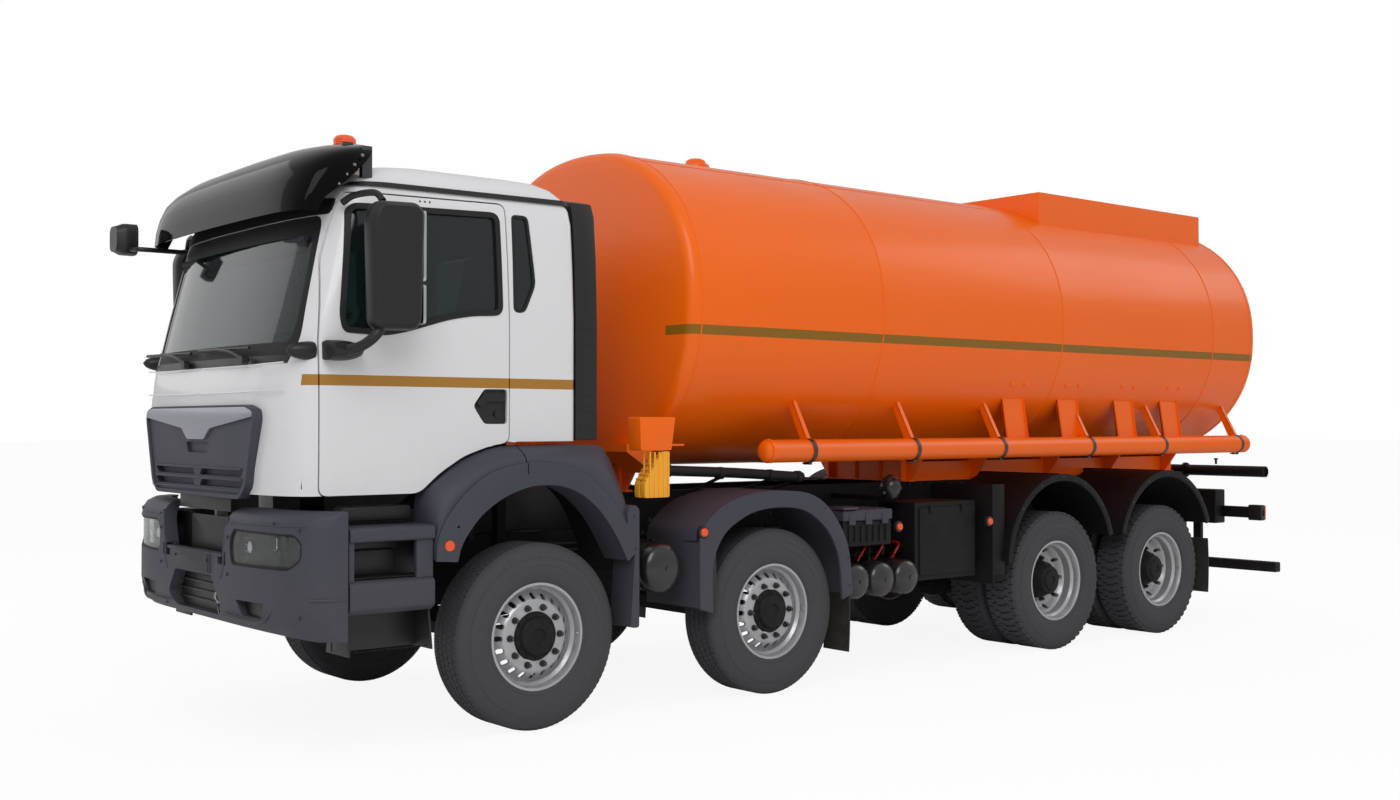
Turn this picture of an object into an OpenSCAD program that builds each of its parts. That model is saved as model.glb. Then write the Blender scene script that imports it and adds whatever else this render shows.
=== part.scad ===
// Four-axle tanker truck. The front faces -Y, its left side is +X and it stands on Z = 0.
// Lengths along the truck (Y) are written from the first axle; place() moves them to the part's own origin.

/* [Wheels] */
// Tyre outer radius, which is also the height of each axle
tyre_r = 530; // [500:5:545]
// Tyre width
tyre_w = 306; // [290:2:312]
// Distance from the centre line to the middle of an outer tyre
track_half = 1042; // [1035:1:1046]
// Distance between the two tyres of a twin wheel
twin_gap = 346; // [340:1:352]

/* [Axles] */
// First axle to second axle
wheelbase_12 = 1795; // [1790:5:1800]
// Second axle to third axle
wheelbase_23 = 2946; // [2940:1:2960]
// Third axle to fourth axle
wheelbase_34 = 1400; // [1390:5:1410]
// Kingpin's distance from the centre line
kingpin_x = 900; // [890:1:905]

/* [Cab] */
// Half the cab's width
cab_half = 1120; // [1110:1:1125]
// Height of the roof at its middle
cab_top = 3205; // [3180:5:3230]
// Thickness of a door and of the side walls
door_t = 84; // [70:1:90]
// Gap round each door
door_gap = 9; // [7:1:12]

/* [Tank] */
// Half the tank's width
tank_a = 1250; // [1220:5:1260]
// Half the tank's height
tank_b = 1050; // [1030:5:1060]
// Height of the tank's middle
tank_z = 2500; // [2490:5:2510]
// How square the tank's section is; 2 is an ellipse
tank_power = 2.2; // [2:0.1:2.4]
// Outside diameter of the hose tubes along the tank
tube_d = 153; // [140:1:158]

/* [Chassis] */
// Outside of one frame rail from the centre line
rail_x = 430; // [420:1:432]
// Top of the frame rails
rail_top = 1060; // [1050:1:1065]
// Height of a frame rail
rail_h = 290; // [270:5:300]

/* [Hidden] */
$fn = 64;

// The first axle's place along the part's own frame: the overall length is centred on the origin
axle1_y = -3180;
axle_y = [0, wheelbase_12, wheelbase_12 + wheelbase_23, wheelbase_12 + wheelbase_23 + wheelbase_34];
axle_z = tyre_r;
hub_bore_r = 48;
spindle_r = 45;
bead_r = 289;
rim_w = 250;
disc_t = 12;
sides = [-1, 1];

// Colours
white = [0.86, 0.86, 0.87];
orange = [0.92, 0.38, 0.05];
grey = [0.29, 0.30, 0.34];
black = [0.09, 0.09, 0.10];
steel = [0.72, 0.73, 0.74];
rubber = [0.16, 0.16, 0.17];
glass = [0.20, 0.24, 0.27];

// ---- Helpers ----

module place() { translate([0, axle1_y, 0]) children(); }

// Extrudes an outline drawn in (y, z) from x0 to x1
module side_slab(x0, x1) {
    translate([x0, 0, 0]) rotate([90, 0, 90]) linear_extrude(x1 - x0) children();
}

// Extrudes an outline drawn in (x, z) from y0 to y1
module cross_slab(y0, y1) {
    translate([0, y1, 0]) rotate([90, 0, 0]) linear_extrude(y1 - y0) children();
}

// A block from its lowest to its highest corner
module block(lo, hi) { translate(lo) cube(hi - lo); }

module both_sides() {
    children();
    mirror([1, 0, 0]) children();
}

// A bar along X, Y or Z
module bar_x(r, x0, x1, y, z) { translate([x0, y, z]) rotate([0, 90, 0]) cylinder(r = r, h = x1 - x0); }
module bar_y(r, y0, y1, x, z) { translate([x, y0, z]) rotate([-90, 0, 0]) cylinder(r = r, h = y1 - y0); }

// A rectangle with rounded corners from its lowest to its highest corner
module round_rect(lo, hi, r) {
    translate([lo.x + r, lo.y]) square([hi.x - lo.x - 2 * r, hi.y - lo.y]);
    translate([lo.x, lo.y + r]) square([hi.x - lo.x, hi.y - lo.y - 2 * r]);
    for (x = [lo.x + r, hi.x - r], y = [lo.y + r, hi.y - r]) translate([x, y]) circle(r);
}

// ---- Wheels ----

// A shape of revolution about X: points are [radius, distance outwards from the middle of the tyre]
module about_x(points) {
    rotate([0, 90, 0]) rotate_extrude($fn = 96) polygon(points);
}

module tyre_ring() {
    half = tyre_w / 2;
    about_x([[bead_r, -half + 43], [bead_r, half - 43], [bead_r + 17, half - 43], [330, half - 16], [385, half - 1], [430, half],
        [470, half - 3], [505, half - 13], [tyre_r - 8, half - 24], [tyre_r, half - 44],
        [tyre_r, -half + 44], [tyre_r - 8, -half + 24], [505, -half + 13], [470, -half + 3],
        [430, -half], [385, -half + 1], [330, -half + 16], [bead_r + 17, -half + 43]]);
}

// The rim's barrel with its flanges and drop centre, closed by a disc whose outer face is at disc_x
module rim_ring(disc_x) {
    half = rim_w / 2;
    difference() {
        union() {
            about_x([[bead_r, -half + 14], [bead_r + 15, -half + 10], [bead_r + 15, -half],
                [bead_r - 12, -half], [266, -40], [252, -30], [252, 30], [266, 40], [bead_r - 12, half],
                [bead_r + 15, half], [bead_r + 15, half - 10], [bead_r, half - 14],
                [276, 34], [264, 24], [264, -24], [276, -34]]);
            about_x([[130, disc_x], [232, disc_x], [262, disc_x * 0.35], [258, disc_x * 0.35 - disc_t],
                [228, disc_x - disc_t], [130, disc_x - disc_t]]);
        }
        for (k = [0:9]) rotate([k * 36 + 18, 0, 0])
            translate([disc_x - 60, 0, 214]) rotate([0, 90, 0]) cylinder(d = 26, h = 120, $fn = 24);
    }
}

// The hub drum that turns on the spindle, from x0 to x1, with a bore that stops short of its cap
module hub_drum(x0, x1, r, bore) {
    difference() {
        union() {
            bar_x(r, x0, x1 - 30, 0, 0);
            bar_x(r * 0.72, x1 - 30.1, x1, 0, 0);
        }
        bar_x(bore, x0 - 1, x1 - 45, 0, 0);
    }
}

module front_rim(axle, side) {
    color(steel) place() translate([side * track_half, axle_y[axle], axle_z]) facing_side(side) {
        rim_ring(96);
        hub_drum(-60, 142, 136, hub_bore_r);
    }
}

module twin_rim(axle, side) {
    disc = twin_gap / 2;
    color(steel) place() translate([side * track_half, axle_y[axle], axle_z]) facing_side(side) {
        rim_ring(-disc + 112 - disc_t);
        translate([-twin_gap, 0, 0]) rim_ring(110);
        hub_drum(-twin_gap + 30, 96, 150, hub_bore_r);
    }
}

module facing_side(side) { mirror([side < 0 ? 1 : 0, 0, 0]) children(); }

module front_tyre(axle, side) {
    color(rubber) place() translate([side * track_half, axle_y[axle], axle_z]) tyre_ring();
}

module twin_tyre(axle, side) {
    color(rubber) place() for (x = [track_half, track_half - twin_gap])
        translate([side * x, axle_y[axle], axle_z]) tyre_ring();
}

// ---- Steering knuckles and axles ----

// The forged beam's eye between the knuckle's two arms is 120 high; the kingpin passes through all three
eye_h = 120;
kingpin_r = 22;

module knuckle(axle, side) {
    color(black) place() translate([0, axle_y[axle], axle_z]) facing_side(side) {
        difference() {
            union() {
                for (z = [eye_h / 2 + 1, -eye_h / 2 - 31])
                    translate([kingpin_x, 0, z]) cylinder(r = 60, h = 30);
                block([kingpin_x + 52, -45, -eye_h / 2 - 31], [kingpin_x + 78, 45, eye_h / 2 + 31]);
                bar_x(spindle_r, kingpin_x + 60, track_half + 90, 0, 0);
                // steering arm
                block([kingpin_x - 10, 30, -eye_h / 2 - 31], [kingpin_x + 20, 190, -eye_h / 2 - 6]);
            }
            translate([kingpin_x, 0, -200]) cylinder(r = kingpin_r + running_gap, h = 400);
        }
    }
}

module front_axles() {
    color(black) place() for (axle = [0, 1]) translate([0, axle_y[axle], axle_z]) {
        both_sides() {
            translate([kingpin_x, 0, -eye_h / 2]) cylinder(r = 50, h = eye_h);
            translate([kingpin_x, 0, -100]) cylinder(r = kingpin_r, h = 200);
        }
        // dropped beam
        cross_slab(-46, 46) polygon([[-kingpin_x + 20, -45], [-640, -95], [640, -95], [kingpin_x - 20, -45],
            [kingpin_x - 20, 45], [560, -5], [-560, -5], [-kingpin_x + 20, 45]]);
    }
}

module rear_axles() {
    color(black) place() for (axle = [2, 3]) translate([0, axle_y[axle], axle_z]) {
        bar_x(80, -620, 620, 0, 0);
        bar_x(spindle_r, -track_half - 40, track_half + 40, 0, 0);
        rotate([90, 0, 0]) translate([0, 0, -120]) cylinder(r = 205, h = 240);
        translate([0, -235, 0]) rotate([90, 0, 0]) cylinder(r1 = 130, r2 = 60, h = 110);
    }
}

module springs() {
    spring_x = 372;
    spring_w = 90;
    // [middle, half length, top of the pack over the axle's height, thickness]
    packs = [for (a = [0:3]) [axle_y[a], a < 2 ? 780 : 600, a < 2 ? 105 : 160, a < 2 ? 100 : 75]];
    color(black) place() both_sides() for (p = packs)
        side_slab(spring_x - spring_w / 2, spring_x + spring_w / 2)
            translate([p[0], axle_z]) polygon([[-p[1], p[2] + 70], [-p[1] / 2, p[2] + 14], [0, p[2]],
                [p[1] / 2, p[2] + 14], [p[1], p[2] + 70], [p[1], p[2] + 40], [p[1] * 0.6, p[2] - 40],
                [100, p[2] - p[3]], [-100, p[2] - p[3]], [-p[1] * 0.6, p[2] - 40], [-p[1], p[2] + 40]]);
}

// ---- Chassis ----

frame_front = -1330;
frame_rear = 7700;
subframe_front = 1010;

// The cab tips forwards on two pins inside the frame rails
tilt_y = -1250;
tilt_z = 950;
tilt_pin_r = 20;
tilt_arm_x = 300;
tilt_arm_w = 40;
running_gap = 0.05;

module frame() {
    flange = 75;
    web = 9;
    cross_y = [1110, 1700, 2420, 3350, 4090, 5441, 6800, 7560];
    color(black) place() {
        both_sides() {
            // C-shaped rail, open towards the middle
            difference() {
                block([rail_x - flange, frame_front, rail_top - rail_h], [rail_x, frame_rear, rail_top]);
                block([rail_x - flange - 1, frame_front - 1, rail_top - rail_h + web],
                    [rail_x - web, frame_rear + 1, rail_top - web]);
            }
            // subframe rail on the chassis rail
            difference() {
                block([rail_x - flange, subframe_front, rail_top], [rail_x, frame_rear - 60, 1290]);
                block([rail_x - flange - 1, subframe_front - 1, rail_top + web],
                    [rail_x - web, frame_rear, 1290 - web]);
            }
            // spring hangers
            for (a = [0:3], e = [-1, 1]) {
                reach = (a < 2 ? 780 : 600) + 40;
                block([345, axle_y[a] + e * reach - 40, 690], [410, axle_y[a] + e * reach + 40, 800]);
            }
        }
        for (y = cross_y) bar_x(48, -rail_x + 8, rail_x - 8, y, rail_top - rail_h / 2);
        // plate that carries the bumper's beam, pins for the cab's tilt arms, posts under its back
        block([-rail_x, frame_front - 40, rail_top - rail_h], [rail_x, frame_front, 955]);
        both_sides() {
            bar_x(tilt_pin_r, tilt_arm_x - 12, rail_x - 5, tilt_y, tilt_z);
            block([rail_x - 4, 150, 1000], [rail_x + 60, 210, 1632]);
        }
    }
}

module engine() {
    color([0.35, 0.36, 0.38]) place() {
        block([-322, -900, 690], [322, 330, 1560]);
        both_sides() for (y = [-760, 200]) block([321, y, 890], [rail_x - 9, y + 90, 960]);
        block([-345, -1190, 700], [345, -1060, 1420]);
        bar_y(150, -1061, -899, 0, 1120);
        // gearbox and transfer case
        translate([0, 329, 0]) cross_slab(0, 720) round_rect([-210, 640], [210, 1020], 60);
        // prop shafts
        bar_y(50, 1048, axle_y[2] - 344, 0, 760);
        bar_y(50, axle_y[2] + 120, axle_y[3] - 345, 0, 620);
    }
}

beam_low = 880;
tow_pin_r = 20;

module bumper() {
    // half outline from above: front face, rounded corner, straight back to the steps
    half = [[0, -1540], [560, -1540], [900, -1505], [1090, -1455], [1190, -1390], [1245, -1300],
        [1250, -1205]];
    inner = [for (i = [6:-1:0]) [half[i].x * 0.93, half[i].y + (i == 6 ? 0 : 70)]];
    color(grey) place() {
        intersection() {
            both_sides() translate([0, 0, 600]) linear_extrude(720) polygon(concat(half, inner));
            // side profile: rounded top edge, chin that runs back
            side_slab(-1300, 1300) polygon([[-1540, 730], [-1450, 640], [-1180, 620], [-1180, 1285],
                [-1430, 1285], [-1510, 1255], [-1540, 1200]]);
            difference() {
                cross_slab(-1600, -1100) polygon([[-1300, 600], [1300, 600], [1300, 1290], [480, 1290],
                    [400, 1034], [-400, 1034], [-480, 1290], [-1300, 1290]]);
                // lower opening with the towing jaw
                cross_slab(-1600, -1100) polygon([[-330, 690], [330, 690], [380, 760], [270, 900],
                    [-270, 900], [-380, 760]]);
                both_sides() cross_slab(-1600, -1100) headlamp_outline(0);
            }
        }
        // beam behind the skin, with the towing jaw's bore
        difference() {
            block([-900, -1469, beam_low], [900, -1370, beam_low + 110]);
            translate([0, -1420, beam_low - 10]) cylinder(r = tow_pin_r, h = 130);
            // room for the cab's tilt arms
            both_sides() block([tilt_arm_x - 12, -1470, beam_low + 96],
                [tilt_arm_x + tilt_arm_w + 12, -1369, 1000]);
        }
    }
}

module headlamp_outline(grow) {
    polygon([[560 - grow, 990 - grow], [1110 + grow, 990 - grow], [1160 + grow, 1050],
        [1150 + grow, 1165 + grow], [560 - grow, 1180 + grow], [520 - grow, 1080]]);
}

module headlamps() {
    color([0.8, 0.82, 0.85]) place() both_sides() intersection() {
        cross_slab(-1600, -1250) headlamp_outline(-4);
        translate([0, 0, 900]) linear_extrude(400) polygon([[500, -1530], [700, -1518], [900, -1492],
            [1080, -1445], [1175, -1385], [1100, -1375], [900, -1410], [500, -1440]]);
    }
}

module entry_steps() {
    front = -1190;
    rear = -700;
    // [bottom, top, inner side]
    treads = [[530, 560, 960], [745, 915, 1150], [1120, 1200, 1020]];
    color(grey) place() both_sides() {
        for (t = treads) block([t[2], front, t[0]], [1245, rear, t[1]]);
        block([1020, front, 540], [1045, rear, 1190]);
        for (y = [front, rear - 20]) block([960, y, 540], [1230, y + 20, 760]);
        block([rail_x, front + 40, 770], [1030, front + 120, 900]);
    }
}

// ---- Mudguards ----

module mudguards_front() {
    color(grey) place() both_sides() {
        side_slab(1000, 1250) difference() {
            polygon([[-690, 1000], [-690, 1340], [-585, 1450], [-440, 1540], [-295, 1592], [-150, 1612],
                [440, 1612], [520, 1560], [600, 1400], [664, 1200], [664, 530], [632, 530], [632, 1000]]);
            polygon([[-570, 980], [-540, 1090], [-430, 1230], [-280, 1330], [-120, 1385], [0, 1395],
                [120, 1385], [260, 1330], [390, 1225], [500, 1080], [580, 900], [632, 700], [632, 500],
                [-570, 500]]);
        }
        // inner wing over the tyre
        side_slab(660, 1001) difference() {
            polygon([[-600, 1290], [-440, 1400], [-200, 1480], [0, 1495], [300, 1440], [500, 1300],
                [632, 1060], [664, 900], [664, 600], [632, 600]]);
            polygon([[-620, 1260], [-440, 1370], [-200, 1450], [0, 1465], [280, 1412], [470, 1280],
                [600, 1050], [632, 890], [632, 590], [-620, 590]]);
        }
        block([rail_x, -30, 1300], [700, 10, 1340]);
        block([660, -30, 1300], [700, 10, 1470]);
        block([rail_x - 20, -30, rail_top], [rail_x + 20, 10, 1340]);
    }
}

module mudguards_second() {
    y = axle_y[1];
    color(grey) place() both_sides() {
        side_slab(700, 1245) translate([y, 0]) difference() {
            polygon([[-664, 585], [-664, 1020], [-600, 1140], [-450, 1240], [-250, 1295], [0, 1308],
                [250, 1285], [420, 1200], [550, 1050], [625, 880], [655, 700], [655, 560]]);
            polygon([[-622, 500], [-622, 900], [-530, 1070], [-400, 1180], [-230, 1240], [0, 1258],
                [230, 1235], [400, 1150], [520, 1010], [595, 850], [622, 700], [622, 500]]);
        }
        // side panel in front of the wheel and rubber flap behind it
        block([1215, y - 664, 585], [1245, y - 515, 1060]);
        block([1000, y + 625, 216], [1240, y + 645, 700]);
        block([rail_x, y - 20, 1262], [720, y + 20, 1300]);
        block([rail_x, y - 20, 1010], [rail_x + 30, y + 20, 1290]);
    }
}

module mudguards_rear() {
    // [axle, front end, rear end] along the truck from that axle
    covers = [[2, -664, 636], [3, -676, 620]];
    color(black) place() both_sides() {
        for (c = covers) {
            y = axle_y[c[0]];
            side_slab(540, 1240) translate([y, 690]) difference() {
                intersection() {
                    circle(r = 660, $fn = 96);
                    translate([c[1], 20]) square([c[2] - c[1], 800]);
                }
                circle(r = 640, $fn = 96);
            }
            side_slab(1215, 1245) translate([y, 690]) difference() {
                intersection() {
                    circle(r = 662, $fn = 96);
                    translate([c[1], 20]) square([c[2] - c[1], 800]);
                }
                circle(r = 612, $fn = 96);
            }
            bar_x(20, rail_x, 1200, y, 1335);
        }
        // side plate and flaps
        block([1180, 3960, 620], [1200, 4090, 1290]);
        block([600, 3950, 560], [1200, 3965, 1290]);
        block([560, axle_y[3] + 618, 300], [1230, axle_y[3] + 634, 760]);
    }
}

// ---- Equipment on the rails ----

module battery_box() {
    color(black) place() {
        block([700, 2450, 900], [1160, 2930, 1160]);
        block([rail_x, 2520, 930], [705, 2860, 1000]);
        block([760, 3200, 620], [1130, 3860, 1180]);
        block([rail_x, 3300, 850], [765, 3700, 950]);
        translate([1000, 3080, 1180]) cylinder(r = 70, h = 190);
        block([rail_x, 3050, 1190], [1000, 3110, 1230]);
    }
}

module air_tanks() {
    // [y, z, radius, inner end, outer end]
    vessels = [[920, 860, 148, 640, 1190], [2575, 667, 120, 560, 1200], [2822, 667, 120, 560, 1200],
        [3068, 667, 120, 560, 1200]];
    color(black) place() {
        for (v = vessels) {
            bar_x(v[2], v[3] + 40, v[4] - 40, v[0], v[1]);
            bar_x(v[2] * 0.8, v[3], v[4], v[0], v[1]);
        }
        block([rail_x, 880, 820], [700, 960, 900]);
        block([rail_x, 2500, 770], [640, 3100, 795]);
    }
}

module fuel_tank() {
    color(steel) place() {
        cross_slab(3150, 3930) round_rect([-1190, 560], [-520, 1180], 90);
        for (y = [3300, 3760]) block([-560, y, 800], [-rail_x, y + 60, 900]);
        translate([-900, 3540, 1170]) cylinder(r = 50, h = 60);
    }
}

module exhaust_box() {
    color([0.45, 0.45, 0.46]) place() {
        cross_slab(2470, 3080) round_rect([-1180, 570], [-520, 1190], 60);
        for (y = [2560, 2920]) block([-560, y, 800], [-rail_x, y + 60, 900]);
        bar_x(60, -1215, -1170, 2780, 760);
    }
}

// ---- Tank ----

tank_front = 1030;
tank_rear = 7540;
tank_sides = 96;

function superellipse(a, b) = [for (i = [0:tank_sides - 1])
    let (t = 360 * i / tank_sides, c = cos(t), s = sin(t))
    [a * sign(c) * pow(abs(c), 2 / tank_power), b * sign(s) * pow(abs(s), 2 / tank_power)]];

// Half the tank's width at a height, and its upper surface over a place across
function tank_x(z) = tank_a * pow(1 - pow(abs(z - tank_z) / tank_b, tank_power), 1 / tank_power);
function tank_top(x) = tank_z + tank_b * pow(1 - pow(abs(x) / tank_a, tank_power), 1 / tank_power);

module tank_section(y0, y1, grow) {
    translate([0, 0, tank_z]) cross_slab(y0, y1) polygon(superellipse(tank_a + grow, tank_b + grow));
}

module tank() {
    // rounded knuckles: [distance from the end, how far the section draws in]
    steps = [[0, -62], [10, -38], [28, -18], [52, -6]];
    color(orange) place() {
        tank_section(tank_front + 80, tank_rear - 80, 0);
        for (s = steps) tank_section(tank_front + s[0], tank_rear - s[0], s[1]);
        // vent dome and manhole neck
        translate([0, 2110, tank_top(0) - 60]) cylinder(r = 100, h = 120);
        translate([0, 2110, tank_top(0) + 59]) cylinder(r1 = 70, r2 = 40, h = 40);
        translate([0, manhole_y, tank_top(0) - 60]) cylinder(r = 260, h = manhole_z - tank_top(0) + 60);
    }
}

manhole_y = 6050;
manhole_z = 3590;
lid_hinge_y = manhole_y + 330;
lid_pin_r = 6;

module manhole_lid() {
    color(orange) place() difference() {
        lid_solids();
        bar_x(lid_pin_r + running_gap, -100, 100, lid_hinge_y, manhole_z + 12);
    }
}

module lid_solids() {
    translate([0, manhole_y, manhole_z + 2]) cylinder(r = 278, h = 18);
    translate([0, manhole_y, manhole_z + 19]) cylinder(r = 60, h = 24);
    block([-70, manhole_y + 230, manhole_z + 2], [-30, lid_hinge_y, manhole_z + 20]);
    block([30, manhole_y + 230, manhole_z + 2], [70, lid_hinge_y, manhole_z + 20]);
    bar_x(14, -70, -30, lid_hinge_y, manhole_z + 12);
    bar_x(14, 30, 70, lid_hinge_y, manhole_z + 12);
}

module tank_coaming() {
    front = 5000;
    rear = 7300;
    half = 820;
    top = 3600;
    color(orange) place() {
        difference() {
            block([-half, front, 3200], [half, rear, top]);
            block([-half + 14, front + 14, 3100], [half - 14, rear - 14, top + 1]);
            tank_section(front - 10, rear + 10, 0);
        }
        // hinge post behind the manhole, with the lid's pin
        block([-25, lid_hinge_y - 20, tank_top(0)], [25, lid_hinge_y + 20, manhole_z + 20]);
        bar_x(lid_pin_r, -74, 74, lid_hinge_y, manhole_z + 12);
    }
}

module tank_supports() {
    saddle_y = [1130, 3860, 4620, 5560, 6420, 7280];
    color(orange) place() {
        // saddles cut to the tank's underside
        for (y = saddle_y) difference() {
            cross_slab(y, y + 60) polygon([[-640, 1560], [-440, 1290], [440, 1290], [640, 1560],
                [640, 1620], [-640, 1620]]);
            tank_section(y - 10, y + 70, 0);
        }
        // long rails under the tank
        both_sides() difference() {
            side_slab(rail_x - 90, rail_x) polygon([[3830, 1290], [7480, 1290], [7480, 1440],
                [4050, 1440], [4050, 1560], [3900, 1560], [3830, 1500]]);
            tank_section(3700, 7600, 0);
        }
        // chock holder and its bracket beside the tank's front end
        both_sides() {
            side_slab(1090, 1215) polygon([[700, 1575], [930, 1575], [960, 1777], [690, 1777]]);
            difference() {
                side_slab(500, 1094) polygon([[900, 1560], [1120, 1420], [1190, 1420], [1190, 1900],
                    [900, 1700]]);
                side_slab(480, 1120) polygon([[860, 1600], [1100, 1600], [1100, 2000], [860, 2000]]);
                tank_section(1000, 1300, 0);
            }
        }
    }
}

module wheel_chocks() {
    color([0.95, 0.65, 0.14]) place() both_sides()
        for (x = [1096, 1156]) side_slab(x, x + 54)
            polygon([[735, 1290], [925, 1290], [925, 1574], [865, 1574], [735, 1380]]);
}

tube_x = 1192;
tube_z = 1560;

module hose_tubes() {
    straps_y = [2090, 3090, 4030, 5110, 6100, 7260];
    plates_y = [4200, 4870, 5610, 6260];
    r = tube_d / 2;
    color(orange) place() both_sides() {
        bar_y(r, 1720, 7380, tube_x, tube_z);
        bar_y(r * 0.75, 1680, 7420, tube_x, tube_z);
        for (y = straps_y) bar_y(r + 6, y - 22, y + 22, tube_x, tube_z);
        // gussets from the tank down to the tube
        for (y = straps_y) difference() {
            cross_slab(y - 6, y + 6) polygon([[tube_x - 45, tube_z + 40], [1000, 1900], [1062, 1900],
                [tube_x + 20, tube_z + 60], [tube_x + 10, tube_z]]);
            tank_section(y - 20, y + 20, 0);
        }
        // rib plates
        for (y = plates_y) difference() {
            cross_slab(y, y + 250) polygon([[tube_x - 75, tube_z + 40], [1060, 1960], [1092, 1960],
                [tube_x - 45, tube_z + 40]]);
            tank_section(y - 10, y + 260, 0);
        }
    }
}

module discharge_pipe() {
    y = 7890;
    z = 1300;
    color(black) place() {
        difference() {
            union() {
                bar_x(50, -700, 1120, y, z);
                bar_x(66, 1120, 1170, y, z);
            }
            bar_x(40, 1100, 1180, y, z);
        }
        // down pipe from the tank's sump to the cross pipe
        translate([0, 7620, 1180]) cylinder(r = 70, h = 240);
        bar_y(45, 7620, y, 0, z);
        translate([0, 7500, 1380]) cylinder(r = 110, h = tank_z - tank_b - 1380);
        block([-60, 7480, 1380], [60, 7640, 1420]);
    }
}

coupling_hole_r = 10.5;

module rear_bars() {
    color(black) place() {
        // box crossmember, lamp bar and underrun bar
        difference() {
            block([-730, 7700, 820], [730, 7860, 1130]);
            for (x = [-80, 80], z = [925, 1025]) translate([x, 7861, z])
                rotate([90, 0, 0]) cylinder(r = coupling_hole_r, h = 60);
        }
        both_sides() {
            block([729, 7800, 880], [1080, 7860, 980]);
            block([1000, 7790, 860], [1130, 7880, 1000]);
            block([400, 7850, 400], [480, 7900, 1100]);
        }
        block([-1220, 7870, 395], [1220, 7960, 485]);
    }
}

module ladder() {
    x0 = -800;
    x1 = -480;
    color(black) place() {
        for (x = [x0, x1]) {
            block([x - 18, 7600, 640], [x + 18, 7636, 3640]);
            for (z = [2300, 3200]) block([x - 12, tank_rear, z], [x + 12, 7601, z + 30]);
            bar_y(16, 7300, 7601, x, 3570);
        }
        block([x1, 7604, 1150], [-rail_x, 7632, 1180]);
        for (k = [0:9]) bar_x(14, x0, x1, 7618, 720 + k * 290);
    }
}

// ---- Cab ----

cab_rear = 300;
sill_low = 1362;
sill_high = 1632;
floor_low = 1380;
floor_high = 1640;

// Side outline of the cab, drawn in by t on the front, top and rear
module cab_side(t) {
    polygon([[-1500 + t, sill_low - 50], [-1512 + t, 1500], [-1512 + t, 1800], [-1480 + t, 2060],
        [-1300 + t, 2800], [-1225 + t, 2990 - t / 2], [-1090, 3120 - t], [-900, 3170 - t],
        [-400, 3196 - t], [40, 3196 - t], [180, 3165 - t], [262 - t, 3090 - t], [292 - t, 2990 - t / 2],
        [cab_rear - t, 2300], [cab_rear - t, sill_low - 50]]);
}

// Outline from above: curved front, rounded corners; shift moves the front corners back
module cab_plan(t, shift) {
    half = [[0, -1512 + t], [400, -1506 + t], [700, -1488 + t], [900, -1460 + t], [1000, -1430 + t],
        [1070, -1385 + t], [1105 - t * 0.7, -1335 + t], [cab_half - t, -1270 + t]];
    moved = [for (p = half) [min(p.x, cab_half - t), p.y + shift]];
    right = [for (i = [len(moved) - 1:-1:0]) [-moved[i].x, moved[i].y]];
    polygon(concat(right, moved, [[cab_half - t, 400], [-cab_half + t, 400]]));
}

// Section across: upright sides, then drawn in towards the roof
module cab_cross(t) {
    half = [[cab_half - t, 1200], [cab_half - t, 2350], [cab_half - 14 - t, 2700], [1086 - t, 2960],
        [1052 - t, 3070 - t], [990 - t, 3140 - t], [850, 3176 - t], [400, cab_top - 8 - t]];
    polygon(concat(half, [[0, cab_top - t]], [for (i = [7:-1:0]) [-half[i].x, half[i].y]]));
}

// The cab's solid drawn in by t; above the belt its front corners lean back with the windscreen
module cab_solid(t) {
    lean = atan(180 / 740);
    intersection() {
        side_slab(-1200, 1200) cab_side(t);
        cross_slab(-1600, 400) cab_cross(t);
        union() {
            translate([0, 0, 1200]) linear_extrude(861) cab_plan(t, 0);
            intersection() {
                translate([0, 32, 2060]) multmatrix([[1, 0, 0, 0], [0, 1, tan(lean), 0], [0, 0, 1, 0]])
                    linear_extrude(740) cab_plan(t, 0);
                block([-1200, -1600, 2060], [1200, 400, 2801]);
            }
            translate([0, 212, 2800]) linear_extrude(500) cab_plan(t, 0);
        }
    }
}

// Door outline in (y, z): raked front edge, sill that steps over the mudguard
module door_outline(grow) {
    polygon([[-1300 - grow, sill_low - grow], [-1300 - grow, 2150], [-1225 - grow, 2870],
        [-1190 - grow, 2965 + grow], [-178 + grow, 2985 + grow], [-165 + grow, 2300],
        [-165 + grow, sill_high - grow], [-290 - grow / 2, 1612 - grow], [-450 - grow / 2, 1560 - grow],
        [-600 - grow / 2, 1470 - grow], [-728 + grow / 2, sill_low - grow]]);
}

module side_window_outline(grow) {
    polygon([[-1170 - grow, 2225 - grow], [-1195 - grow, 2300], [-1140 - grow, 2860 + grow],
        [-1100 - grow, 2888 + grow], [-215 + grow, 2925 + grow], [-205 + grow, 2350 - grow],
        [-400, 2345 - grow], [-560, 2315 - grow], [-800, 2240 - grow], [-930, 2216 - grow]]);
}

module quarter_window_outline(grow) {
    polygon([[-125 - grow, 2365 - grow], [-125 - grow, 2920 + grow], [-30 + grow, 2920 + grow],
        [10 + grow, 2510], [-60 + grow / 2, 2365 - grow]]);
}

// Windscreen outline seen from the front, in (x, z)
module windscreen_outline(grow) {
    polygon([[-985 - grow, 2090 - grow], [985 + grow, 2090 - grow], [1000 + grow, 2180],
        [960 + grow, 2830 + grow], [-960 - grow, 2830 + grow], [-1000 - grow, 2180]]);
}

module cab_inside() {
    difference() {
        cab_solid(door_t);
        // walls in front of and behind the footwells
        block([-1200, -1600, 1000], [1200, 400, floor_low + 60]);
        block([-1200, -690, 1000], [1200, 400, floor_high + 60]);
        block([-400, -1600, 1000], [400, 400, floor_high + 60]);
    }
}

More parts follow.
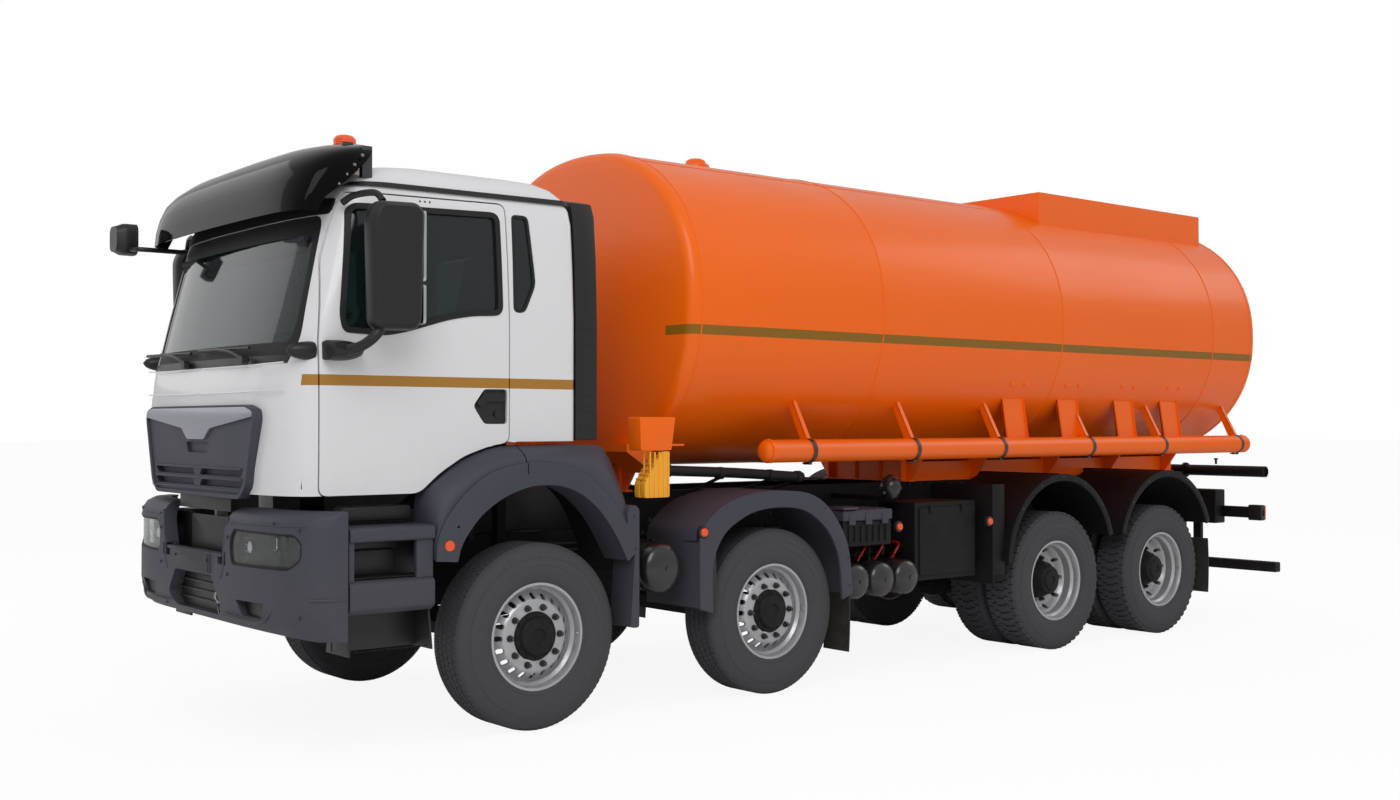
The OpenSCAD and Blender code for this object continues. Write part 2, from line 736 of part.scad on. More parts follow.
// Arm from the cab's floor down to its tilt pin
module tilt_arm() {
    difference() {
        side_slab(tilt_arm_x, tilt_arm_x + tilt_arm_w) {
            translate([tilt_y, tilt_z]) circle(r = 42);
            translate([tilt_y - 25, tilt_z]) square([50, floor_high + 20 - tilt_z]);
        }
        bar_x(tilt_pin_r + running_gap, 0, 500, tilt_y, tilt_z);
    }
}

module cab_shell() {
    color(white) place() both_sides() tilt_arm();
    color(white) place() difference() {
        cab_solid(0);
        cab_inside();
        // under the floor: engine bay and wheel arches
        block([-390, -1430, 1000], [390, 400, floor_high]);
        block([-1200, -680, 1000], [1200, 400, floor_high]);
        block([-1200, -1600, 1000], [1200, 400, floor_low - 4]);
        both_sides() {
            side_slab(cab_half - door_t - 30, 1200) door_outline(door_gap);
            side_slab(900, 1200) quarter_window_outline(0);
        }
        cross_slab(-1600, -1000) windscreen_outline(0);
        // rear window
        cross_slab(100, 400) round_rect([-500, 2350], [500, 2800], 60);
    }
}

module cab_glass() {
    pane = 8;
    color(glass) place() {
        intersection() {
            difference() {
                cab_solid(10);
                cab_solid(10 + pane);
            }
            cross_slab(-1600, -1000) windscreen_outline(-2);
        }
        both_sides() intersection() {
            difference() {
                cab_solid(12);
                cab_solid(12 + pane);
            }
            side_slab(900, 1200) quarter_window_outline(-2);
        }
        cross_slab(cab_rear - 30, cab_rear - 22) round_rect([-498, 2352], [498, 2798], 58);
    }
}

// One door's solid on the left side
module door_solid() {
    difference() {
        intersection() {
            cab_solid(0);
            side_slab(cab_half - door_t - 21, 1200) door_outline(0);
        }
        cab_solid(door_t);
        side_slab(900, 1200) side_window_outline(0);
        block([900, -1400, 1000], [cab_half - door_t, 0, 2100]);
    }
}

module door_handle() {
    side_slab(cab_half - 2, cab_half + 6) polygon([[-375, 1830], [-320, 1915], [-190, 1915],
        [-190, 1745], [-345, 1745]]);
}

module door_hinges() {
    for (z = [1480, 1880]) translate([1120.5, -1294, z]) cylinder(r = 8, h = 60);
}

module door_left() { color(white) place() { door_solid(); door_handle(); door_hinges(); } }
module door_right() {
    color(white) place() mirror([1, 0, 0]) {
        door_solid();
        door_handle();
        door_hinges();
    }
}

module door_pane() {
    intersection() {
        difference() {
            cab_solid(16);
            cab_solid(24);
        }
        side_slab(900, 1200) side_window_outline(-2);
    }
}

module door_glass_left() { color(glass) place() door_pane(); }
module door_glass_right() { color(glass) place() mirror([1, 0, 0]) door_pane(); }

// Mirror head with its arm, lower pod and wide-angle part, all carried by the door
module mirror_assembly() {
    head = [[-1150, 2250], [-1165, 2800], [-1120, 2880], [-900, 2885], [-850, 2840], [-870, 2250],
        [-910, 2215], [-1110, 2215]];
    difference() {
        union() {
            side_slab(1290, 1440) polygon(head);
            // upper and lower arms
            block([1075, -1130, 2905], [1420, -1040, 2945]);
            block([1340, -1110, 2860], [1400, -1050, 2930]);
            cross_slab(-1280, -1100) round_rect([1117, 2060], [1300, 2170], 40);
            block([1290, -1180, 2080], [1400, -1100, 2260]);
        }
        cab_solid(0);
    }
}

module mirror_left() { color(black) place() mirror_assembly(); }
module mirror_right() { color(black) place() mirror([1, 0, 0]) mirror_assembly(); }

module cab_trim() {
    color(black) place() {
        both_sides() {
            // gutter strip over the door
            intersection() {
                side_slab(1000, 1110) polygon([[-1120, 3000], [-1060, 3030], [280, 3040], [280, 3012],
                    [-1050, 3004]]);
                difference() { cab_solid(-12); cab_solid(0); }
            }
            // fixed front end of the mirror's lower pod, beside the door's sweep
            difference() {
                cross_slab(-1460, -1312) round_rect([1010, 2062], [1112, 2165], 40);
                cab_solid(0);
                block([980, -1600, 2000], [1040, -1200, 2200]);
            }
        }
        // corner mirror on its arm at the front right
        difference() {
            union() {
                cross_slab(-1600, -1470) round_rect([-1300, 2790], [-1130, 2990], 50);
                block([-1140, -1540, 2800], [-980, -1500, 2830]);
                block([-1015, -1540, 2795], [-975, -1180, 2833]);
            }
            cab_solid(0);
        }
        // dark fascia on the cab's back edge
        both_sides() cross_slab(cab_rear, cab_rear + 160)
            polygon([[1000, 1640], [1108, 1640], [1108, 2350], [1094, 2700], [1074, 2960], [1040, 3040],
                [960, 3060]]);
    }
}

module grille() {
    color(grey) place() difference() {
        cross_slab(-1530, -1505) polygon([[-700, 1325], [700, 1325], [760, 1420], [810, 1790],
            [700, 1840], [-700, 1840], [-810, 1790], [-760, 1420]]);
        cab_solid(0);
        for (z = [1400, 1440]) cross_slab(-1540, -1500) for (x = [-520, 20])
            translate([x, z]) square([500, 22]);
    }
}

module sun_visor() {
    // [y, z] across the middle: tips beside the windscreen's top, then up over the roof's front edge
    outer = [[-1440, 2840], [-1425, 3010], [-1340, 3150], [-1180, 3260], [-960, 3315]];
    t = 14;
    inner = [[-960, 3315 - t], [-1174, 3260 - t * 1.2], [-1328, 3144], [-1411, 3006], [-1426, 2840]];
    color(black) place() {
        intersection() {
            side_slab(-1060, 1060) polygon(concat(outer, inner));
            translate([0, 0, 2700]) linear_extrude(800) polygon([[-1060, -800], [-1060, -1300],
                [-1000, -1380], [-800, -1440], [800, -1440], [1000, -1380], [1060, -1300], [1060, -800]]);
        }
        // posts that stand it off the roof
        both_sides() difference() {
            for (x = [300, 860]) block([x, -1060, 3080], [x + 30, -1000, 3300]);
            cab_solid(0);
        }
    }
}

module beacon() {
    color([0.9, 0.35, 0.1]) place() difference() {
        translate([520, -880, 0]) {
            translate([0, 0, 3150]) cylinder(r = 75, h = 120);
            translate([0, 0, 3269]) cylinder(r = 62, h = 100);
        }
        cab_solid(0);
    }
}

module dashboard() {
    color(black) place() intersection() {
        side_slab(-1006, 1006) polygon([[-1395, 1900], [-1395, 2120], [-1280, 2140], [-1010, 2100],
            [-990, 1960], [-1120, 1860]]);
        cab_solid(door_t + 4);
    }
}

module steering_wheel() {
    color(black) place() translate([560, -860, 2110]) rotate([-28, 0, 0]) {
        rotate_extrude() translate([222, 0]) circle(r = 17, $fn = 24);
        translate([0, 0, -40]) cylinder(r = 70, h = 45);
        for (a = [0, 120, 240]) rotate([0, 0, a + 90]) translate([50, -16, -12]) cube([165, 32, 14]);
        translate([0, 0, -190]) cylinder(r = 32, h = 160);
    }
}

module seats() {
    color(black) place() both_sides() translate([560, 0, 0]) {
        block([-230, -560, 1700], [230, -120, 1960]);
        block([-250, -620, 1955], [250, -110, 2080]);
        side_slab(-240, 240) polygon([[-130, 2040], [-10, 2040], [110, 2760], [20, 2775]]);
        side_slab(-140, 140) polygon([[20, 2740], [110, 2740], [125, 2900], [50, 2905]]);
    }
}

frame();
springs();
front_axles();
rear_axles();
engine();
bumper();
headlamps();
entry_steps();
mudguards_front();
mudguards_second();
mudguards_rear();
battery_box();
air_tanks();
fuel_tank();
exhaust_box();
tank();
tank_supports();
tank_coaming();
hose_tubes();
discharge_pipe();
rear_bars();
wheel_chocks();
ladder();
cab_shell();
cab_glass();
cab_trim();
grille();
sun_visor();
beacon();
dashboard();
steering_wheel();
seats();
door_left();
door_right();
door_glass_left();
door_glass_right();
mirror_left();
mirror_right();
manhole_lid();
knuckle(0, 1);  // knuckle_1_left
knuckle(0, -1);  // knuckle_1_right
knuckle(1, 1);  // knuckle_2_left
knuckle(1, -1);  // knuckle_2_right
front_rim(0, 1);  // rim_1_left
front_rim(0, -1);  // rim_1_right
front_rim(1, 1);  // rim_2_left
front_rim(1, -1);  // rim_2_right
twin_rim(2, 1);  // rim_3_left
twin_rim(2, -1);  // rim_3_right
twin_rim(3, 1);  // rim_4_left
twin_rim(3, -1);  // rim_4_right
front_tyre(0, 1);  // tyre_1_left
front_tyre(0, -1);  // tyre_1_right
front_tyre(1, 1);  // tyre_2_left
front_tyre(1, -1);  // tyre_2_right
twin_tyre(2, 1);  // tyre_3_left
twin_tyre(2, -1);  // tyre_3_right
twin_tyre(3, 1);  // tyre_4_left
twin_tyre(3, -1);  // tyre_4_right
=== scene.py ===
"""A four-axle tanker truck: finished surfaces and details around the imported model.

The front of the truck faces -Y, its left side is +X, and the ground is Z = 0. Lengths are metres.
Places along the truck are written from the first axle and moved by ``Plan.y``.
"""

import logging
import math
from dataclasses import dataclass, field
from enum import Enum
from typing import Callable, Iterable, Sequence

import bmesh
import bpy
from mathutils import Matrix, Vector


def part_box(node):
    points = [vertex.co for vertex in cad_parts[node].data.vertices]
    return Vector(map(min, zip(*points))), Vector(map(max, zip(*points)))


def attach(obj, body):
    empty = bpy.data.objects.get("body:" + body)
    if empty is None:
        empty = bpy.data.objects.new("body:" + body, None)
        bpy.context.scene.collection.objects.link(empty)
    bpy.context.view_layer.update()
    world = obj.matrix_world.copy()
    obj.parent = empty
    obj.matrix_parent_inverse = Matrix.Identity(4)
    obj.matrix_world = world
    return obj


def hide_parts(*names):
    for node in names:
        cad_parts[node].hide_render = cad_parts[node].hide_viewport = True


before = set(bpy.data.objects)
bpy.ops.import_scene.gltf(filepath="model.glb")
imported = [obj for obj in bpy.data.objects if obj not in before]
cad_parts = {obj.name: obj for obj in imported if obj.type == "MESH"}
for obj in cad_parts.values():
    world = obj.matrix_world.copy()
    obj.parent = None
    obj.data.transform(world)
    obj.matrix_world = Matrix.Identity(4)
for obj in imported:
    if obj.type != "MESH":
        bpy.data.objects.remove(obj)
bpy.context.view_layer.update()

LOG = logging.getLogger("truck")
Point2 = tuple[float, float]
Point3 = tuple[float, float, float]
SIDES: dict[str, int] = {"left": 1, "right": -1}


# ---------------------------------------------------------------- colours and nodes


def linear(hex_colour: str) -> tuple[float, float, float, float]:
    """Turns an sRGB hex colour into linear RGBA.

    Args:
        hex_colour: six hex digits, such as "EB6400".

    Returns:
        The linear colour with alpha 1.
    """
    parts = [int(hex_colour[i : i + 2], 16) / 255 for i in (0, 2, 4)]
    rgb = [c / 12.92 if c <= 0.04045 else ((c + 0.055) / 1.055) ** 2.4 for c in parts]
    return (*rgb, 1.0)


def add_node(tree: bpy.types.NodeTree, kind: str, links: dict | None = None, **settings) -> bpy.types.Node:
    """Adds a node, sets its properties and fills or links its inputs.

    Args:
        tree: the node tree that gets it.
        kind: the node's type name.
        links: input name or number to a value or to another node's output socket.
        **settings: properties of the node.

    Returns:
        The new node.
    """
    node = tree.nodes.new(kind)
    for key, value in settings.items():
        setattr(node, key, value)
    for key, value in (links or {}).items():
        socket = node.inputs[key]
        if isinstance(value, bpy.types.NodeSocket):
            tree.links.new(value, socket)
        else:
            socket.default_value = value
    return node


@dataclass(frozen=True)
class Finish:
    """A finish: what the material is, its look and the fine pattern on it."""

    name: str
    colour: str
    roughness: float = 0.5
    metallic: float = 0.0
    coat: float = 0.0
    transmission: float = 0.0
    ior: float = 1.5
    emission: float = 0.0
    grain_mm: float = 2.0
    bump: float = 0.1
    shade: float = 0.12
    patch_mm: float = 400.0
    dust: float = 0.0
    dust_top: float = 1.2
    dust_colour: str = "6E665B"

    def make(self) -> bpy.types.Material:
        """Builds the material once and returns it afterwards."""
        found = bpy.data.materials.get(self.name)
        if found:
            return found
        material = bpy.data.materials.new(self.name)
        material.use_nodes = True
        tree = material.node_tree
        tree.nodes.clear()
        place = add_node(tree, "ShaderNodeTexCoord").outputs["Object"]
        colour = self.colours(tree, place)
        grain = add_node(tree, "ShaderNodeTexNoise", {
            "Vector": place, "Scale": 1000.0 / self.grain_mm, "Detail": 3.0})
        bump = add_node(tree, "ShaderNodeBump", {
            "Height": grain.outputs["Fac"], "Strength": self.bump, "Distance": self.grain_mm / 2000.0})
        rough = add_node(tree, "ShaderNodeTexNoise", {
            "Vector": place, "Scale": 1000.0 / self.patch_mm * 1.7, "Detail": 4.0})
        rough_map = add_node(tree, "ShaderNodeMapRange", {
            "Value": rough.outputs["Fac"], "To Min": max(0.0, self.roughness - 0.06),
            "To Max": min(1.0, self.roughness + 0.08)})
        shader = add_node(tree, "ShaderNodeBsdfPrincipled", {
            "Base Color": colour, "Roughness": rough_map.outputs["Result"],
            "Normal": bump.outputs["Normal"]})
        shader.inputs["Metallic"].default_value = self.metallic
        shader.inputs["Coat Weight"].default_value = self.coat
        shader.inputs["Coat Roughness"].default_value = 0.05
        shader.inputs["Transmission Weight"].default_value = self.transmission
        if not self.metallic:
            shader.inputs["IOR"].default_value = self.ior
        if self.emission:
            shader.inputs["Emission Color"].default_value = linear(self.colour)
            shader.inputs["Emission Strength"].default_value = self.emission
        out = add_node(tree, "ShaderNodeOutputMaterial", {"Surface": shader.outputs["BSDF"]})
        out.location = (600, 0)
        return material

    def colours(self, tree: bpy.types.NodeTree, place: bpy.types.NodeSocket) -> bpy.types.NodeSocket:
        """Base colour with soft patches and, where asked, road dust that thins out with height.

        Args:
            tree: the material's nodes.
            place: object coordinates.

        Returns:
            The colour socket.
        """
        base = linear(self.colour)
        dark = tuple(c * (1 - self.shade) for c in base[:3]) + (1.0,)
        light = tuple(min(1.0, c * (1 + self.shade * 0.6)) for c in base[:3]) + (1.0,)
        patches = add_node(tree, "ShaderNodeTexNoise", {
            "Vector": place, "Scale": 1000.0 / self.patch_mm, "Detail": 5.0, "Roughness": 0.6})
        mixed = add_node(tree, "ShaderNodeMix", {
            "Factor": patches.outputs["Fac"], "A": dark, "B": light}, data_type="RGBA")
        colour = mixed.outputs["Result"]
        if self.dust:
            height = add_node(tree, "ShaderNodeSeparateXYZ", {"Vector": place}).outputs["Z"]
            low = add_node(tree, "ShaderNodeMapRange", {
                "Value": height, "From Min": self.dust_top, "From Max": 0.1,
                "To Min": 0.0, "To Max": self.dust})
            spots = add_node(tree, "ShaderNodeTexNoise", {"Vector": place, "Scale": 14.0, "Detail": 6.0})
            amount = add_node(tree, "ShaderNodeMath", {
                0: low.outputs["Result"], 1: spots.outputs["Fac"]}, operation="MULTIPLY")
            dusty = add_node(tree, "ShaderNodeMix", {
                "Factor": amount.outputs["Value"], "A": colour, "B": linear(self.dust_colour)},
                data_type="RGBA")
            colour = dusty.outputs["Result"]
        return self.markings(tree, place, colour)

    def markings(self, _tree: bpy.types.NodeTree, _place: bpy.types.NodeSocket,
                 colour: bpy.types.NodeSocket) -> bpy.types.NodeSocket:
        """A plain finish has no stripes."""
        return colour


@dataclass(frozen=True)
class StripedPaint(Finish):
    """Sprayed gloss paint with one painted line along the side, between two heights."""

    stripe: str = "8A5A05"
    low: float = 0.0
    high: float = 0.0
    least_x: float = 0.0
    from_y: float = -100.0
    to_y: float = 100.0

    def markings(self, tree: bpy.types.NodeTree, place: bpy.types.NodeSocket,
                 colour: bpy.types.NodeSocket) -> bpy.types.NodeSocket:
        """Lays the painted line over the base colour.

        Args:
            tree: the material's nodes.
            place: object coordinates.
            colour: the base colour's socket.

        Returns:
            The colour with the line.
        """
        split = add_node(tree, "ShaderNodeSeparateXYZ", {"Vector": place})
        across = add_node(tree, "ShaderNodeMath", {0: split.outputs["X"]}, operation="ABSOLUTE")
        tests = [(split.outputs["Z"], self.low, "GREATER_THAN"),
                 (split.outputs["Z"], self.high, "LESS_THAN"),
                 (across.outputs[0], self.least_x, "GREATER_THAN"),
                 (split.outputs["Y"], self.from_y, "GREATER_THAN"),
                 (split.outputs["Y"], self.to_y, "LESS_THAN")]
        inside = None
        for value, limit, operation in tests:
            test = add_node(tree, "ShaderNodeMath", {0: value, 1: limit}, operation=operation).outputs[0]
            if inside is not None:
                test = add_node(tree, "ShaderNodeMath", {0: inside, 1: test},
                                operation="MULTIPLY").outputs[0]
            inside = test
        return add_node(tree, "ShaderNodeMix", {
            "Factor": inside, "A": colour, "B": linear(self.stripe)}, data_type="RGBA").outputs["Result"]


class Look:
    """Every finish on the truck, named for its real material."""

    # sprayed two-layer enamel on steel plate: deep gloss, faint orange peel
    tank_orange = StripedPaint("enamel_orange", "FF6C00", 0.32, coat=0.08, ior=1.38, grain_mm=9, bump=0.02,
                               shade=0.05,
                               patch_mm=1500, stripe="8C6208", low=2.288, high=2.348, least_x=1.0)
    orange = Finish("enamel_orange_plain", "FF6C00", 0.34, coat=0.05, ior=1.38, grain_mm=9, bump=0.02,
                    shade=0.06,
                    patch_mm=900, dust=0.1, dust_top=2.2)
    # baked white cab enamel: gloss, a little duller and dustier towards the sill
    white = StripedPaint("enamel_white", "E2E2E4", 0.3, coat=0.6, grain_mm=8, bump=0.015, shade=0.03,
                         patch_mm=1200, dust=0.2, dust_top=1.9, stripe="A87410", low=1.935, high=1.992,
                         least_x=1.06)
    # injection-moulded polypropylene, fine leather-like grain, satin
    grey_plastic = Finish("polypropylene_grey", "42434D", 0.52, ior=1.38, grain_mm=1.6, bump=0.25,
                          shade=0.08,
                          patch_mm=500, dust=0.35, dust_top=1.3)
    # moulded ABS, black, satin with fine grain
    black_plastic = Finish("abs_black", "17171A", 0.42, grain_mm=1.2, bump=0.2, shade=0.15, patch_mm=300,
                           dust=0.2, dust_top=1.6)
    # extruded EPDM seal: matt black
    seal = Finish("epdm_seal", "0B0B0C", 0.62, grain_mm=1.0, bump=0.2, shade=0.2)
    # chassis paint: black satin, a film of road dust on everything low
    chassis = Finish("chassis_paint_black", "0F0F12", 0.55, ior=1.33, grain_mm=3, bump=0.15, shade=0.3,
                     patch_mm=250, dust=0.22, dust_top=1.6, dust_colour="4F4A44")
    # gloss black powder coat on pressed air vessels
    vessel = Finish("powder_coat_black", "1D1D21", 0.28, coat=0.5, grain_mm=5, bump=0.04, shade=0.15,
                    dust=0.25, dust_top=1.4, dust_colour="55504A")
    # cast iron with machining and grime
    iron = Finish("cast_iron", "3B3B3D", 0.6, metallic=0.6, grain_mm=2, bump=0.5, shade=0.4, patch_mm=90)
    # silver wheel enamel on pressed steel: slight flop, brake dust in patches
    wheel_silver = Finish("wheel_enamel_silver", "BEBFC2", 0.34, metallic=0.55, coat=0.3, grain_mm=2,
                          bump=0.05, shade=0.16, patch_mm=120, dust=0.12, dust_top=1.3)
    # zinc-plated fasteners
    zinc = Finish("zinc_plated_steel", "A7A8A6", 0.36, metallic=0.95, grain_mm=1, bump=0.1, shade=0.2,
                  patch_mm=30)
    clamp = Finish("stainless_band", "57585A", 0.38, metallic=0.9, grain_mm=1.5, bump=0.15, shade=0.25)
    aluminium = Finish("brushed_aluminium", "B4B6B8", 0.33, metallic=1.0, grain_mm=1.5, bump=0.12,
                       shade=0.12)
    # heavy truck tyre compound: matt, greyer where scuffed and dusty
    tyre = Finish("tyre_rubber", "131315", 0.82, ior=1.28, grain_mm=2.2, bump=0.3, shade=0.22, patch_mm=180,
                  dust=0.15, dust_top=1.3, dust_colour="57524B")
    rubber = Finish("moulded_rubber", "1B1B1C", 0.7, grain_mm=2.5, bump=0.3, shade=0.2, dust=0.4)
    # laminated safety glass, faint green-grey tint
    glass = Finish("laminated_glass", "566B6B", 0.015, transmission=0.92, ior=1.5, grain_mm=40, bump=0.004,
                   shade=0.03)
    dark_glass = Finish("privacy_glass", "1D2428", 0.02, transmission=0.6, ior=1.5, grain_mm=40, bump=0.004,
                        shade=0.05)
    # smoked acrylic sheet, drape-formed
    smoke = Finish("smoked_acrylic", "08080A", 0.06, transmission=0.12, ior=1.2, grain_mm=60,
                   bump=0.01, shade=0.1)
    lens = Finish("polycarbonate_clear", "F2F4F5", 0.03, transmission=0.97, ior=1.2, grain_mm=30, bump=0.01,
                  shade=0.02)
    chrome = Finish("vacuum_metallised_chrome", "D8DADC", 0.08, metallic=1.0, grain_mm=10, bump=0.02,
                    shade=0.05)
    amber = Finish("amber_polycarbonate", "F0561C", 0.22, transmission=0.12, coat=0.4, grain_mm=6,
                   bump=0.15,
                   shade=0.08, patch_mm=25, emission=0.12)
    red = Finish("red_polycarbonate", "A81412", 0.2, transmission=0.15, coat=0.4, grain_mm=6, bump=0.15,
                 shade=0.1, patch_mm=25, emission=0.05)
    yellow = Finish("hdpe_yellow", "FFB12A", 0.42, grain_mm=2.5, bump=0.15, shade=0.08, patch_mm=120,
                    dust=0.15, dust_top=2.0)
    satin_band = Finish("satin_silver_trim", "9EA4AC", 0.3, metallic=0.7, coat=0.3, grain_mm=2, bump=0.05,
                        shade=0.05)
    mirror = Finish("mirror_glass", "C9CED2", 0.02, metallic=1.0, grain_mm=50, bump=0.002, shade=0.02)
    # woven seat cloth, 1.2 mm threads
    cloth = Finish("woven_seat_cloth", "2C2E36", 0.85, grain_mm=1.2, bump=0.6, shade=0.25, patch_mm=60)
    dash = Finish("soft_touch_dash", "26272B", 0.6, grain_mm=1.5, bump=0.35, shade=0.12)
    plate = Finish("blank_plate_holder", "2B2C31", 0.5, grain_mm=2, bump=0.1, shade=0.08)


# ---------------------------------------------------------------- mesh tools


class Axis(Enum):
    """A direction of the truck: across, along or up."""

    X = 0
    Y = 1
    Z = 2

    def turn(self) -> Matrix:
        """The turn that carries +Z onto this axis; an outline's (a, b) go to (y, z) on X, (x, z) on Y."""
        if self is Axis.X:
            return Matrix(((0, 0, 1, 0), (1, 0, 0, 0), (0, 1, 0, 0), (0, 0, 0, 1)))
        if self is Axis.Y:
            return Matrix(((1, 0, 0, 0), (0, 0, 1, 0), (0, 1, 0, 0), (0, 0, 0, 1)))
        return Matrix.Identity(4)


def arc(centre: Point2, radius: float, start: float, end: float, steps: int) -> list[Point2]:
    """Points on an arc.

    Args:
        centre: the arc's centre.
        radius: its radius.
        start: first angle in degrees.
        end: last angle in degrees.
        steps: how many spans.

    Returns:
        steps + 1 points.
    """
    angles = [math.radians(start + (end - start) * i / steps) for i in range(steps + 1)]
    return [(centre[0] + radius * math.cos(a), centre[1] + radius * math.sin(a)) for a in angles]


def rounded(points: Sequence[Point2], radius: float, steps: int = 4) -> list[Point2]:
    """Rounds every corner of a closed outline.

    Args:
        points: the outline's corners.
        radius: the rounding's reach along each edge, cut down on short edges.
        steps: spans in each rounding.

    Returns:
        The rounded outline.
    """
    done: list[Point2] = []
    count = len(points)
    for i, corner in enumerate(points):
        here = Vector(corner)
        before, after = Vector(points[i - 1]) - here, Vector(points[(i + 1) % count]) - here
        reach = min(radius, before.length * 0.45, after.length * 0.45)
        first, last = here + before.normalized() * reach, here + after.normalized() * reach
        for k in range(steps + 1):
            t = k / steps
            done.append(tuple(first * (1 - t) ** 2 + here * 2 * t * (1 - t) + last * t**2))
    return done


def rect(lo: Point2, hi: Point2) -> list[Point2]:
    """The corners of a rectangle."""
    return [(lo[0], lo[1]), (hi[0], lo[1]), (hi[0], hi[1]), (lo[0], hi[1])]


def smooth_step(t: float) -> float:
    """Eases from 0 to 1."""
    t = max(0.0, min(1.0, t))
    return t * t * (3 - 2 * t)


class Shape:
    """Collects closed solids and turns them into one piece."""

    def __init__(self) -> None:
        """Starts empty."""
        self.bm = bmesh.new()

    def add(self, part: bmesh.types.BMesh, place: Matrix | None = None, bevel: float = 0.0,
            segments: int = 2, sharp: float = 25.0) -> "Shape":
        """Takes over another mesh, with its hard edges bevelled.

        Args:
            part: the mesh, which is freed.
            place: where it goes.
            bevel: the bevel's width.
            segments: spans across the bevel.
            sharp: an edge that turns by more degrees than this is bevelled.

        Returns:
            This shape.
        """
        if place is not None:
            part.transform(place)
        bmesh.ops.recalc_face_normals(part, faces=part.faces)
        if bevel > 0:
            limit = math.radians(sharp)
            edges = [e for e in part.edges if len(e.link_faces) == 2 and e.calc_face_angle(0) > limit]
            bmesh.ops.bevel(part, geom=edges, offset=bevel, segments=segments, profile=0.6,
                            affect="EDGES", clamp_overlap=True)
        mesh = bpy.data.meshes.new("scratch")
        part.to_mesh(mesh)
        part.free()
        self.bm.from_mesh(mesh)
        bpy.data.meshes.remove(mesh)
        return self

    def box(self, lo: Point3, hi: Point3, bevel: float = 0.0, segments: int = 2) -> "Shape":
        """A block between two corners."""
        part = bmesh.new()
        bmesh.ops.create_cube(part, size=1.0)
        size = [hi[i] - lo[i] for i in range(3)]
        middle = [(hi[i] + lo[i]) / 2 for i in range(3)]
        return self.add(part, Matrix.Translation(middle) @ Matrix.Diagonal((*size, 1)), bevel, segments)

    def side_box(self, sign: int, across: Point2, along: Point2, up: Point2,
                 bevel: float = 0.0) -> "Shape":
        """A block on one side of the truck.

        Args:
            sign: 1 on the left, -1 on the right.
            across: its two distances from the middle plane.
            along: its two places from the first axle.
            up: its two heights.
            bevel: width of the bevel on its edges.

        Returns:
            This shape.
        """
        x0, x1 = spread(sign, *across)
        return self.box((x0, Plan.y(along[0]), up[0]), (x1, Plan.y(along[1]), up[1]), bevel)

    def prism(self, outline: Sequence[Point2], axis: Axis, start: float, end: float, bevel: float = 0.0,
              segments: int = 2, hole: Sequence[Point2] | None = None) -> "Shape":
        """An outline carried along an axis.

        Args:
            outline: points in the two other axes, (y, z), (x, z) or (x, y).
            axis: the direction of the extrusion.
            start: where it starts.
            end: where it ends.
            bevel: width of the bevel on its hard edges.
            segments: spans across the bevel.
            hole: an opening with as many points as the outline.

        Returns:
            This shape.
        """
        part = bmesh.new()
        rings = [[part.verts.new((a, b, h)) for a, b in points]
                 for points in ([outline, hole] if hole else [outline]) for h in (start, end)]
        count = len(outline)
        for ring in range(0, len(rings), 2):
            for i in range(count):
                j = (i + 1) % count
                part.faces.new((rings[ring][i], rings[ring][j], rings[ring + 1][j], rings[ring + 1][i]))
        for level in (0, 1):
            if hole:
                for i in range(count):
                    j = (i + 1) % count
                    part.faces.new((rings[level][i], rings[level][j], rings[level + 2][j],
                                    rings[level + 2][i]))
            else:
                part.faces.new(rings[level])
        return self.add(part, axis.turn(), bevel, segments)

    def lathe(self, profile: Sequence[Point2], centre: Point3, axis: Axis = Axis.X, segments: int = 64,
              closed: bool = False) -> "Shape":
        """A shape of revolution.

        Args:
            profile: (radius, distance along the axis); its ends lie on the axis unless it is closed.
            centre: a point on the axis.
            axis: the axis of revolution.
            segments: spans round it.
            closed: True for a ring whose profile is a loop.

        Returns:
            This shape.
        """
        part = bmesh.new()
        rows = []
        for radius, along in profile:
            if radius < 1e-6:
                rows.append([part.verts.new((0, 0, along))])
                continue
            rows.append([part.verts.new((radius * math.cos(t), radius * math.sin(t), along)) for t in
                         (2 * math.pi * k / segments for k in range(segments))])
        pairs = list(zip(rows, rows[1:])) + ([(rows[-1], rows[0])] if closed else [])
        for a, b in pairs:
            for k in range(segments):
                m = (k + 1) % segments
                corners = [a[k % len(a)], a[m % len(a)], b[m % len(b)], b[k % len(b)]]
                unique = list(dict.fromkeys(corners))
                if len(unique) > 2:
                    part.faces.new(unique)
        if not closed:
            for row in (rows[0], rows[-1]):
                if len(row) > 1:
                    part.faces.new(row)
        return self.add(part, Matrix.Translation(centre) @ axis.turn())

    def rod(self, a: Point3, b: Point3, radius: float, sides: int = 24, bevel: float = 0.0) -> "Shape":
        """A round bar between two points."""
        start, end = Vector(a), Vector(b)
        part = bmesh.new()
        length = (end - start).length
        bmesh.ops.create_cone(part, cap_ends=True, segments=sides, radius1=radius, radius2=radius,
                              depth=length)
        turn = (end - start).to_track_quat("Z", "Y").to_matrix().to_4x4()
        return self.add(part, Matrix.Translation((start + end) / 2) @ turn, bevel, 2, 50.0)

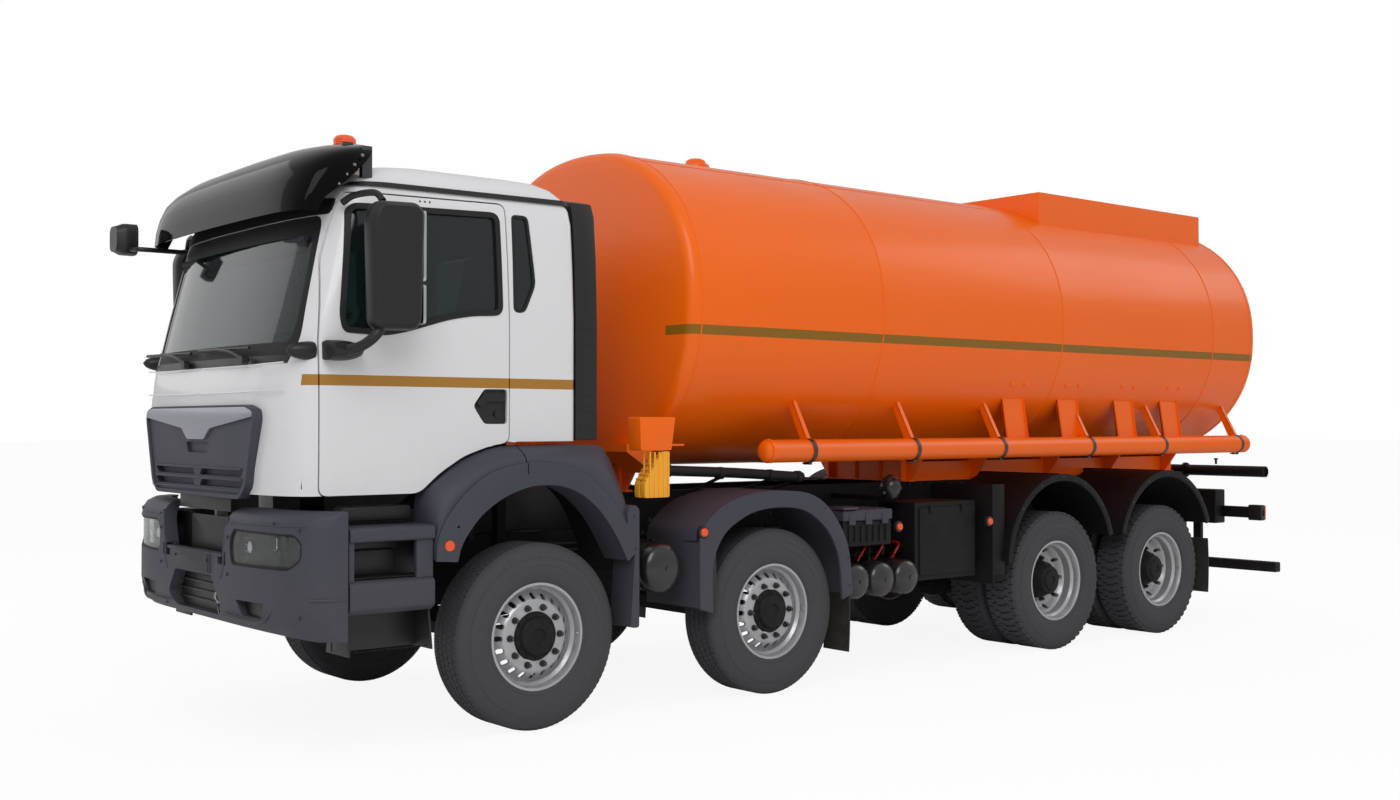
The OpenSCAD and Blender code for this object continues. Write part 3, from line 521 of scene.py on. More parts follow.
    def tube(self, points: Sequence[Point3], radius: float, sides: int = 12, smooth: int = 6) -> "Shape":
        """A bent bar or pipe along a path whose corners are rounded by a spline."""
        path = catmull(points, smooth)
        part = bmesh.new()
        rings = []
        normal = Vector((0, 0, 1))
        for i, here in enumerate(path):
            ahead = (path[min(i + 1, len(path) - 1)] - path[max(i - 1, 0)]).normalized()
            if abs(ahead.dot(normal)) > 0.95:
                normal = Vector((1, 0, 0))
            side = ahead.cross(normal).normalized()
            normal = side.cross(ahead).normalized()
            rings.append([part.verts.new(here + (side * math.cos(t) + normal * math.sin(t)) * radius)
                          for t in (2 * math.pi * k / sides for k in range(sides))])
        loft(part, rings)
        return self.add(part)

    def skin(self, rings: Sequence[Sequence[Point3]], inside_out: bool = False) -> "Shape":
        """A closed surface over rings with equal numbers of points.

        Args:
            rings: the sections, first to last, each capped at the two ends.
            inside_out: True for the inner wall of a hollow.

        Returns:
            This shape.
        """
        part = bmesh.new()
        loft(part, [[part.verts.new(p) for p in ring] for ring in rings])
        bmesh.ops.recalc_face_normals(part, faces=part.faces)
        if inside_out:
            bmesh.ops.reverse_faces(part, faces=part.faces)
        mesh = bpy.data.meshes.new("scratch")
        part.to_mesh(mesh)
        part.free()
        self.bm.from_mesh(mesh)
        bpy.data.meshes.remove(mesh)
        return self

    def take(self, other: "Shape", place: Matrix | None = None) -> "Shape":
        """Adds a copy of another shape."""
        mesh = bpy.data.meshes.new("scratch")
        other.bm.to_mesh(mesh)
        if place is not None:
            mesh.transform(place)
            if place.to_3x3().determinant() < 0:
                mesh.flip_normals()
        self.bm.from_mesh(mesh)
        bpy.data.meshes.remove(mesh)
        return self

    def moved(self, place: Matrix) -> "Shape":
        """A copy of this shape at a place."""
        return Shape().take(self, place)


    def mirrored(self) -> "Shape":
        """Adds the other side's copy."""
        return self.take(Shape().take(self), Matrix.Diagonal((-1, 1, 1, 1)))

    def cut(self, *cutters: "Shape", keep: bool = False) -> "Shape":
        """Takes cutters away from this shape, or keeps what lies in them.

        Args:
            *cutters: closed shapes.
            keep: True keeps only what lies inside the cutter.

        Returns:
            This shape.
        """
        for cutter in cutters:
            body, tool = self.scratch("body"), cutter.scratch("tool")
            change = body.modifiers.new("cut", "BOOLEAN")
            change.operation = "INTERSECT" if keep else "DIFFERENCE"
            change.solver = "EXACT"
            change.object = tool
            mesh = bpy.data.meshes.new_from_object(body.evaluated_get(bpy.context.evaluated_depsgraph_get()))
            self.bm.clear()
            self.bm.from_mesh(mesh)
            for thing in (body, tool):
                old = thing.data
                bpy.data.objects.remove(thing)
                bpy.data.meshes.remove(old)
            bpy.data.meshes.remove(mesh)
        return self

    def scratch(self, name: str) -> bpy.types.Object:
        """A temporary object with this shape's mesh."""
        mesh = bpy.data.meshes.new(name)
        self.bm.to_mesh(mesh)
        made = bpy.data.objects.new(name, mesh)
        bpy.context.scene.collection.objects.link(made)
        bpy.context.view_layer.update()
        return made

    def piece(self, name: str, body: str, finish: Finish, slot: str, replaces: Sequence[str] = (),
              crease: float = 32.0) -> bpy.types.Object:
        """Turns the shape into a finished piece that rides on a body.

        Args:
            name: the piece's name.
            body: the CAD body that carries it.
            finish: its finish.
            slot: the record's material slot; not used.
            replaces: CAD nodes that it stands for.
            crease: an edge that turns by more degrees than this stays hard.

        Returns:
            The object.
        """
        bmesh.ops.dissolve_degenerate(self.bm, dist=1e-6, edges=self.bm.edges)
        mesh = bpy.data.meshes.new(name)
        self.bm.to_mesh(mesh)
        self.bm.free()
        mesh.shade_smooth()
        mesh.set_sharp_from_angle(angle=math.radians(crease))
        mesh.materials.clear()
        mesh.materials.append(finish.make())
        mesh.polygons.foreach_set("material_index", [0] * len(mesh.polygons))
        made = bpy.data.objects.new(name, mesh)
        bpy.context.scene.collection.objects.link(made)
        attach(made, body)
        if replaces:
            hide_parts(*replaces)
        LOG.info("%s: %d faces on %s", name, len(mesh.polygons), body)
        return made


def loft(part: bmesh.types.BMesh, rings: Sequence[Sequence[bmesh.types.BMVert]]) -> None:
    """Joins rings of equal count with faces and caps both ends."""
    count = len(rings[0])
    for a, b in zip(rings, rings[1:]):
        for i in range(count):
            j = (i + 1) % count
            part.faces.new((a[i], a[j], b[j], b[i]))
    part.faces.new(rings[0])
    part.faces.new(rings[-1])


def catmull(points: Sequence[Point3], steps: int) -> list[Vector]:
    """A smooth path through points, with the given spans between each two."""
    knots = [Vector(p) for p in points]
    if len(knots) < 3:
        return knots
    knots = [knots[0] * 2 - knots[1], *knots, knots[-1] * 2 - knots[-2]]
    path: list[Vector] = []
    for a, b, c, d in zip(knots, knots[1:], knots[2:], knots[3:]):
        for k in range(steps):
            t = k / steps
            path.append(0.5 * (2 * b + (c - a) * t + (2 * a - 5 * b + 4 * c - d) * t**2
                               + (3 * b - a - 3 * c + d) * t**3))
    path.append(knots[-2])
    return path


class Repeat:
    """Geometry Nodes that repeat one item, round a ring or along a line."""

    RING = "repeat_round_ring"
    LINE = "repeat_along_line"

    @staticmethod
    def tree(kind: str) -> bpy.types.NodeTree:
        """The node group for a ring or a line, made on first use.

        Args:
            kind: Repeat.RING or Repeat.LINE.

        Returns:
            The group, with the named inputs Geometry, Count, Reach and Finish; Reach is a ring's radius or
            a line's step.
        """
        found = bpy.data.node_groups.get(kind)
        if found:
            return found
        tree = bpy.data.node_groups.new(kind, "GeometryNodeTree")
        sockets = [("Geometry", "NodeSocketGeometry"), ("Count", "NodeSocketInt"),
                   ("Reach", "NodeSocketVector"), ("Finish", "NodeSocketMaterial")]
        for name, socket in sockets:
            tree.interface.new_socket(name, in_out="INPUT", socket_type=socket)
        tree.interface.new_socket("Geometry", in_out="OUTPUT", socket_type="NodeSocketGeometry")
        given = add_node(tree, "NodeGroupInput").outputs
        if kind == Repeat.RING:
            reach = add_node(tree, "ShaderNodeSeparateXYZ", {"Vector": given["Reach"]})
            spots = add_node(tree, "GeometryNodeMeshCircle", {
                "Vertices": given["Count"], "Radius": reach.outputs["X"]})
            index = add_node(tree, "GeometryNodeInputIndex")
            step = add_node(tree, "ShaderNodeMath", {0: math.tau, 1: given["Count"]}, operation="DIVIDE")
            angle = add_node(tree, "ShaderNodeMath", {0: index.outputs[0], 1: step.outputs[0]},
                             operation="MULTIPLY")
            turn = add_node(tree, "ShaderNodeCombineXYZ", {"Z": angle.outputs[0]}).outputs[0]
        else:
            spots = add_node(tree, "GeometryNodeMeshLine", {
                "Count": given["Count"], "Offset": given["Reach"]})
            turn = None
        links = {"Points": spots.outputs[0], "Instance": given["Geometry"]}
        if turn is not None:
            links["Rotation"] = turn
        copies = add_node(tree, "GeometryNodeInstanceOnPoints", links)
        real = add_node(tree, "GeometryNodeRealizeInstances", {"Geometry": copies.outputs[0]})
        dressed = add_node(tree, "GeometryNodeSetMaterial", {
            "Geometry": real.outputs[0], "Material": given["Finish"]})
        add_node(tree, "NodeGroupOutput", {"Geometry": dressed.outputs[0]})
        return tree

    @staticmethod
    def run(kind: str, item: Shape, count: int, reach: Point3, finish: Finish = Look.zinc) -> Shape:
        """Repeats an item and returns the result as a plain shape.

        Args:
            kind: Repeat.RING or Repeat.LINE.
            item: the shape to repeat, about the origin.
            count: how many.
            reach: (radius, 0, 0) of the ring about Z, or the step along the line.
            finish: the finish set by the tree.

        Returns:
            The repeated shape.
        """
        thing = item.scratch("item")
        tree = Repeat.tree(kind)
        change = thing.modifiers.new("repeat", "NODES")
        change.node_group = tree
        values = {"Count": count, "Reach": reach, "Finish": finish.make()}
        for socket in tree.interface.items_tree:
            if socket.in_out == "INPUT" and socket.name in values:
                change[socket.identifier] = values[socket.name]
        thing.update_tag()
        bpy.context.view_layer.update()
        mesh = bpy.data.meshes.new_from_object(thing.evaluated_get(bpy.context.evaluated_depsgraph_get()))
        done = Shape()
        done.bm.from_mesh(mesh)
        old = thing.data
        bpy.data.objects.remove(thing)
        for used in (old, mesh):
            bpy.data.meshes.remove(used)
        return done

    @staticmethod
    def ring(item: Shape, count: int, radius: float, centre: Point3, axis: Axis = Axis.X) -> Shape:
        """An item repeated round an axis through a centre; the item's own +X points outwards."""
        made = Repeat.run(Repeat.RING, item, count, (radius, 0, 0))
        return Shape().take(made, Matrix.Translation(centre) @ axis.turn())

    @staticmethod
    def line(item: Shape, count: int, first: Point3, step: Point3) -> Shape:
        """An item repeated from a first place by equal steps."""
        return Shape().take(Repeat.run(Repeat.LINE, item, count, step), Matrix.Translation(first))


def hexagon_bolt(radius: float, height: float) -> Shape:
    """A hexagon head on a washer, standing on Z = 0 and pointing to +Z."""
    bolt = Shape()
    bolt.lathe([(0, 0), (radius * 1.25, 0), (radius * 1.25, height * 0.2), (0, height * 0.2)], (0, 0, 0),
               Axis.Z, 12)
    outline = arc((0, 0), radius, 0, 300, 5)
    return bolt.prism(outline, Axis.Z, height * 0.2, height)


def facing(axis: Axis, sign: int = 1) -> Matrix:
    """The turn that carries +Z onto +axis or -axis without mirroring."""
    target = Vector([sign if i == axis.value else 0 for i in range(3)])
    return target.to_track_quat("Z", "Y").to_matrix().to_4x4()


def bolts_at(places: Iterable[Point3], axis: Axis, sign: int, radius: float = 0.011,
             height: float = 0.009) -> Shape:
    """Hexagon bolts at places, pointing along an axis."""
    done = Shape()
    bolt = hexagon_bolt(radius, height)
    for place in places:
        done.take(bolt, Matrix.Translation(place) @ facing(axis, sign))
    return done


class Plan:
    """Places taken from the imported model."""

    FIRST = (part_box("tyre_1_left")[0][1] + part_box("tyre_1_left")[1][1]) / 2
    AXLES = [(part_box(f"tyre_{n}_left")[0][1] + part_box(f"tyre_{n}_left")[1][1]) / 2 for n in (1, 2, 3, 4)]
    RADIUS = (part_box("tyre_1_left")[1][2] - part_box("tyre_1_left")[0][2]) / 2
    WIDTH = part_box("tyre_1_left")[1][0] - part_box("tyre_1_left")[0][0]
    TRACK = (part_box("tyre_1_left")[1][0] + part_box("tyre_1_left")[0][0]) / 2
    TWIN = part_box("tyre_3_left")[1][0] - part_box("tyre_3_left")[0][0] - WIDTH
    TANK_LO, TANK_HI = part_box("tank")

    @staticmethod
    def y(from_axle: float) -> float:
        """A place along the truck, given from the first axle."""
        return Plan.FIRST + from_axle


def between(table: Sequence[Point2], z: float) -> float:
    """A value at height z from a table of (height, value) rows."""
    if z <= table[0][0]:
        return table[0][1]
    for (z0, v0), (z1, v1) in zip(table, table[1:]):
        if z <= z1:
            return v0 + (v1 - v0) * (z - z0) / (z1 - z0)
    return table[-1][1]


def spread(sign: int, near: float, far: float) -> list[float]:
    """Two distances from the middle plane, put on one side and in rising order."""
    return sorted((sign * near, sign * far))


def at_y(outline: Iterable[Point2]) -> list[Point2]:
    """An outline in (y, z), moved from the first axle to its place."""
    return [(Plan.y(y), z) for y, z in outline]


# ---------------------------------------------------------------- cab


@dataclass(frozen=True)
class CabForm:
    """The cab's outer form: front, back and half width against height, with rounded corners in plan."""

    bottom: float = 1.31
    half: float = 1.12
    fronts: tuple = ((1.31, -1.500), (1.5, -1.512), (1.8, -1.510), (1.95, -1.500), (2.06, -1.482),
                     (2.8, -1.300), (2.9, -1.268), (2.98, -1.225), (3.05, -1.16), (3.10, -1.08),
                     (3.14, -0.97), (3.168, -0.82), (3.185, -0.62), (3.194, -0.45))
    backs: tuple = ((1.31, 0.300), (2.3, 0.300), (2.9, 0.296), (2.98, 0.285), (3.05, 0.252), (3.10, 0.205),
                    (3.14, 0.135), (3.168, 0.04), (3.185, -0.08), (3.194, -0.2))
    halves: tuple = ((1.31, 1.116), (1.6, 1.12), (2.35, 1.12), (2.7, 1.107), (2.9, 1.091), (2.98, 1.078),
                     (3.05, 1.048), (3.10, 1.005), (3.14, 0.935), (3.168, 0.82), (3.185, 0.66),
                     (3.194, 0.46))
    corner: tuple = ((0, 0), (0.3, 0.003), (0.55, 0.013), (0.75, 0.029), (0.9, 0.052), (1.0, 0.082),
                     (1.07, 0.127), (1.105, 0.177), (1.12, 0.242))

    def ring(self, z: float, inset: float) -> list[Point3]:
        """One level section.

        Args:
            z: its height on the outer form.
            inset: how far it is drawn in.

        Returns:
            The loop's points.
        """
        front = between(self.fronts, z) + inset
        back = between(self.backs, z) - inset
        half = between(self.halves, z) - inset
        high = z - inset * smooth_step((z - 2.85) / 0.3)
        curve = catmull([(x, y, 0) for x, y in self.corner], 3)
        nose = [(p.x * half / 1.12, front + p.y) for p in curve]
        start, stop = front + 0.242, back - 0.05
        side = [(half, start + (stop - start) * k / 14) for k in range(1, 15)]
        turn = arc((half - 0.05, back - 0.05), 0.05, 15, 90, 5)
        rear = [(turn[-1][0] * (1 - k / 6), back) for k in range(1, 7)]
        left = nose + side + turn + rear
        right = [(-x, y) for x, y in reversed(left[1:-1])]
        return [(x, Plan.y(y), high) for x, y in left + right]

    def solid(self, inset: float = 0.0, low: float | None = None) -> Shape:
        """The cab's closed solid, drawn in evenly.

        Args:
            inset: how far it is drawn in.
            low: height of its bottom; the cab's own bottom if None.

        Returns:
            The solid.
        """
        first = self.bottom if low is None else low
        levels = [first] + [z for z in (1.5, 1.65, 1.8, 1.9, 2.0, 2.06, 2.2, 2.35, 2.5, 2.65, 2.8, 2.85,
                                        2.9,
                                        2.94, 2.98, 3.015, 3.05, 3.08, 3.10, 3.12, 3.14, 3.155, 3.168,
                                        3.178, 3.185, 3.19, 3.194) if z > first + 0.02]
        return Shape().skin([self.ring(z, inset) for z in levels])


def grown(outline: Sequence[Point2], grow: float) -> list[Point2]:
    """An outline moved outwards (or, below 0, inwards) by a distance."""
    count = len(outline)
    area = sum(outline[i - 1][0] * outline[i][1] - outline[i][0] * outline[i - 1][1] for i in range(count))
    sign = 1 if area > 0 else -1
    done = []
    for i, here in enumerate(outline):
        p, q, r = Vector(outline[i - 1]), Vector(here), Vector(outline[(i + 1) % count])
        n1, n2 = (q - p).normalized(), (r - q).normalized()
        out1, out2 = Vector((n1.y, -n1.x)) * sign, Vector((n2.y, -n2.x)) * sign
        both = out1 + out2
        reach = grow / max(0.35, both.length_squared / 2)
        done.append(tuple(q + both * reach))
    return done


@dataclass
class Cab:
    """The tilting cab: skin, doors, glass, seals, trim, visor, mirrors and what shows inside."""

    form: CabForm = field(default_factory=CabForm)
    shut: float = 0.008
    door: tuple = ((-1.300, 1.362), (-1.300, 2.15), (-1.225, 2.87), (-1.190, 2.955), (-0.178, 2.975),
                   (-0.165, 2.30), (-0.165, 1.632), (-0.290, 1.612), (-0.450, 1.560), (-0.600, 1.470),
                   (-0.728, 1.362))
    window: tuple = ((-1.175, 2.215), (-1.195, 2.30), (-1.140, 2.865), (-1.10, 2.90), (-0.215, 2.925),
                     (-0.205, 2.345), (-0.40, 2.335), (-0.56, 2.305), (-0.80, 2.232), (-0.93, 2.205))
    quarter: tuple = ((-0.135, 2.365), (-0.135, 2.925), (-0.02, 2.925), (0.020, 2.53), (-0.055, 2.365))
    screen: tuple = ((-0.995, 2.085), (0.995, 2.085), (1.015, 2.19), (0.965, 2.84), (-0.965, 2.84),
                     (-1.015, 2.19))

    def __post_init__(self) -> None:
        """Rounds the outlines once."""
        self.window_line = at_y(rounded(self.window, 0.06, 5))
        self.quarter_line = at_y(rounded(self.quarter, 0.035, 4))
        self.screen_line = rounded(self.screen, 0.07, 5)
        self.door_line = at_y(rounded(self.door, 0.045, 4))

    def side_cut(self, outline: Sequence[Point2], sign: int, near: float = 0.80) -> Shape:
        """A cutter through one side of the cab."""
        return Shape().prism(outline, Axis.X, *spread(sign, near, 1.3))

    def front_cut(self, outline: Sequence[Point2]) -> Shape:
        """A cutter through the cab's front."""
        return Shape().prism(outline, Axis.Y, Plan.y(-1.7), Plan.y(-1.0))

    def under_cut(self, lift: float = 0.0) -> Shape:
        """Everything below the sill line and over the wheel arch."""
        line = [(-1.8, 1.0), (-1.8, 1.362 + lift), (-0.728, 1.362 + lift), (-0.60, 1.47 + lift),
                (-0.45, 1.56 + lift), (-0.29, 1.612 + lift), (-0.165, 1.632 + lift), (0.6, 1.632 + lift),
                (0.6, 1.0)]
        return Shape().prism(at_y(line), Axis.X, -1.3, 1.3)


    def build(self) -> None:
        """Makes every piece of the cab."""
        self.shell()
        for side, sign in SIDES.items():
            self.door_pieces(side, sign)
            self.mirror(side, sign)
        self.glazing()
        self.front()
        self.trim()
        self.visor()
        self.beacon()
        self.inside()

    def shell(self) -> None:
        """The welded white shell with its openings, and its dark lining."""
        skin = self.form.solid()
        skin.cut(self.under_cut(), self.form.solid(0.045, 1.67))
        skin.cut(Shape().box((-0.39, Plan.y(-1.43), 1.0), (0.39, Plan.y(0.4), 1.645)),
                 Shape().box((-1.2, Plan.y(-0.68), 1.0), (1.2, Plan.y(0.4), 1.636)),
                 Shape().prism(rounded([(-0.60, 1.30), (0.60, 1.30), (0.68, 1.40), (0.77, 1.75),
                                        (0.69, 1.81),
                                        (-0.69, 1.81), (-0.77, 1.75), (-0.68, 1.40)], 0.03, 3), Axis.Y,
                               Plan.y(-1.7), Plan.y(-1.452)))
        for sign in (1, -1):
            well = Shape().side_box(sign, (0.42, 1.07), (-1.38, -0.72), (1.40, 1.75))
            skin.cut(well, self.side_cut(grown(self.door_line, self.shut), sign, 1.0),
                     self.side_cut(self.quarter_line, sign))
        skin.cut(self.front_cut(self.screen_line))
        back = Shape().prism(rounded(rect((-0.5, 2.35), (0.5, 2.8)), 0.08), Axis.Y, Plan.y(0.1),
                             Plan.y(0.4))
        skin.cut(back)
        arms = Shape()
        arm = arc((-1.25, 0.95), 0.042, 200, 340, 10) + [(-1.222, 1.66), (-1.278, 1.66)]
        arms.prism(at_y(arm), Axis.X, 0.30, 0.34, 0.004).mirrored()
        skin.take(arms)
        skin.piece("cab_skin", "cab", Look.white, "white_paint", ["cab_shell"])
        lining = self.form.solid(0.047, 1.68).cut(self.form.solid(0.058, 1.69))
        for sign in (1, -1):
            lining.cut(self.side_cut(grown(self.door_line, 0.02), sign, 0.9),
                       self.side_cut(grown(self.quarter_line, 0.006), sign))
        lining.cut(self.front_cut(grown(self.screen_line, 0.01)))
        lining.cut(Shape().prism(rounded(rect((-0.5, 2.35), (0.5, 2.8)), 0.08), Axis.Y, Plan.y(0.1),
                                 Plan.y(0.4)))
        lining.piece("cab_lining", "cab", Look.dash, "black_plastic")

    def door_pieces(self, side: str, sign: int) -> None:
        """One door: skin, handle, seals, glass and inner panel."""
        body = f"door_{side}"
        skin = self.form.solid().cut(self.side_cut(self.door_line, sign, 1.016), keep=True)
        skin.cut(self.form.solid(0.055, 1.32), self.side_cut(self.window_line, sign))
        pocket = rounded([(-0.395, 1.835), (-0.325, 1.93), (-0.175, 1.93), (-0.175, 1.735),
                          (-0.325, 1.735)],
                         0.02, 3)
        skin.cut(self.side_cut(at_y(pocket), sign, 1.098))
        skin.piece(f"door_skin_{side}", body, Look.white, "white_paint", [f"door_{side}"])
        dark = Shape().prism(at_y(grown(pocket, -0.001)), Axis.X, *spread(sign, 1.080, 1.104),
                             0.004)
        grip = rounded([(-0.375, 1.85), (-0.325, 1.905), (-0.19, 1.905), (-0.19, 1.86), (-0.31, 1.86),
                        (-0.345, 1.825)], 0.012, 3)
        dark.prism(at_y(grip), Axis.X, *spread(sign, 1.106, 1.122), 0.004)
        dark.prism(at_y(arc((-0.235, 1.79), 0.019, 0, 345, 23)), Axis.X,
                   *spread(sign, 1.102, 1.113),
                   0.002)
        for k in (-0.03, 0.0, 0.03):
            dot = self.bolt_out(sign, -0.68 + k, 2.945, 0.006)
            dark.take(dot)
        dark.piece(f"door_handle_{side}", body, Look.black_plastic, "black_plastic")
        frame_ring = self.form.solid(-0.004).cut(self.side_cut(grown(self.window_line, 0.002), sign),
                                                 keep=True)
        frame_ring.cut(self.form.solid(0.05, 1.32), self.side_cut(grown(self.window_line, -0.03), sign))
        frame_ring.piece(f"window_seal_{side}", body, Look.seal, "black_plastic")
        pane = self.form.solid(0.014).cut(self.side_cut(grown(self.window_line, -0.026), sign), keep=True)
        pane.cut(self.form.solid(0.020, 1.32))
        pane.piece(f"door_pane_{side}", body, Look.glass, "window_glass", [f"door_glass_{side}"])
        inner = grown(self.door_line, -0.03)
        panel = self.form.solid(0.057).cut(self.side_cut(inner, sign, 0.97), keep=True)
        panel.cut(self.form.solid(0.072, 1.33), self.side_cut(grown(self.window_line, 0.004), sign))
        rest = rounded([(-1.05, 1.96), (-0.30, 2.02), (-0.30, 2.08), (-1.05, 2.03)], 0.02, 3)
        panel.prism(at_y(rest), Axis.X, *spread(sign, 1.00, 1.055), 0.008)
        pocket_low = rounded(rect((-1.15, 1.50), (-0.68, 1.72)), 0.03, 3)
        panel.prism(at_y(pocket_low), Axis.X, *spread(sign, 1.00, 1.055), 0.008)
        panel.piece(f"door_panel_{side}", body, Look.dash, "black_plastic")

    def bolt_out(self, sign: int, y: float, z: float, radius: float) -> Shape:
        """A small round cap on the cab's side."""
        at = between(self.form.halves, z)
        return Shape().lathe([(0, -0.004), (radius, -0.004), (radius * 0.9, 0.002), (0, 0.003)], (0, 0, 0),
                             Axis.X, 12).moved(Matrix.Translation((sign * at, Plan.y(y), z))
                                               @ Matrix.Diagonal((sign, 1, 1, 1)))

    def glazing(self) -> None:
        """Windscreen with its printed edge, quarter windows, rear window and seals."""
        screen = self.form.solid(0.010).cut(self.front_cut(grown(self.screen_line, -0.002)), keep=True)
        screen.cut(self.form.solid(0.017))
        for sign in (1, -1):
            pane = self.form.solid(0.012).cut(self.side_cut(grown(self.quarter_line, -0.002), sign),
                                              keep=True)
            pane.cut(self.form.solid(0.018))
            screen.take(pane)
        screen.take(Shape().box((-0.498, Plan.y(0.27), 2.352), (0.498, Plan.y(0.278), 2.798), 0.002))
        screen.piece("cab_panes", "cab", Look.glass, "window_glass", ["cab_glass"])
        edge = self.form.solid(0.006).cut(self.front_cut(grown(self.screen_line, 0.0)), keep=True)
        opening = [(-0.94, 2.165), (0.94, 2.165), (0.958, 2.25), (0.925, 2.735), (-0.925, 2.735),
                   (-0.958, 2.25)]
        edge.cut(self.form.solid(0.0095), self.front_cut(rounded(opening, 0.07, 5)))
        for sign in (1, -1):
            band = self.form.solid(0.004).cut(self.side_cut(grown(self.quarter_line, -0.001), sign),
                                              keep=True)
            band.cut(self.form.solid(0.0115), self.side_cut(grown(self.quarter_line, -0.018), sign))
            edge.take(band)
        edge.piece("glass_edges", "cab", Look.seal, "black_plastic")
        blind = Shape()
        for k, (y, z) in enumerate([(-1.27, 2.72), (-1.262, 2.69), (-1.254, 2.66)]):
            blind.rod((-0.88, Plan.y(y), z), (0.88, Plan.y(y), z), 0.02, 12)
        blind.piece("sun_blind", "cab", Look.cloth, "seat_fabric")

    def front(self) -> None:
        """Grille, lower slots, creased front flap, corner deflectors and wipers."""
        y0 = -1.53
        panel = Shape()
        outline = rounded([(-0.62, 1.335), (0.62, 1.335), (0.70, 1.40), (0.805, 1.76), (0.795, 1.81),
                           (0.70, 1.838), (-0.70, 1.838), (-0.795, 1.81), (-0.805, 1.76), (-0.70, 1.40)],
                          0.03, 3)
        panel.prism(outline, Axis.Y, Plan.y(y0 + 0.012), Plan.y(-1.470), 0.006)
        slots = Shape()
        for z in (1.392, 1.452):
            for sign in (1, -1):
                shape = [(sign * 0.035, z), (sign * 0.62, z), (sign * 0.655, z + 0.036),
                         (sign * 0.065, z + 0.036)]
                slots.prism(rounded(shape, 0.01, 2), Axis.Y, Plan.y(-1.6), Plan.y(-1.485))
        recess = rounded([(-0.17, 1.635), (0.17, 1.635), (0.14, 1.575), (-0.14, 1.575)], 0.015, 3)
        slots.prism(recess, Axis.Y, Plan.y(-1.6), Plan.y(-1.500))
        panel.cut(slots)
        lip = Shape()
        inner = grown(outline, -0.022)
        lip.prism(outline, Axis.Y, Plan.y(y0), Plan.y(y0 + 0.02), 0.004, hole=inner)
        panel.take(lip)
        for z in (1.372, 1.432, 1.488):
            panel.box((-0.64, Plan.y(y0 + 0.004), z), (0.64, Plan.y(y0 + 0.014), z + 0.012), 0.003)
        cell = Shape().prism(arc((0, 0), 0.0095, 0, 300, 5), Axis.Y, -0.004, 0.004)
        for row in range(2):
            panel.take(Repeat.line(cell, 26, (-0.31 + row * 0.0125, Plan.y(-1.5125), 1.345 + row * 0.02),
                                   (0.025, 0, 0)))
        panel.piece("grille_panel", "cab", Look.grey_plastic, "grey_plastic", ["grille"])
        band = [(-0.792, 1.775), (-0.785, 1.805), (-0.70, 1.826), (0.70, 1.826), (0.785, 1.805),
                (0.792, 1.775), (0.21, 1.712), (0.125, 1.650), (-0.125, 1.650), (-0.21, 1.712)]
        silver = Shape().prism(rounded(band, 0.012, 3), Axis.Y, Plan.y(y0 - 0.003), Plan.y(y0 + 0.02),
                               0.004)
        silver.piece("grille_band", "cab", Look.satin_band, "silver_steel")
        flap = Shape()
        for sign in (1, -1):
            for z in (1.905, 2.045):
                flap.tube([(sign * 0.99, Plan.y(-1.445), z + 0.01),
                           (sign * 0.85, Plan.y(-1.478), z + 0.005),
                           (sign * 0.5, Plan.y(-1.509 if z < 2 else -1.492), z), (sign * 0.02, Plan.y(
                               -1.512 if z < 2 else -1.497), z)], 0.004, 8, 6)
        flap.piece("front_flap_creases", "cab", Look.white, "white_paint")
        dark = Shape()
        for k in range(3):
            low = 1.46 + k * 0.16
            side = at_y(rounded([(-1.395, low), (-1.325, low), (-1.325, low + 0.13), (-1.385, low + 0.13)],
                                0.012, 3))
            dark.prism(side, Axis.X, -1.112, -1.075, 0.004)
        dark.box((-0.38, Plan.y(-1.475), 1.255), (0.38, Plan.y(-1.462), 1.36), 0.004)
        dark.prism(rounded([(-0.62, 1.34), (0.62, 1.34), (0.76, 1.76), (0.68, 1.80), (-0.68, 1.80),
                            (-0.76, 1.76)], 0.03, 3), Axis.Y, Plan.y(-1.462), Plan.y(-1.454))
        dark.piece("corner_deflectors", "cab", Look.black_plastic, "black_plastic")
        wipers = Shape()
        for x in (0.62, -0.22):
            base = (x, Plan.y(-1.502), 2.075)
            wipers.lathe([(0, -0.02), (0.024, -0.02), (0.024, 0.012), (0.016, 0.02), (0, 0.02)], base,
                         Axis.Y, 16)
            wipers.tube([base, (x - 0.18, Plan.y(-1.502), 2.125), (x - 0.42, Plan.y(-1.496), 2.150)],
                        0.010, 8)
            wipers.tube([(x + 0.02, Plan.y(-1.482), 2.140), (x - 0.42, Plan.y(-1.488), 2.146),
                         (x - 0.70, Plan.y(-1.484), 2.150)], 0.009, 8)
        cowl = [(-0.97, 2.052), (0.97, 2.052), (0.985, 2.095), (-0.985, 2.095)]
        strip = self.form.solid(-0.003).cut(self.front_cut(cowl),
                                            keep=True).cut(self.form.solid(0.02, 1.33))
        wipers.take(strip)
        wipers.piece("wipers_and_cowl", "cab", Look.black_plastic, "black_plastic")

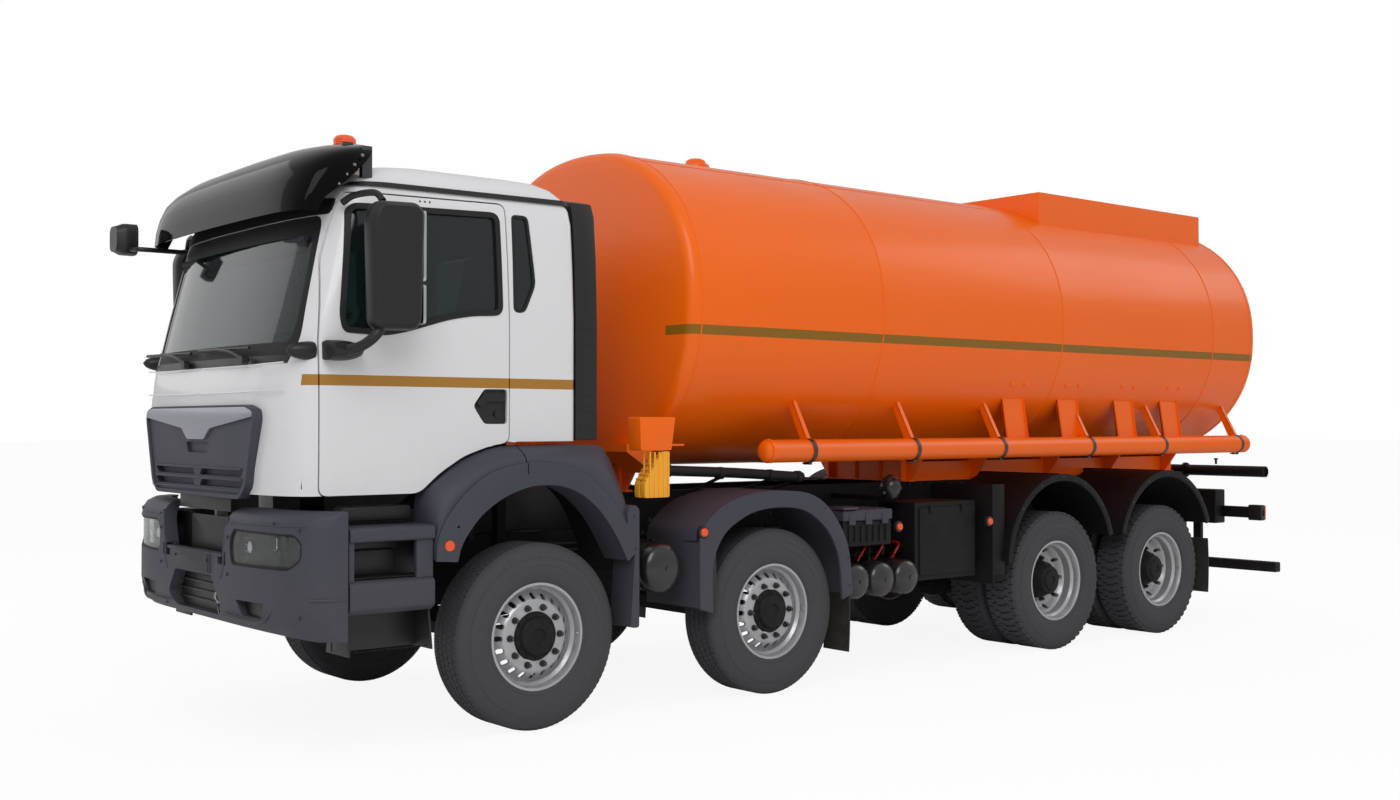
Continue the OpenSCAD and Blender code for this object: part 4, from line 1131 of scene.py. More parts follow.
    def trim(self) -> None:
        """Gutters, the mirror pods' fixed halves, the corner mirror and the slatted back edge."""
        dark = Shape()
        gutter = at_y([(-1.12, 3.000), (-1.085, 3.022), (-0.9, 3.030), (0.24, 3.040), (0.28, 3.030),
                       (0.28, 3.010), (-1.05, 3.002)])
        for sign in (1, -1):
            strip = self.form.solid(-0.012).cut(self.side_cut(gutter, sign), keep=True)
            dark.take(strip.cut(self.form.solid(0.004, 1.33)))
        for sign in (1, -1):
            pod = []
            for k in range(9):
                t = k / 8
                size = math.sqrt(max(0.0, 1 - (1 - t) ** 2.2)) if k else 0.12
                y = -1.460 + 0.144 * t
                pod.append([(sign * (1.061 + 0.050 * size * math.cos(a)), Plan.y(y),
                             2.113 + 0.050 * size * math.sin(a))
                            for a in (math.tau * m / 20 for m in range(20))])
            dark.take(Shape().skin(pod))
        head = []
        for k in range(9):
            t = k / 8
            size = 0.80 + 0.20 * smooth_step(t * 2.2)
            y = -1.600 + 0.128 * t
            head.append([(-1.213 + (p[0]) * size, Plan.y(y), 2.892 + p[1] * size)
                         for p in rounded(rect((-0.084, -0.098), (0.084, 0.098)), 0.06, 5)])
        dark.take(Shape().skin(head))
        dark.tube([(-1.17, Plan.y(-1.52), 2.835), (-1.06, Plan.y(-1.521), 2.817),
                   (-0.998, Plan.y(-1.50), 2.814),
                   (-0.995, Plan.y(-1.35), 2.814), (-0.995, Plan.y(-1.19), 2.814)], 0.015, 12, 6)
        dark.piece("cab_outside_trim", "cab", Look.black_plastic, "black_plastic", ["cab_trim"])
        back = Shape()
        for sign in (1, -1):
            line = [(1.105, 1.64), (1.105, 2.35), (1.092, 2.70), (1.072, 2.96), (1.04, 3.04), (0.96, 3.06),
                    (0.96, 1.64)]
            plan = [(sign * x, z) for x, z in line]
            back.prism(plan, Axis.Y, Plan.y(0.302), Plan.y(0.458), 0.012)
            slat = Shape().box((-0.010, -0.062, -0.014), (0.002, 0.062, 0.014), 0.004)
            column = Repeat.line(slat, 7, (0, Plan.y(0.38), 1.72), (0, 0, 0.098))
            back.take(column, Matrix.Translation((sign * 1.106, 0, 0)) @ Matrix.Diagonal((sign, 1, 1, 1)))
        back.piece("cab_back_edge", "cab", Look.black_plastic, "black_plastic")

    def visor(self) -> None:
        """The smoked visor, drawn out from the roof's front edge, with its bolts and brackets."""
        levels = ((-1.438, 2.850, -1.305, 1.082, 0.0), (-1.434, 2.93, -1.262, 1.094, 0.0),
                  (-1.424, 3.01, -1.17, 1.100, 0.004), (-1.395, 3.09, -1.09, 1.097, 0.012),
                  (-1.345, 3.150, -1.04, 1.088, 0.022), (-1.275, 3.205, -1.00, 1.070, 0.034),
                  (-1.18, 3.250, -0.975, 1.045, 0.046), (-1.07, 3.282, -0.962, 1.015, 0.055),
                  (-0.985, 3.300, -0.955, 0.990, 0.060))
        rows = []
        for front, z, rear, wide, drop in levels:
            row = []
            for k in range(49):
                t = math.pi * k / 48
                c, s = math.cos(t), math.sin(t)
                x = -wide * math.copysign(abs(c) ** 0.30, c)
                y = rear + (front - rear) * abs(s) ** 0.42
                row.append((x, Plan.y(y), z - drop * (abs(x) / wide) ** 4 - 0.012 * (abs(x) / wide) ** 2))
            rows.append(row)
        sheet = sheet_shape(rows, 0.006)
        sheet.piece("visor_sheet", "cab", Look.smoke, "smoked_plastic", ["sun_visor"])
        hold = Shape()
        for sign in (1, -1):
            for x in (0.30, 0.86):
                hold.box((sign * x - 0.015, Plan.y(-1.06), 3.09), (sign * x + 0.015, Plan.y(-1.0), 3.262),
                         0.004)
            hold.box((sign * 1.02 - 0.02, Plan.y(-1.03), 3.05), (sign * 1.02 + 0.02, Plan.y(-0.97), 3.22),
                     0.006)
        hold.piece("visor_brackets", "cab", Look.clamp, "black_painted_steel")
        knobs = []
        for sign in (1, -1):
            for k in range(4):
                knobs.append((sign * 1.090, Plan.y(-1.19 + 0.045 * k), 2.99 + 0.055 * k))
        heads = bolts_at([p for p in knobs if p[0] > 0], Axis.X, 1, 0.007, 0.010)
        heads.take(bolts_at([p for p in knobs if p[0] < 0], Axis.X, -1, 0.007, 0.010))
        heads.piece("visor_bolts", "cab", Look.zinc, "silver_steel")
        seal = self.form.solid(-0.006).cut(self.front_cut(rounded(rect((-1.0, 2.842), (1.0, 2.93)), 0.02,
                                                                  2)),
                                           keep=True)
        seal.cut(self.form.solid(0.003, 1.33))
        seal.piece("visor_gap_seal", "cab", Look.seal, "black_plastic")

    def beacon(self) -> None:
        """The amber beacon on its dark foot."""
        x, y = 0.52, Plan.y(-0.88)
        foot = Shape().lathe([(0, 3.15), (0.078, 3.15), (0.078, 3.235), (0.066, 3.262), (0.066, 3.272),
                              (0, 3.272)], (x, y, 0), Axis.Z, 48)
        foot.piece("beacon_foot", "cab", Look.black_plastic, "black_plastic")
        dome = [(0, 3.273), (0.064, 3.273), (0.066, 3.285)]
        for k in range(5):
            dome += [(0.064, 3.29 + 0.012 * k), (0.062, 3.296 + 0.012 * k)]
        dome += [(0.058, 3.352), (0.048, 3.362), (0.028, 3.368), (0, 3.369)]
        Shape().lathe(dome, (x, y, 0), Axis.Z, 48).piece("beacon_dome", "cab", Look.amber, "amber_plastic",
                                                         ["beacon"])

    def mirror(self, side: str, sign: int) -> None:
        """One door's tall mirror housing, arms, lower pod and glass."""
        body = f"door_{side}"
        housing = Shape()
        outline = [(-1.150, 2.25), (-1.165, 2.80), (-1.125, 2.878), (-0.90, 2.885), (-0.855, 2.84),
                   (-0.870, 2.26), (-0.905, 2.22), (-1.11, 2.215)]
        rings = []
        for k in range(9):
            t = k / 8
            inset = -0.045 * (1 - math.sqrt(max(0.0, 1 - (abs(t - 0.5) * 1.9) ** 2.6)))
            flat = rounded(grown(outline, inset), 0.07, 5)
            rings.append([(sign * (1.292 + 0.146 * t), Plan.y(y), z) for y, z in flat])
        housing.take(Shape().skin(rings))
        housing.tube([(sign * 1.085, Plan.y(-1.165), 2.895), (sign * 1.15, Plan.y(-1.13), 2.928),
                      (sign * 1.30, Plan.y(-1.09), 2.928), (sign * 1.365, Plan.y(-1.075), 2.88)],
                     0.018, 12, 8)
        pod = []
        for k in range(11):
            t = k / 10
            size = math.sqrt(max(0.0, 1 - t**2.4)) if k < 10 else 0.15
            y = -1.286 + 0.20 * t
            pod.append([(sign * (1.165 + 0.105 * size * math.cos(a)), Plan.y(y),
                         2.115 + (0.052 + 0.01 * t) * size * math.sin(a)) for a in
                        (math.tau * m / 20 for m in range(20))])
        housing.take(Shape().skin(pod))
        housing.tube([(sign * 1.235, Plan.y(-1.22), 2.11), (sign * 1.30, Plan.y(-1.17), 2.13),
                      (sign * 1.36, Plan.y(-1.12), 2.18), (sign * 1.365, Plan.y(-1.06), 2.26)], 0.028, 12,
                      8)
        housing.piece(f"mirror_housing_{side}", body, Look.black_plastic, "black_plastic",
                      [f"mirror_{side}"])
        glass = Shape()
        for low, high in ((2.255, 2.46), (2.475, 2.845)):
            pane = rounded([(sign * 1.315, low), (sign * 1.415, low), (sign * 1.415, high),
                            (sign * 1.315, high)], 0.02, 4)
            glass.prism(pane, Axis.Y, Plan.y(-0.868), Plan.y(-0.8505), 0.003)
        glass.piece(f"mirror_glass_{side}", body, Look.mirror, "silver_steel")

    def inside(self) -> None:
        """Dashboard, wheel and seats."""
        dash = Shape()
        line = rounded([(-1.38, 1.90), (-1.385, 2.085), (-1.28, 2.130), (-1.05, 2.105), (-1.0, 2.03),
                        (-0.995, 1.965), (-1.12, 1.865)], 0.03, 4)
        dash.prism(at_y(line), Axis.X, -0.99, 0.99, 0.012)
        dash.prism(at_y(rounded([(-1.22, 2.09), (-1.03, 2.06), (-1.0, 2.17), (-1.2, 2.19)], 0.03, 4)),
                   Axis.X,
                   0.38, 0.76, 0.01)
        vent = Shape().box((-0.055, -0.004, -0.02), (0.055, 0.012, 0.02), 0.004)
        for x in (-0.80, -0.35, 0.15, 0.90):
            dash.take(vent, Matrix.Translation((x, Plan.y(-0.995), 1.995)))
        dash.piece("dash_body", "cab", Look.dash, "black_plastic", ["dashboard"])
        tilt = Matrix.Translation((0.56, Plan.y(-0.86), 2.11)) @ Matrix.Rotation(math.radians(-28), 4, "X")
        wheel = Shape()
        rim = arc((0.222, 0), 0.017, 0, 345, 23)
        wheel.lathe(rim, (0, 0, 0), Axis.Z, 64, True)
        wheel.lathe([(0, -0.04), (0.06, -0.04), (0.075, -0.01), (0.06, 0.012), (0, 0.018)], (0, 0, 0),
                    Axis.Z, 40)
        for angle in (90, 210, 330):
            a = math.radians(angle)
            wheel.rod((0.05 * math.cos(a), 0.05 * math.sin(a), -0.006),
                      (0.22 * math.cos(a), 0.22 * math.sin(a), -0.003), 0.012, 12)
        wheel.rod((0, 0, -0.19), (0, 0, -0.03), 0.032, 24)
        Shape().take(wheel, tilt).piece("steering_wheel_rim", "cab", Look.dash, "black_plastic",
                                        ["steering_wheel"])
        self.seats()

    def seats(self) -> None:
        """Two seats as crowned cushions on their pedestals."""
        base = Shape()
        for sign in (1, -1):
            x = sign * 0.56
            base.box((x - 0.22, Plan.y(-0.55), 1.668), (x + 0.22, Plan.y(-0.13), 1.78), 0.02)
            base.box((x - 0.17, Plan.y(-0.50), 1.77), (x + 0.17, Plan.y(-0.18), 1.95), 0.03)
        base.piece("seat_pedestals", "cab", Look.dash, "black_plastic", ["seats"])
        for side, sign in SIDES.items():
            x = sign * 0.56
            seat = cushion((x - 0.25, Plan.y(-0.62), 1.955), (x + 0.25, Plan.y(-0.11), 2.08), Axis.Z, 0.018)
            seat.piece(f"seat_cushion_{side}", "cab", Look.cloth, "seat_fabric", crease=80)
            lean = (Matrix.Translation((x, Plan.y(-0.07), 2.06)) @ Matrix.Rotation(math.radians(-11), 4,
                                                                                   "X"))
            back = cushion((-0.24, -0.06, 0.0), (0.24, 0.06, 0.70), Axis.Y, 0.016)
            back = Shape().take(back, lean)
            back.piece(f"seat_back_{side}", "cab", Look.cloth, "seat_fabric", crease=80)
            rest = cushion((-0.14, -0.04, 0.70), (0.14, 0.045, 0.845), Axis.Y, 0.012)
            rest = Shape().take(rest, lean)
            rest.piece(f"seat_headrest_{side}", "cab", Look.cloth, "seat_fabric", crease=80)


def sheet_shape(rows: Sequence[Sequence[Point3]], thickness: float) -> Shape:
    """A curved sheet of even thickness over a grid of points.

    Args:
        rows: the grid, row by row.
        thickness: the sheet's thickness, laid to the inside.

    Returns:
        The closed sheet.
    """
    part = bmesh.new()
    grid = [[part.verts.new(p) for p in row] for row in rows]
    for a, b in zip(grid, grid[1:]):
        for i in range(len(a) - 1):
            part.faces.new((a[i], b[i], b[i + 1], a[i + 1]))
    bmesh.ops.recalc_face_normals(part, faces=part.faces)
    part.normal_update()
    offsets = {v: v.co - v.normal * thickness for v in part.verts}
    centre = sum((v.co for v in part.verts), Vector()) / len(part.verts)
    outward = sum(v.normal.dot(v.co - centre) for v in part.verts)
    if outward < 0:
        offsets = {v: v.co + v.normal * thickness for v in part.verts}
    inner = [[part.verts.new(offsets[v]) for v in row] for row in grid]
    for a, b in zip(inner, inner[1:]):
        for i in range(len(a) - 1):
            part.faces.new((a[i], a[i + 1], b[i + 1], b[i]))
    rim = (grid[0] + [row[-1] for row in grid[1:]] + grid[-1][-2::-1] + [row[0] for row in grid[-2:0:-1]])
    low = (inner[0] + [row[-1] for row in inner[1:]] + inner[-1][-2::-1] + [row[0] for row in inner[-2:0:-1]])
    for i in range(len(rim)):
        j = (i + 1) % len(rim)
        part.faces.new((rim[i], rim[j], low[j], low[i]))
    return Shape().add(part)


def cushion(lo: Point3, hi: Point3, crown: Axis, seam: float) -> Shape:
    """A stuffed cushion: a block with crowned faces, pinched at its seams and quilted by channels.

    Args:
        lo: lowest corner.
        hi: highest corner.
        crown: the axis across the cushion, along which its two faces bulge.
        seam: how deep the seams pull in.

    Returns:
        The cushion.
    """
    part = bmesh.new()
    bmesh.ops.create_cube(part, size=2.0)
    bmesh.ops.subdivide_edges(part, edges=part.edges, cuts=23, use_grid_fill=True)
    size = Vector([(hi[i] - lo[i]) / 2 for i in range(3)])
    middle = Vector([(hi[i] + lo[i]) / 2 for i in range(3)])
    flat = [i for i in range(3) if i != crown.value]
    for v in part.verts:
        p = v.co.copy()
        edge = max(abs(p[flat[0]]), abs(p[flat[1]]))
        soft = 1 - 0.16 * edge**8
        for i in flat:
            v.co[i] = p[i] * (1 - 0.04 * abs(p[crown.value]) ** 3 - 0.03 * (p[flat[0]] * p[flat[1]]) ** 4)
        wave = abs(math.sin(p[flat[0]] * math.pi * 2.5)) ** 0.5
        dip = seam / size[crown.value] * (1 - wave) * (1 - edge**4)
        pinch = seam * 0.6 / size[crown.value] * math.exp(-((abs(p[flat[0]]) - 0.72) / 0.03) ** 2)
        v.co[crown.value] = p[crown.value] * (soft - dip - pinch)
    part.transform(Matrix.Translation(middle) @ Matrix.Diagonal((*size, 1)))
    return Shape().add(part)


def resampled(line: Sequence[Point2], count: int) -> list[Point2]:
    """Evenly spaced points along an open line, ends kept."""
    knots = [Vector(p) for p in line]
    runs = [0.0]
    for a, b in zip(knots, knots[1:]):
        runs.append(runs[-1] + (b - a).length)
    done = []
    for i in range(count):
        want = runs[-1] * i / (count - 1)
        k = max(j for j in range(len(runs) - 1) if runs[j] <= want + 1e-9)
        done.append(tuple(knots[k].lerp(knots[k + 1], (want - runs[k]) / (runs[k + 1] - runs[k]))))
    return done


def eased(line: Sequence[Point2], steps: int = 4) -> list[Point2]:
    """A smooth open line through points."""
    return [(p.x, p.y) for p in catmull([(a, b, 0) for a, b in line], steps)]


# ---------------------------------------------------------------- front end


@dataclass
class FrontEnd:
    """Bumper with its openings, lamps, blank plate, towing eye and the entry steps."""

    low: float = 0.62
    high: float = 1.285
    plan: tuple = ((0, -1.540), (0.28, -1.540), (0.56, -1.538), (0.76, -1.524), (0.92, -1.500),
                   (1.07, -1.462), (1.17, -1.402), (1.228, -1.325), (1.248, -1.26), (1.250, -1.205))
    lean: tuple = ((0.62, 0.085), (0.66, 0.055), (0.73, 0.012), (0.80, 0.0), (1.18, 0.0), (1.23, 0.012),
                   (1.262, 0.035), (1.285, 0.085))
    lamp: tuple = ((0.545, 0.985), (1.09, 0.985), (1.155, 1.04), (1.155, 1.13), (1.12, 1.172),
                   (0.575, 1.180),
                   (0.530, 1.13), (0.522, 1.06))

    def build(self) -> None:
        """Makes every piece."""
        self.bumper()
        self.lamps()
        self.steps()

    def ring(self, z: float, inset: float) -> list[Point3]:
        """One level section of the bumper's shell."""
        lean = between(self.lean, z) + inset
        curve = eased(self.plan, 4)
        right = [(x * (1 - inset * 0.7), y + lean * smooth_step((-1.205 - y) / 0.16)) for x, y in curve]
        outer = [(-x, y) for x, y in reversed(right[1:])] + right
        inner = [(x * 0.945, min(y + 0.075, -1.20)) for x, y in reversed(outer)]
        return [(x, Plan.y(y), z) for x, y in outer + inner]

    def skin(self, inset: float = 0.0) -> Shape:
        """The shell before its openings are cut."""
        levels = (0.62, 0.64, 0.66, 0.69, 0.73, 0.80, 0.9, 1.0, 1.1, 1.18, 1.205, 1.23, 1.248, 1.262, 1.275,
                  1.285)
        return Shape().skin([self.ring(z, inset) for z in levels])

    def through(self, outline: Sequence[Point2], y0: float = -1.62, y1: float = -1.1,
                radius: float = 0.02) -> Shape:
        """A cutter along the truck with rounded corners."""
        return Shape().prism(rounded(outline, radius, 4), Axis.Y, Plan.y(y0), Plan.y(y1))

    def bumper(self) -> None:
        """The moulded bumper."""
        skin = self.skin()
        top = [(-0.50, 1.31), (-0.415, 1.016), (0.415, 1.016), (0.50, 1.31)]
        mouth = [(-0.33, 0.69), (0.33, 0.69), (0.385, 0.765), (0.275, 0.905), (-0.275, 0.905),
                 (-0.385, 0.765)]
        skin.cut(self.through(top), self.through(mouth))
        for sign in (1, -1):
            hole = [(sign * x, z) for x, z in self.lamp]
            skin.cut(self.through(hole, radius=0.035))
            fog = [(0.60, 0.805), (0.90, 0.805), (0.845, 0.722), (0.655, 0.722)]
            skin.cut(self.through([(sign * x, z) for x, z in fog], -1.62, -1.475, 0.018))
            notch = [(0.36, 0.975), (0.47, 0.975), (0.47, 1.045), (0.36, 1.045)]
            skin.cut(self.through([(sign * x, z) for x, z in notch], -1.62, -1.50, 0.008))
        side = [(-1.60, 0.55), (-1.60, 0.70), (-1.49, 0.655), (-1.33, 0.62), (-1.18, 0.62), (-1.18, 0.55)]
        skin.cut(Shape().prism(at_y(side), Axis.X, -1.3, 1.3))
        skin.piece("bumper_skin", "chassis", Look.grey_plastic, "grey_plastic", ["bumper"])
        extra = Shape()
        for sign in (1, -1):
            swoosh = [(0.40, -1.541, 0.700), (0.62, -1.536, 0.693), (0.84, -1.512, 0.700),
                      (0.93, -1.492, 0.755), (0.99, -1.478, 0.812), (1.08, -1.452, 0.832),
                      (1.19, -1.382, 0.838), (1.238, -1.300, 0.838), (1.247, -1.22, 0.838)]
            extra.tube([(sign * x, Plan.y(y + 0.004), z) for x, y, z in swoosh], 0.0085, 10, 6)
            rib = [(0.485, -1.534, 1.235), (0.45, -1.538, 1.10), (0.43, -1.541, 0.95),
                   (0.395, -1.541, 0.90)]
            extra.tube([(sign * x, Plan.y(y + 0.004), z) for x, y, z in rib], 0.008, 10, 6)
            crease = [(0.53, -1.538, 1.212), (0.76, -1.521, 1.212), (0.92, -1.497, 1.212),
                      (1.07, -1.459, 1.212), (1.17, -1.399, 1.212)]
            extra.tube([(sign * x, Plan.y(y + 0.005), z) for x, y, z in crease], 0.006, 8, 6)
        extra.prism(rounded([(-0.26, 0.915), (0.26, 0.915), (0.26, 1.030), (-0.26, 1.030)], 0.012), Axis.Y,
                    Plan.y(-1.5485), Plan.y(-1.53), 0.004)
        extra.box((-0.41, Plan.y(-1.540), 1.014), (0.41, Plan.y(-1.485), 1.032), 0.006)
        extra.piece("bumper_creases", "chassis", Look.grey_plastic, "grey_plastic")
        dark = Shape()
        dark.prism(rounded([(-0.27, 0.99), (0.27, 0.99), (0.27, 1.22), (-0.27, 1.22)], 0.02), Axis.Y,
                   Plan.y(-1.445), Plan.y(-1.430), 0.004)
        dark.box((-0.40, Plan.y(-1.462), 0.66), (0.40, Plan.y(-1.452), 0.93), 0.004)
        for z in (0.735, 0.785, 0.835):
            dark.box((-0.36, Plan.y(-1.475), z), (0.36, Plan.y(-1.460), z + 0.014), 0.003)
        for sign in (1, -1):
            dark.box((sign * 0.75 - 0.155, Plan.y(-1.487), 0.722),
                     (sign * 0.75 + 0.155, Plan.y(-1.470), 0.806),
                     0.003)
            dark.box((sign * 0.42 - 0.058, Plan.y(-1.505), 0.972),
                     (sign * 0.42 + 0.058, Plan.y(-1.49), 1.048),
                     0.003)
            dark.box((sign * 0.75 - 0.36, Plan.y(-1.40), 0.95), (sign * 0.75 + 0.36, Plan.y(-1.385), 1.22),
                     0.004)
        dark.piece("bumper_backs", "chassis", Look.black_plastic, "black_plastic")
        plate = Shape().prism(rounded([(-0.25, 0.921), (0.25, 0.921), (0.25, 1.024), (-0.25, 1.024)], 0.01),
                              Axis.Y, Plan.y(-1.553), Plan.y(-1.546), 0.002)
        plate.piece("blank_plate", "chassis", Look.plate, "black_plastic")
        places = [(s * x, Plan.y(y), z) for s in (1, -1) for x, y, z in (
            (1.145, -1.424, 1.195), (1.145, -1.424, 0.745), (0.50, -1.5445, 1.13), (0.50, -1.5445, 0.93),
            (0.97, -1.487, 1.225), (0.235, -1.555, 0.99))]
        bolts_at(places, Axis.Y, -1, 0.008, 0.005).piece("bumper_bolts", "chassis", Look.clamp,
                                                         "silver_steel")
        jaw = Shape()
        jaw.box((-0.90, Plan.y(-1.450), 0.882), (0.90, Plan.y(-1.372), 0.988), 0.012)
        jaw.box((-0.09, Plan.y(-1.475), 0.875), (0.09, Plan.y(-1.372), 0.995), 0.02)
        for sign in (1, -1):
            jaw.cut(Shape().side_box(sign, (0.288, 0.352), (-1.50, -1.36), (0.972, 1.0)))
        jaw.cut(Shape().rod((0, Plan.y(-1.42), 0.85), (0, Plan.y(-1.42), 1.02), 0.0205, 40))
        eye = [(0.315, -1.500, 0.82), (0.315, -1.505, 0.74), (0.315, -1.495, 0.69)]
        jaw.tube([(x, Plan.y(y), z) for x, y, z in eye], 0.013, 12, 6)
        jaw.piece("towing_beam", "chassis", Look.chassis, "black_painted_steel")
        shackle = Shape()
        shackle.lathe(arc((0.026, 0), 0.009, 0, 330, 11), (0.315, Plan.y(-1.505), 0.795), Axis.X, 32, True)
        shackle.lathe(arc((0.026, 0), 0.009, 0, 330, 11), (0.315, Plan.y(-1.500), 0.725), Axis.Y, 32, True)
        shackle.rod((0.285, Plan.y(-1.505), 0.762), (0.345, Plan.y(-1.505), 0.762), 0.012, 16, 0.003)
        shackle.piece("towing_shackle", "chassis", Look.zinc, "silver_steel")

    def lamps(self) -> None:
        """Lamp units: dark bowl, chromed reflectors with facets, bezel and clear lens."""
        bowl, chrome, bezel, lens, amber = Shape(), Shape(), Shape(), Shape(), Shape()
        for sign in (1, -1):
            line = rounded([(sign * x, z) for x, z in self.lamp], 0.035, 5)
            face = self.skin(0.010).cut(Shape().prism(grown(line, -0.004), Axis.Y, Plan.y(-1.62),
                                                      Plan.y(-1.30)),
                                        keep=True)
            face.cut(self.skin_back(0.016))
            lens.take(face)
            tray = self.skin_solid(0.055).cut(Shape().prism(grown(line, -0.004), Axis.Y, Plan.y(-1.62),
                                                            Plan.y(-1.36)), keep=True)
            bowl.take(tray)
            ring = self.skin_solid(0.004).cut(Shape().prism(line, Axis.Y, Plan.y(-1.62), Plan.y(-1.37),
                                                            hole=grown(line, -0.012)), keep=True)
            bezel.take(ring)
            for x, z, w, h in ((0.86, 1.118, 0.078, 0.042), (0.96, 1.112, 0.050, 0.046),
                               (0.90, 1.045, 0.062, 0.038)):
                bezel_y = -1.462 + 0.25 * max(0.0, x - 0.8) ** 1.2
                rings = []
                for k, (grow, y) in enumerate(((1.0, 0.0), (0.86, 0.012), (0.60, 0.030), (0.28, 0.042))):
                    shape = rounded(rect((-w * grow, -h * grow), (w * grow, h * grow)), 0.02 * grow, 4)
                    rings.append([(sign * (x + a), Plan.y(bezel_y + y), z + b) for a, b in shape])
                chrome.take(bowl_of(rings, 0.006))
                flute = Shape().box((-w * 0.55, 0.022, -0.002), (w * 0.55, 0.030, 0.002), 0.0008)
                chrome.take(Repeat.line(flute, 5, (sign * x, Plan.y(bezel_y), z - h * 0.5),
                                        (0, 0, h * 0.25)))
            chrome.lathe([(0, 0.0), (0.016, 0.0), (0.022, 0.006), (0.026, 0.0), (0.030, 0.0),
                          (0.030, -0.012),
                          (0, -0.012)], (sign * 0.685, Plan.y(-1.478), 1.085), Axis.Y, 32)
            for k in range(4):
                chrome.box((sign * 0.60 - 0.032, Plan.y(-1.485), 1.02 + 0.036 * k),
                           (sign * 0.60 + 0.032, Plan.y(-1.475), 1.026 + 0.036 * k), 0.002)
            amber.box((sign * 1.075 - 0.030, Plan.y(-1.395), 1.01),
                      (sign * 1.075 + 0.030, Plan.y(-1.380), 1.14),
                      0.006)
        bowl.piece("lamp_bowls", "chassis", Look.black_plastic, "black_plastic")
        chrome.piece("lamp_reflectors", "chassis", Look.chrome, "silver_steel")
        bezel.piece("lamp_bezels", "chassis", Look.seal, "black_plastic")
        lens.piece("lamp_lenses", "chassis", Look.lens, "lamp_glass", ["headlamps"])
        amber.piece("lamp_turn_blocks", "chassis", Look.amber, "amber_plastic")

    def skin_back(self, inset: float) -> Shape:
        """Everything behind the bumper's face, from an inset."""
        return self.skin_solid(inset)

    def skin_solid(self, inset: float) -> Shape:
        """A solid that fills the bumper's form back to a plane."""
        rings = []
        for z in (0.90, 1.0, 1.1, 1.18, 1.205, 1.23, 1.248, 1.262):
            outer = [p for p in self.ring(z, inset)]
            outer = outer[: len(outer) // 2]
            rings.append(outer + [(outer[-1][0], Plan.y(-1.20), z), (outer[0][0], Plan.y(-1.20), z)])
        return Shape().skin(rings)

    def steps(self) -> None:
        """Ledge, recessed panel, valance, bottom tread with side plates, and its grip slots."""
        front, rear = -1.190, -0.700
        moulded, dark, metal = Shape(), Shape(), Shape()
        for sign in (1, -1):
            def bar(y0: float, y1: float, z0: float, z1: float, x0: float, x1: float,
                    bevel: float, into: Shape) -> None:
                """Adds a block on this side."""
                into.side_box(sign, (x0, x1), (y0, y1), (z0, z1), bevel)
            ledge = [(0.98, 1.200), (1.215, 1.200), (1.245, 1.188), (1.245, 1.128), (1.225, 1.120),
                     (0.98, 1.135)]
            moulded.prism([(sign * x, z) for x, z in rounded(ledge, 0.012, 3)], Axis.Y, Plan.y(front),
                          Plan.y(rear), 0.006)
            valance = [(1.10, 0.925), (1.215, 0.925), (1.245, 0.905), (1.245, 0.775), (1.20, 0.745),
                       (1.10, 0.745)]
            moulded.prism([(sign * x, z) for x, z in rounded(valance, 0.014, 3)], Axis.Y, Plan.y(front),
                          Plan.y(rear), 0.006)
            bar(-0.80, rear, 0.92, 1.13, 1.19, 1.225, 0.008, moulded)
            bar(front, front + 0.03, 0.92, 1.13, 1.05, 1.23, 0.006, moulded)
            bar(front, rear, 0.54, 1.19, 1.020, 1.040, 0.004, dark)
            bar(-1.13, -0.86, 0.935, 1.07, 1.040, 1.085, 0.012, dark)
            bar(-1.16, -0.83, 1.075, 1.115, 1.040, 1.062, 0.006, dark)
            bar(front + 0.04, front + 0.12, 0.77, 0.90, 0.43, 1.03, 0.006, dark)
            bar(-1.15, -0.74, 1.22, 1.30, 0.95, 1.06, 0.02, dark)
            tread = Shape()
            tread.side_box(sign, (0.96, 1.235), (front + 0.01, rear - 0.01), (0.532, 0.556), 0.005)
            slot = Shape().prism(rounded(rect((-0.018, -0.085), (0.018, 0.085)), 0.014, 4), Axis.Z, -0.1,
                                 0.1)
            tread.cut(Repeat.line(slot, 6, (sign * 1.10, Plan.y(-1.13), 0.545), (0, 0.074, 0)))
            metal.take(tread)
            lip = Shape().box((-0.006, -0.012, 0), (0.006, 0.012, 0.006), 0.002)
            for x in (0.985, 1.215):
                metal.take(Repeat.line(lip, 12, (sign * x, Plan.y(-1.145), 0.555), (0, 0.037, 0)))
            for y in (front, rear - 0.014):
                side = [(0.96, 0.535), (1.225, 0.535), (1.19, 0.745), (1.02, 0.755)]
                dark.prism([(sign * a, b) for a, b in side], Axis.Y, Plan.y(y), Plan.y(y + 0.012), 0.002)
            bar(front + 0.004, rear - 0.004, 0.930, 0.938, 1.10, 1.21, 0.002, metal)
        moulded.piece("step_mouldings", "chassis", Look.grey_plastic, "grey_plastic", ["entry_steps"])
        dark.piece("step_backs", "chassis", Look.black_plastic, "black_plastic")
        metal.piece("step_treads", "chassis", Look.chassis, "black_painted_steel")


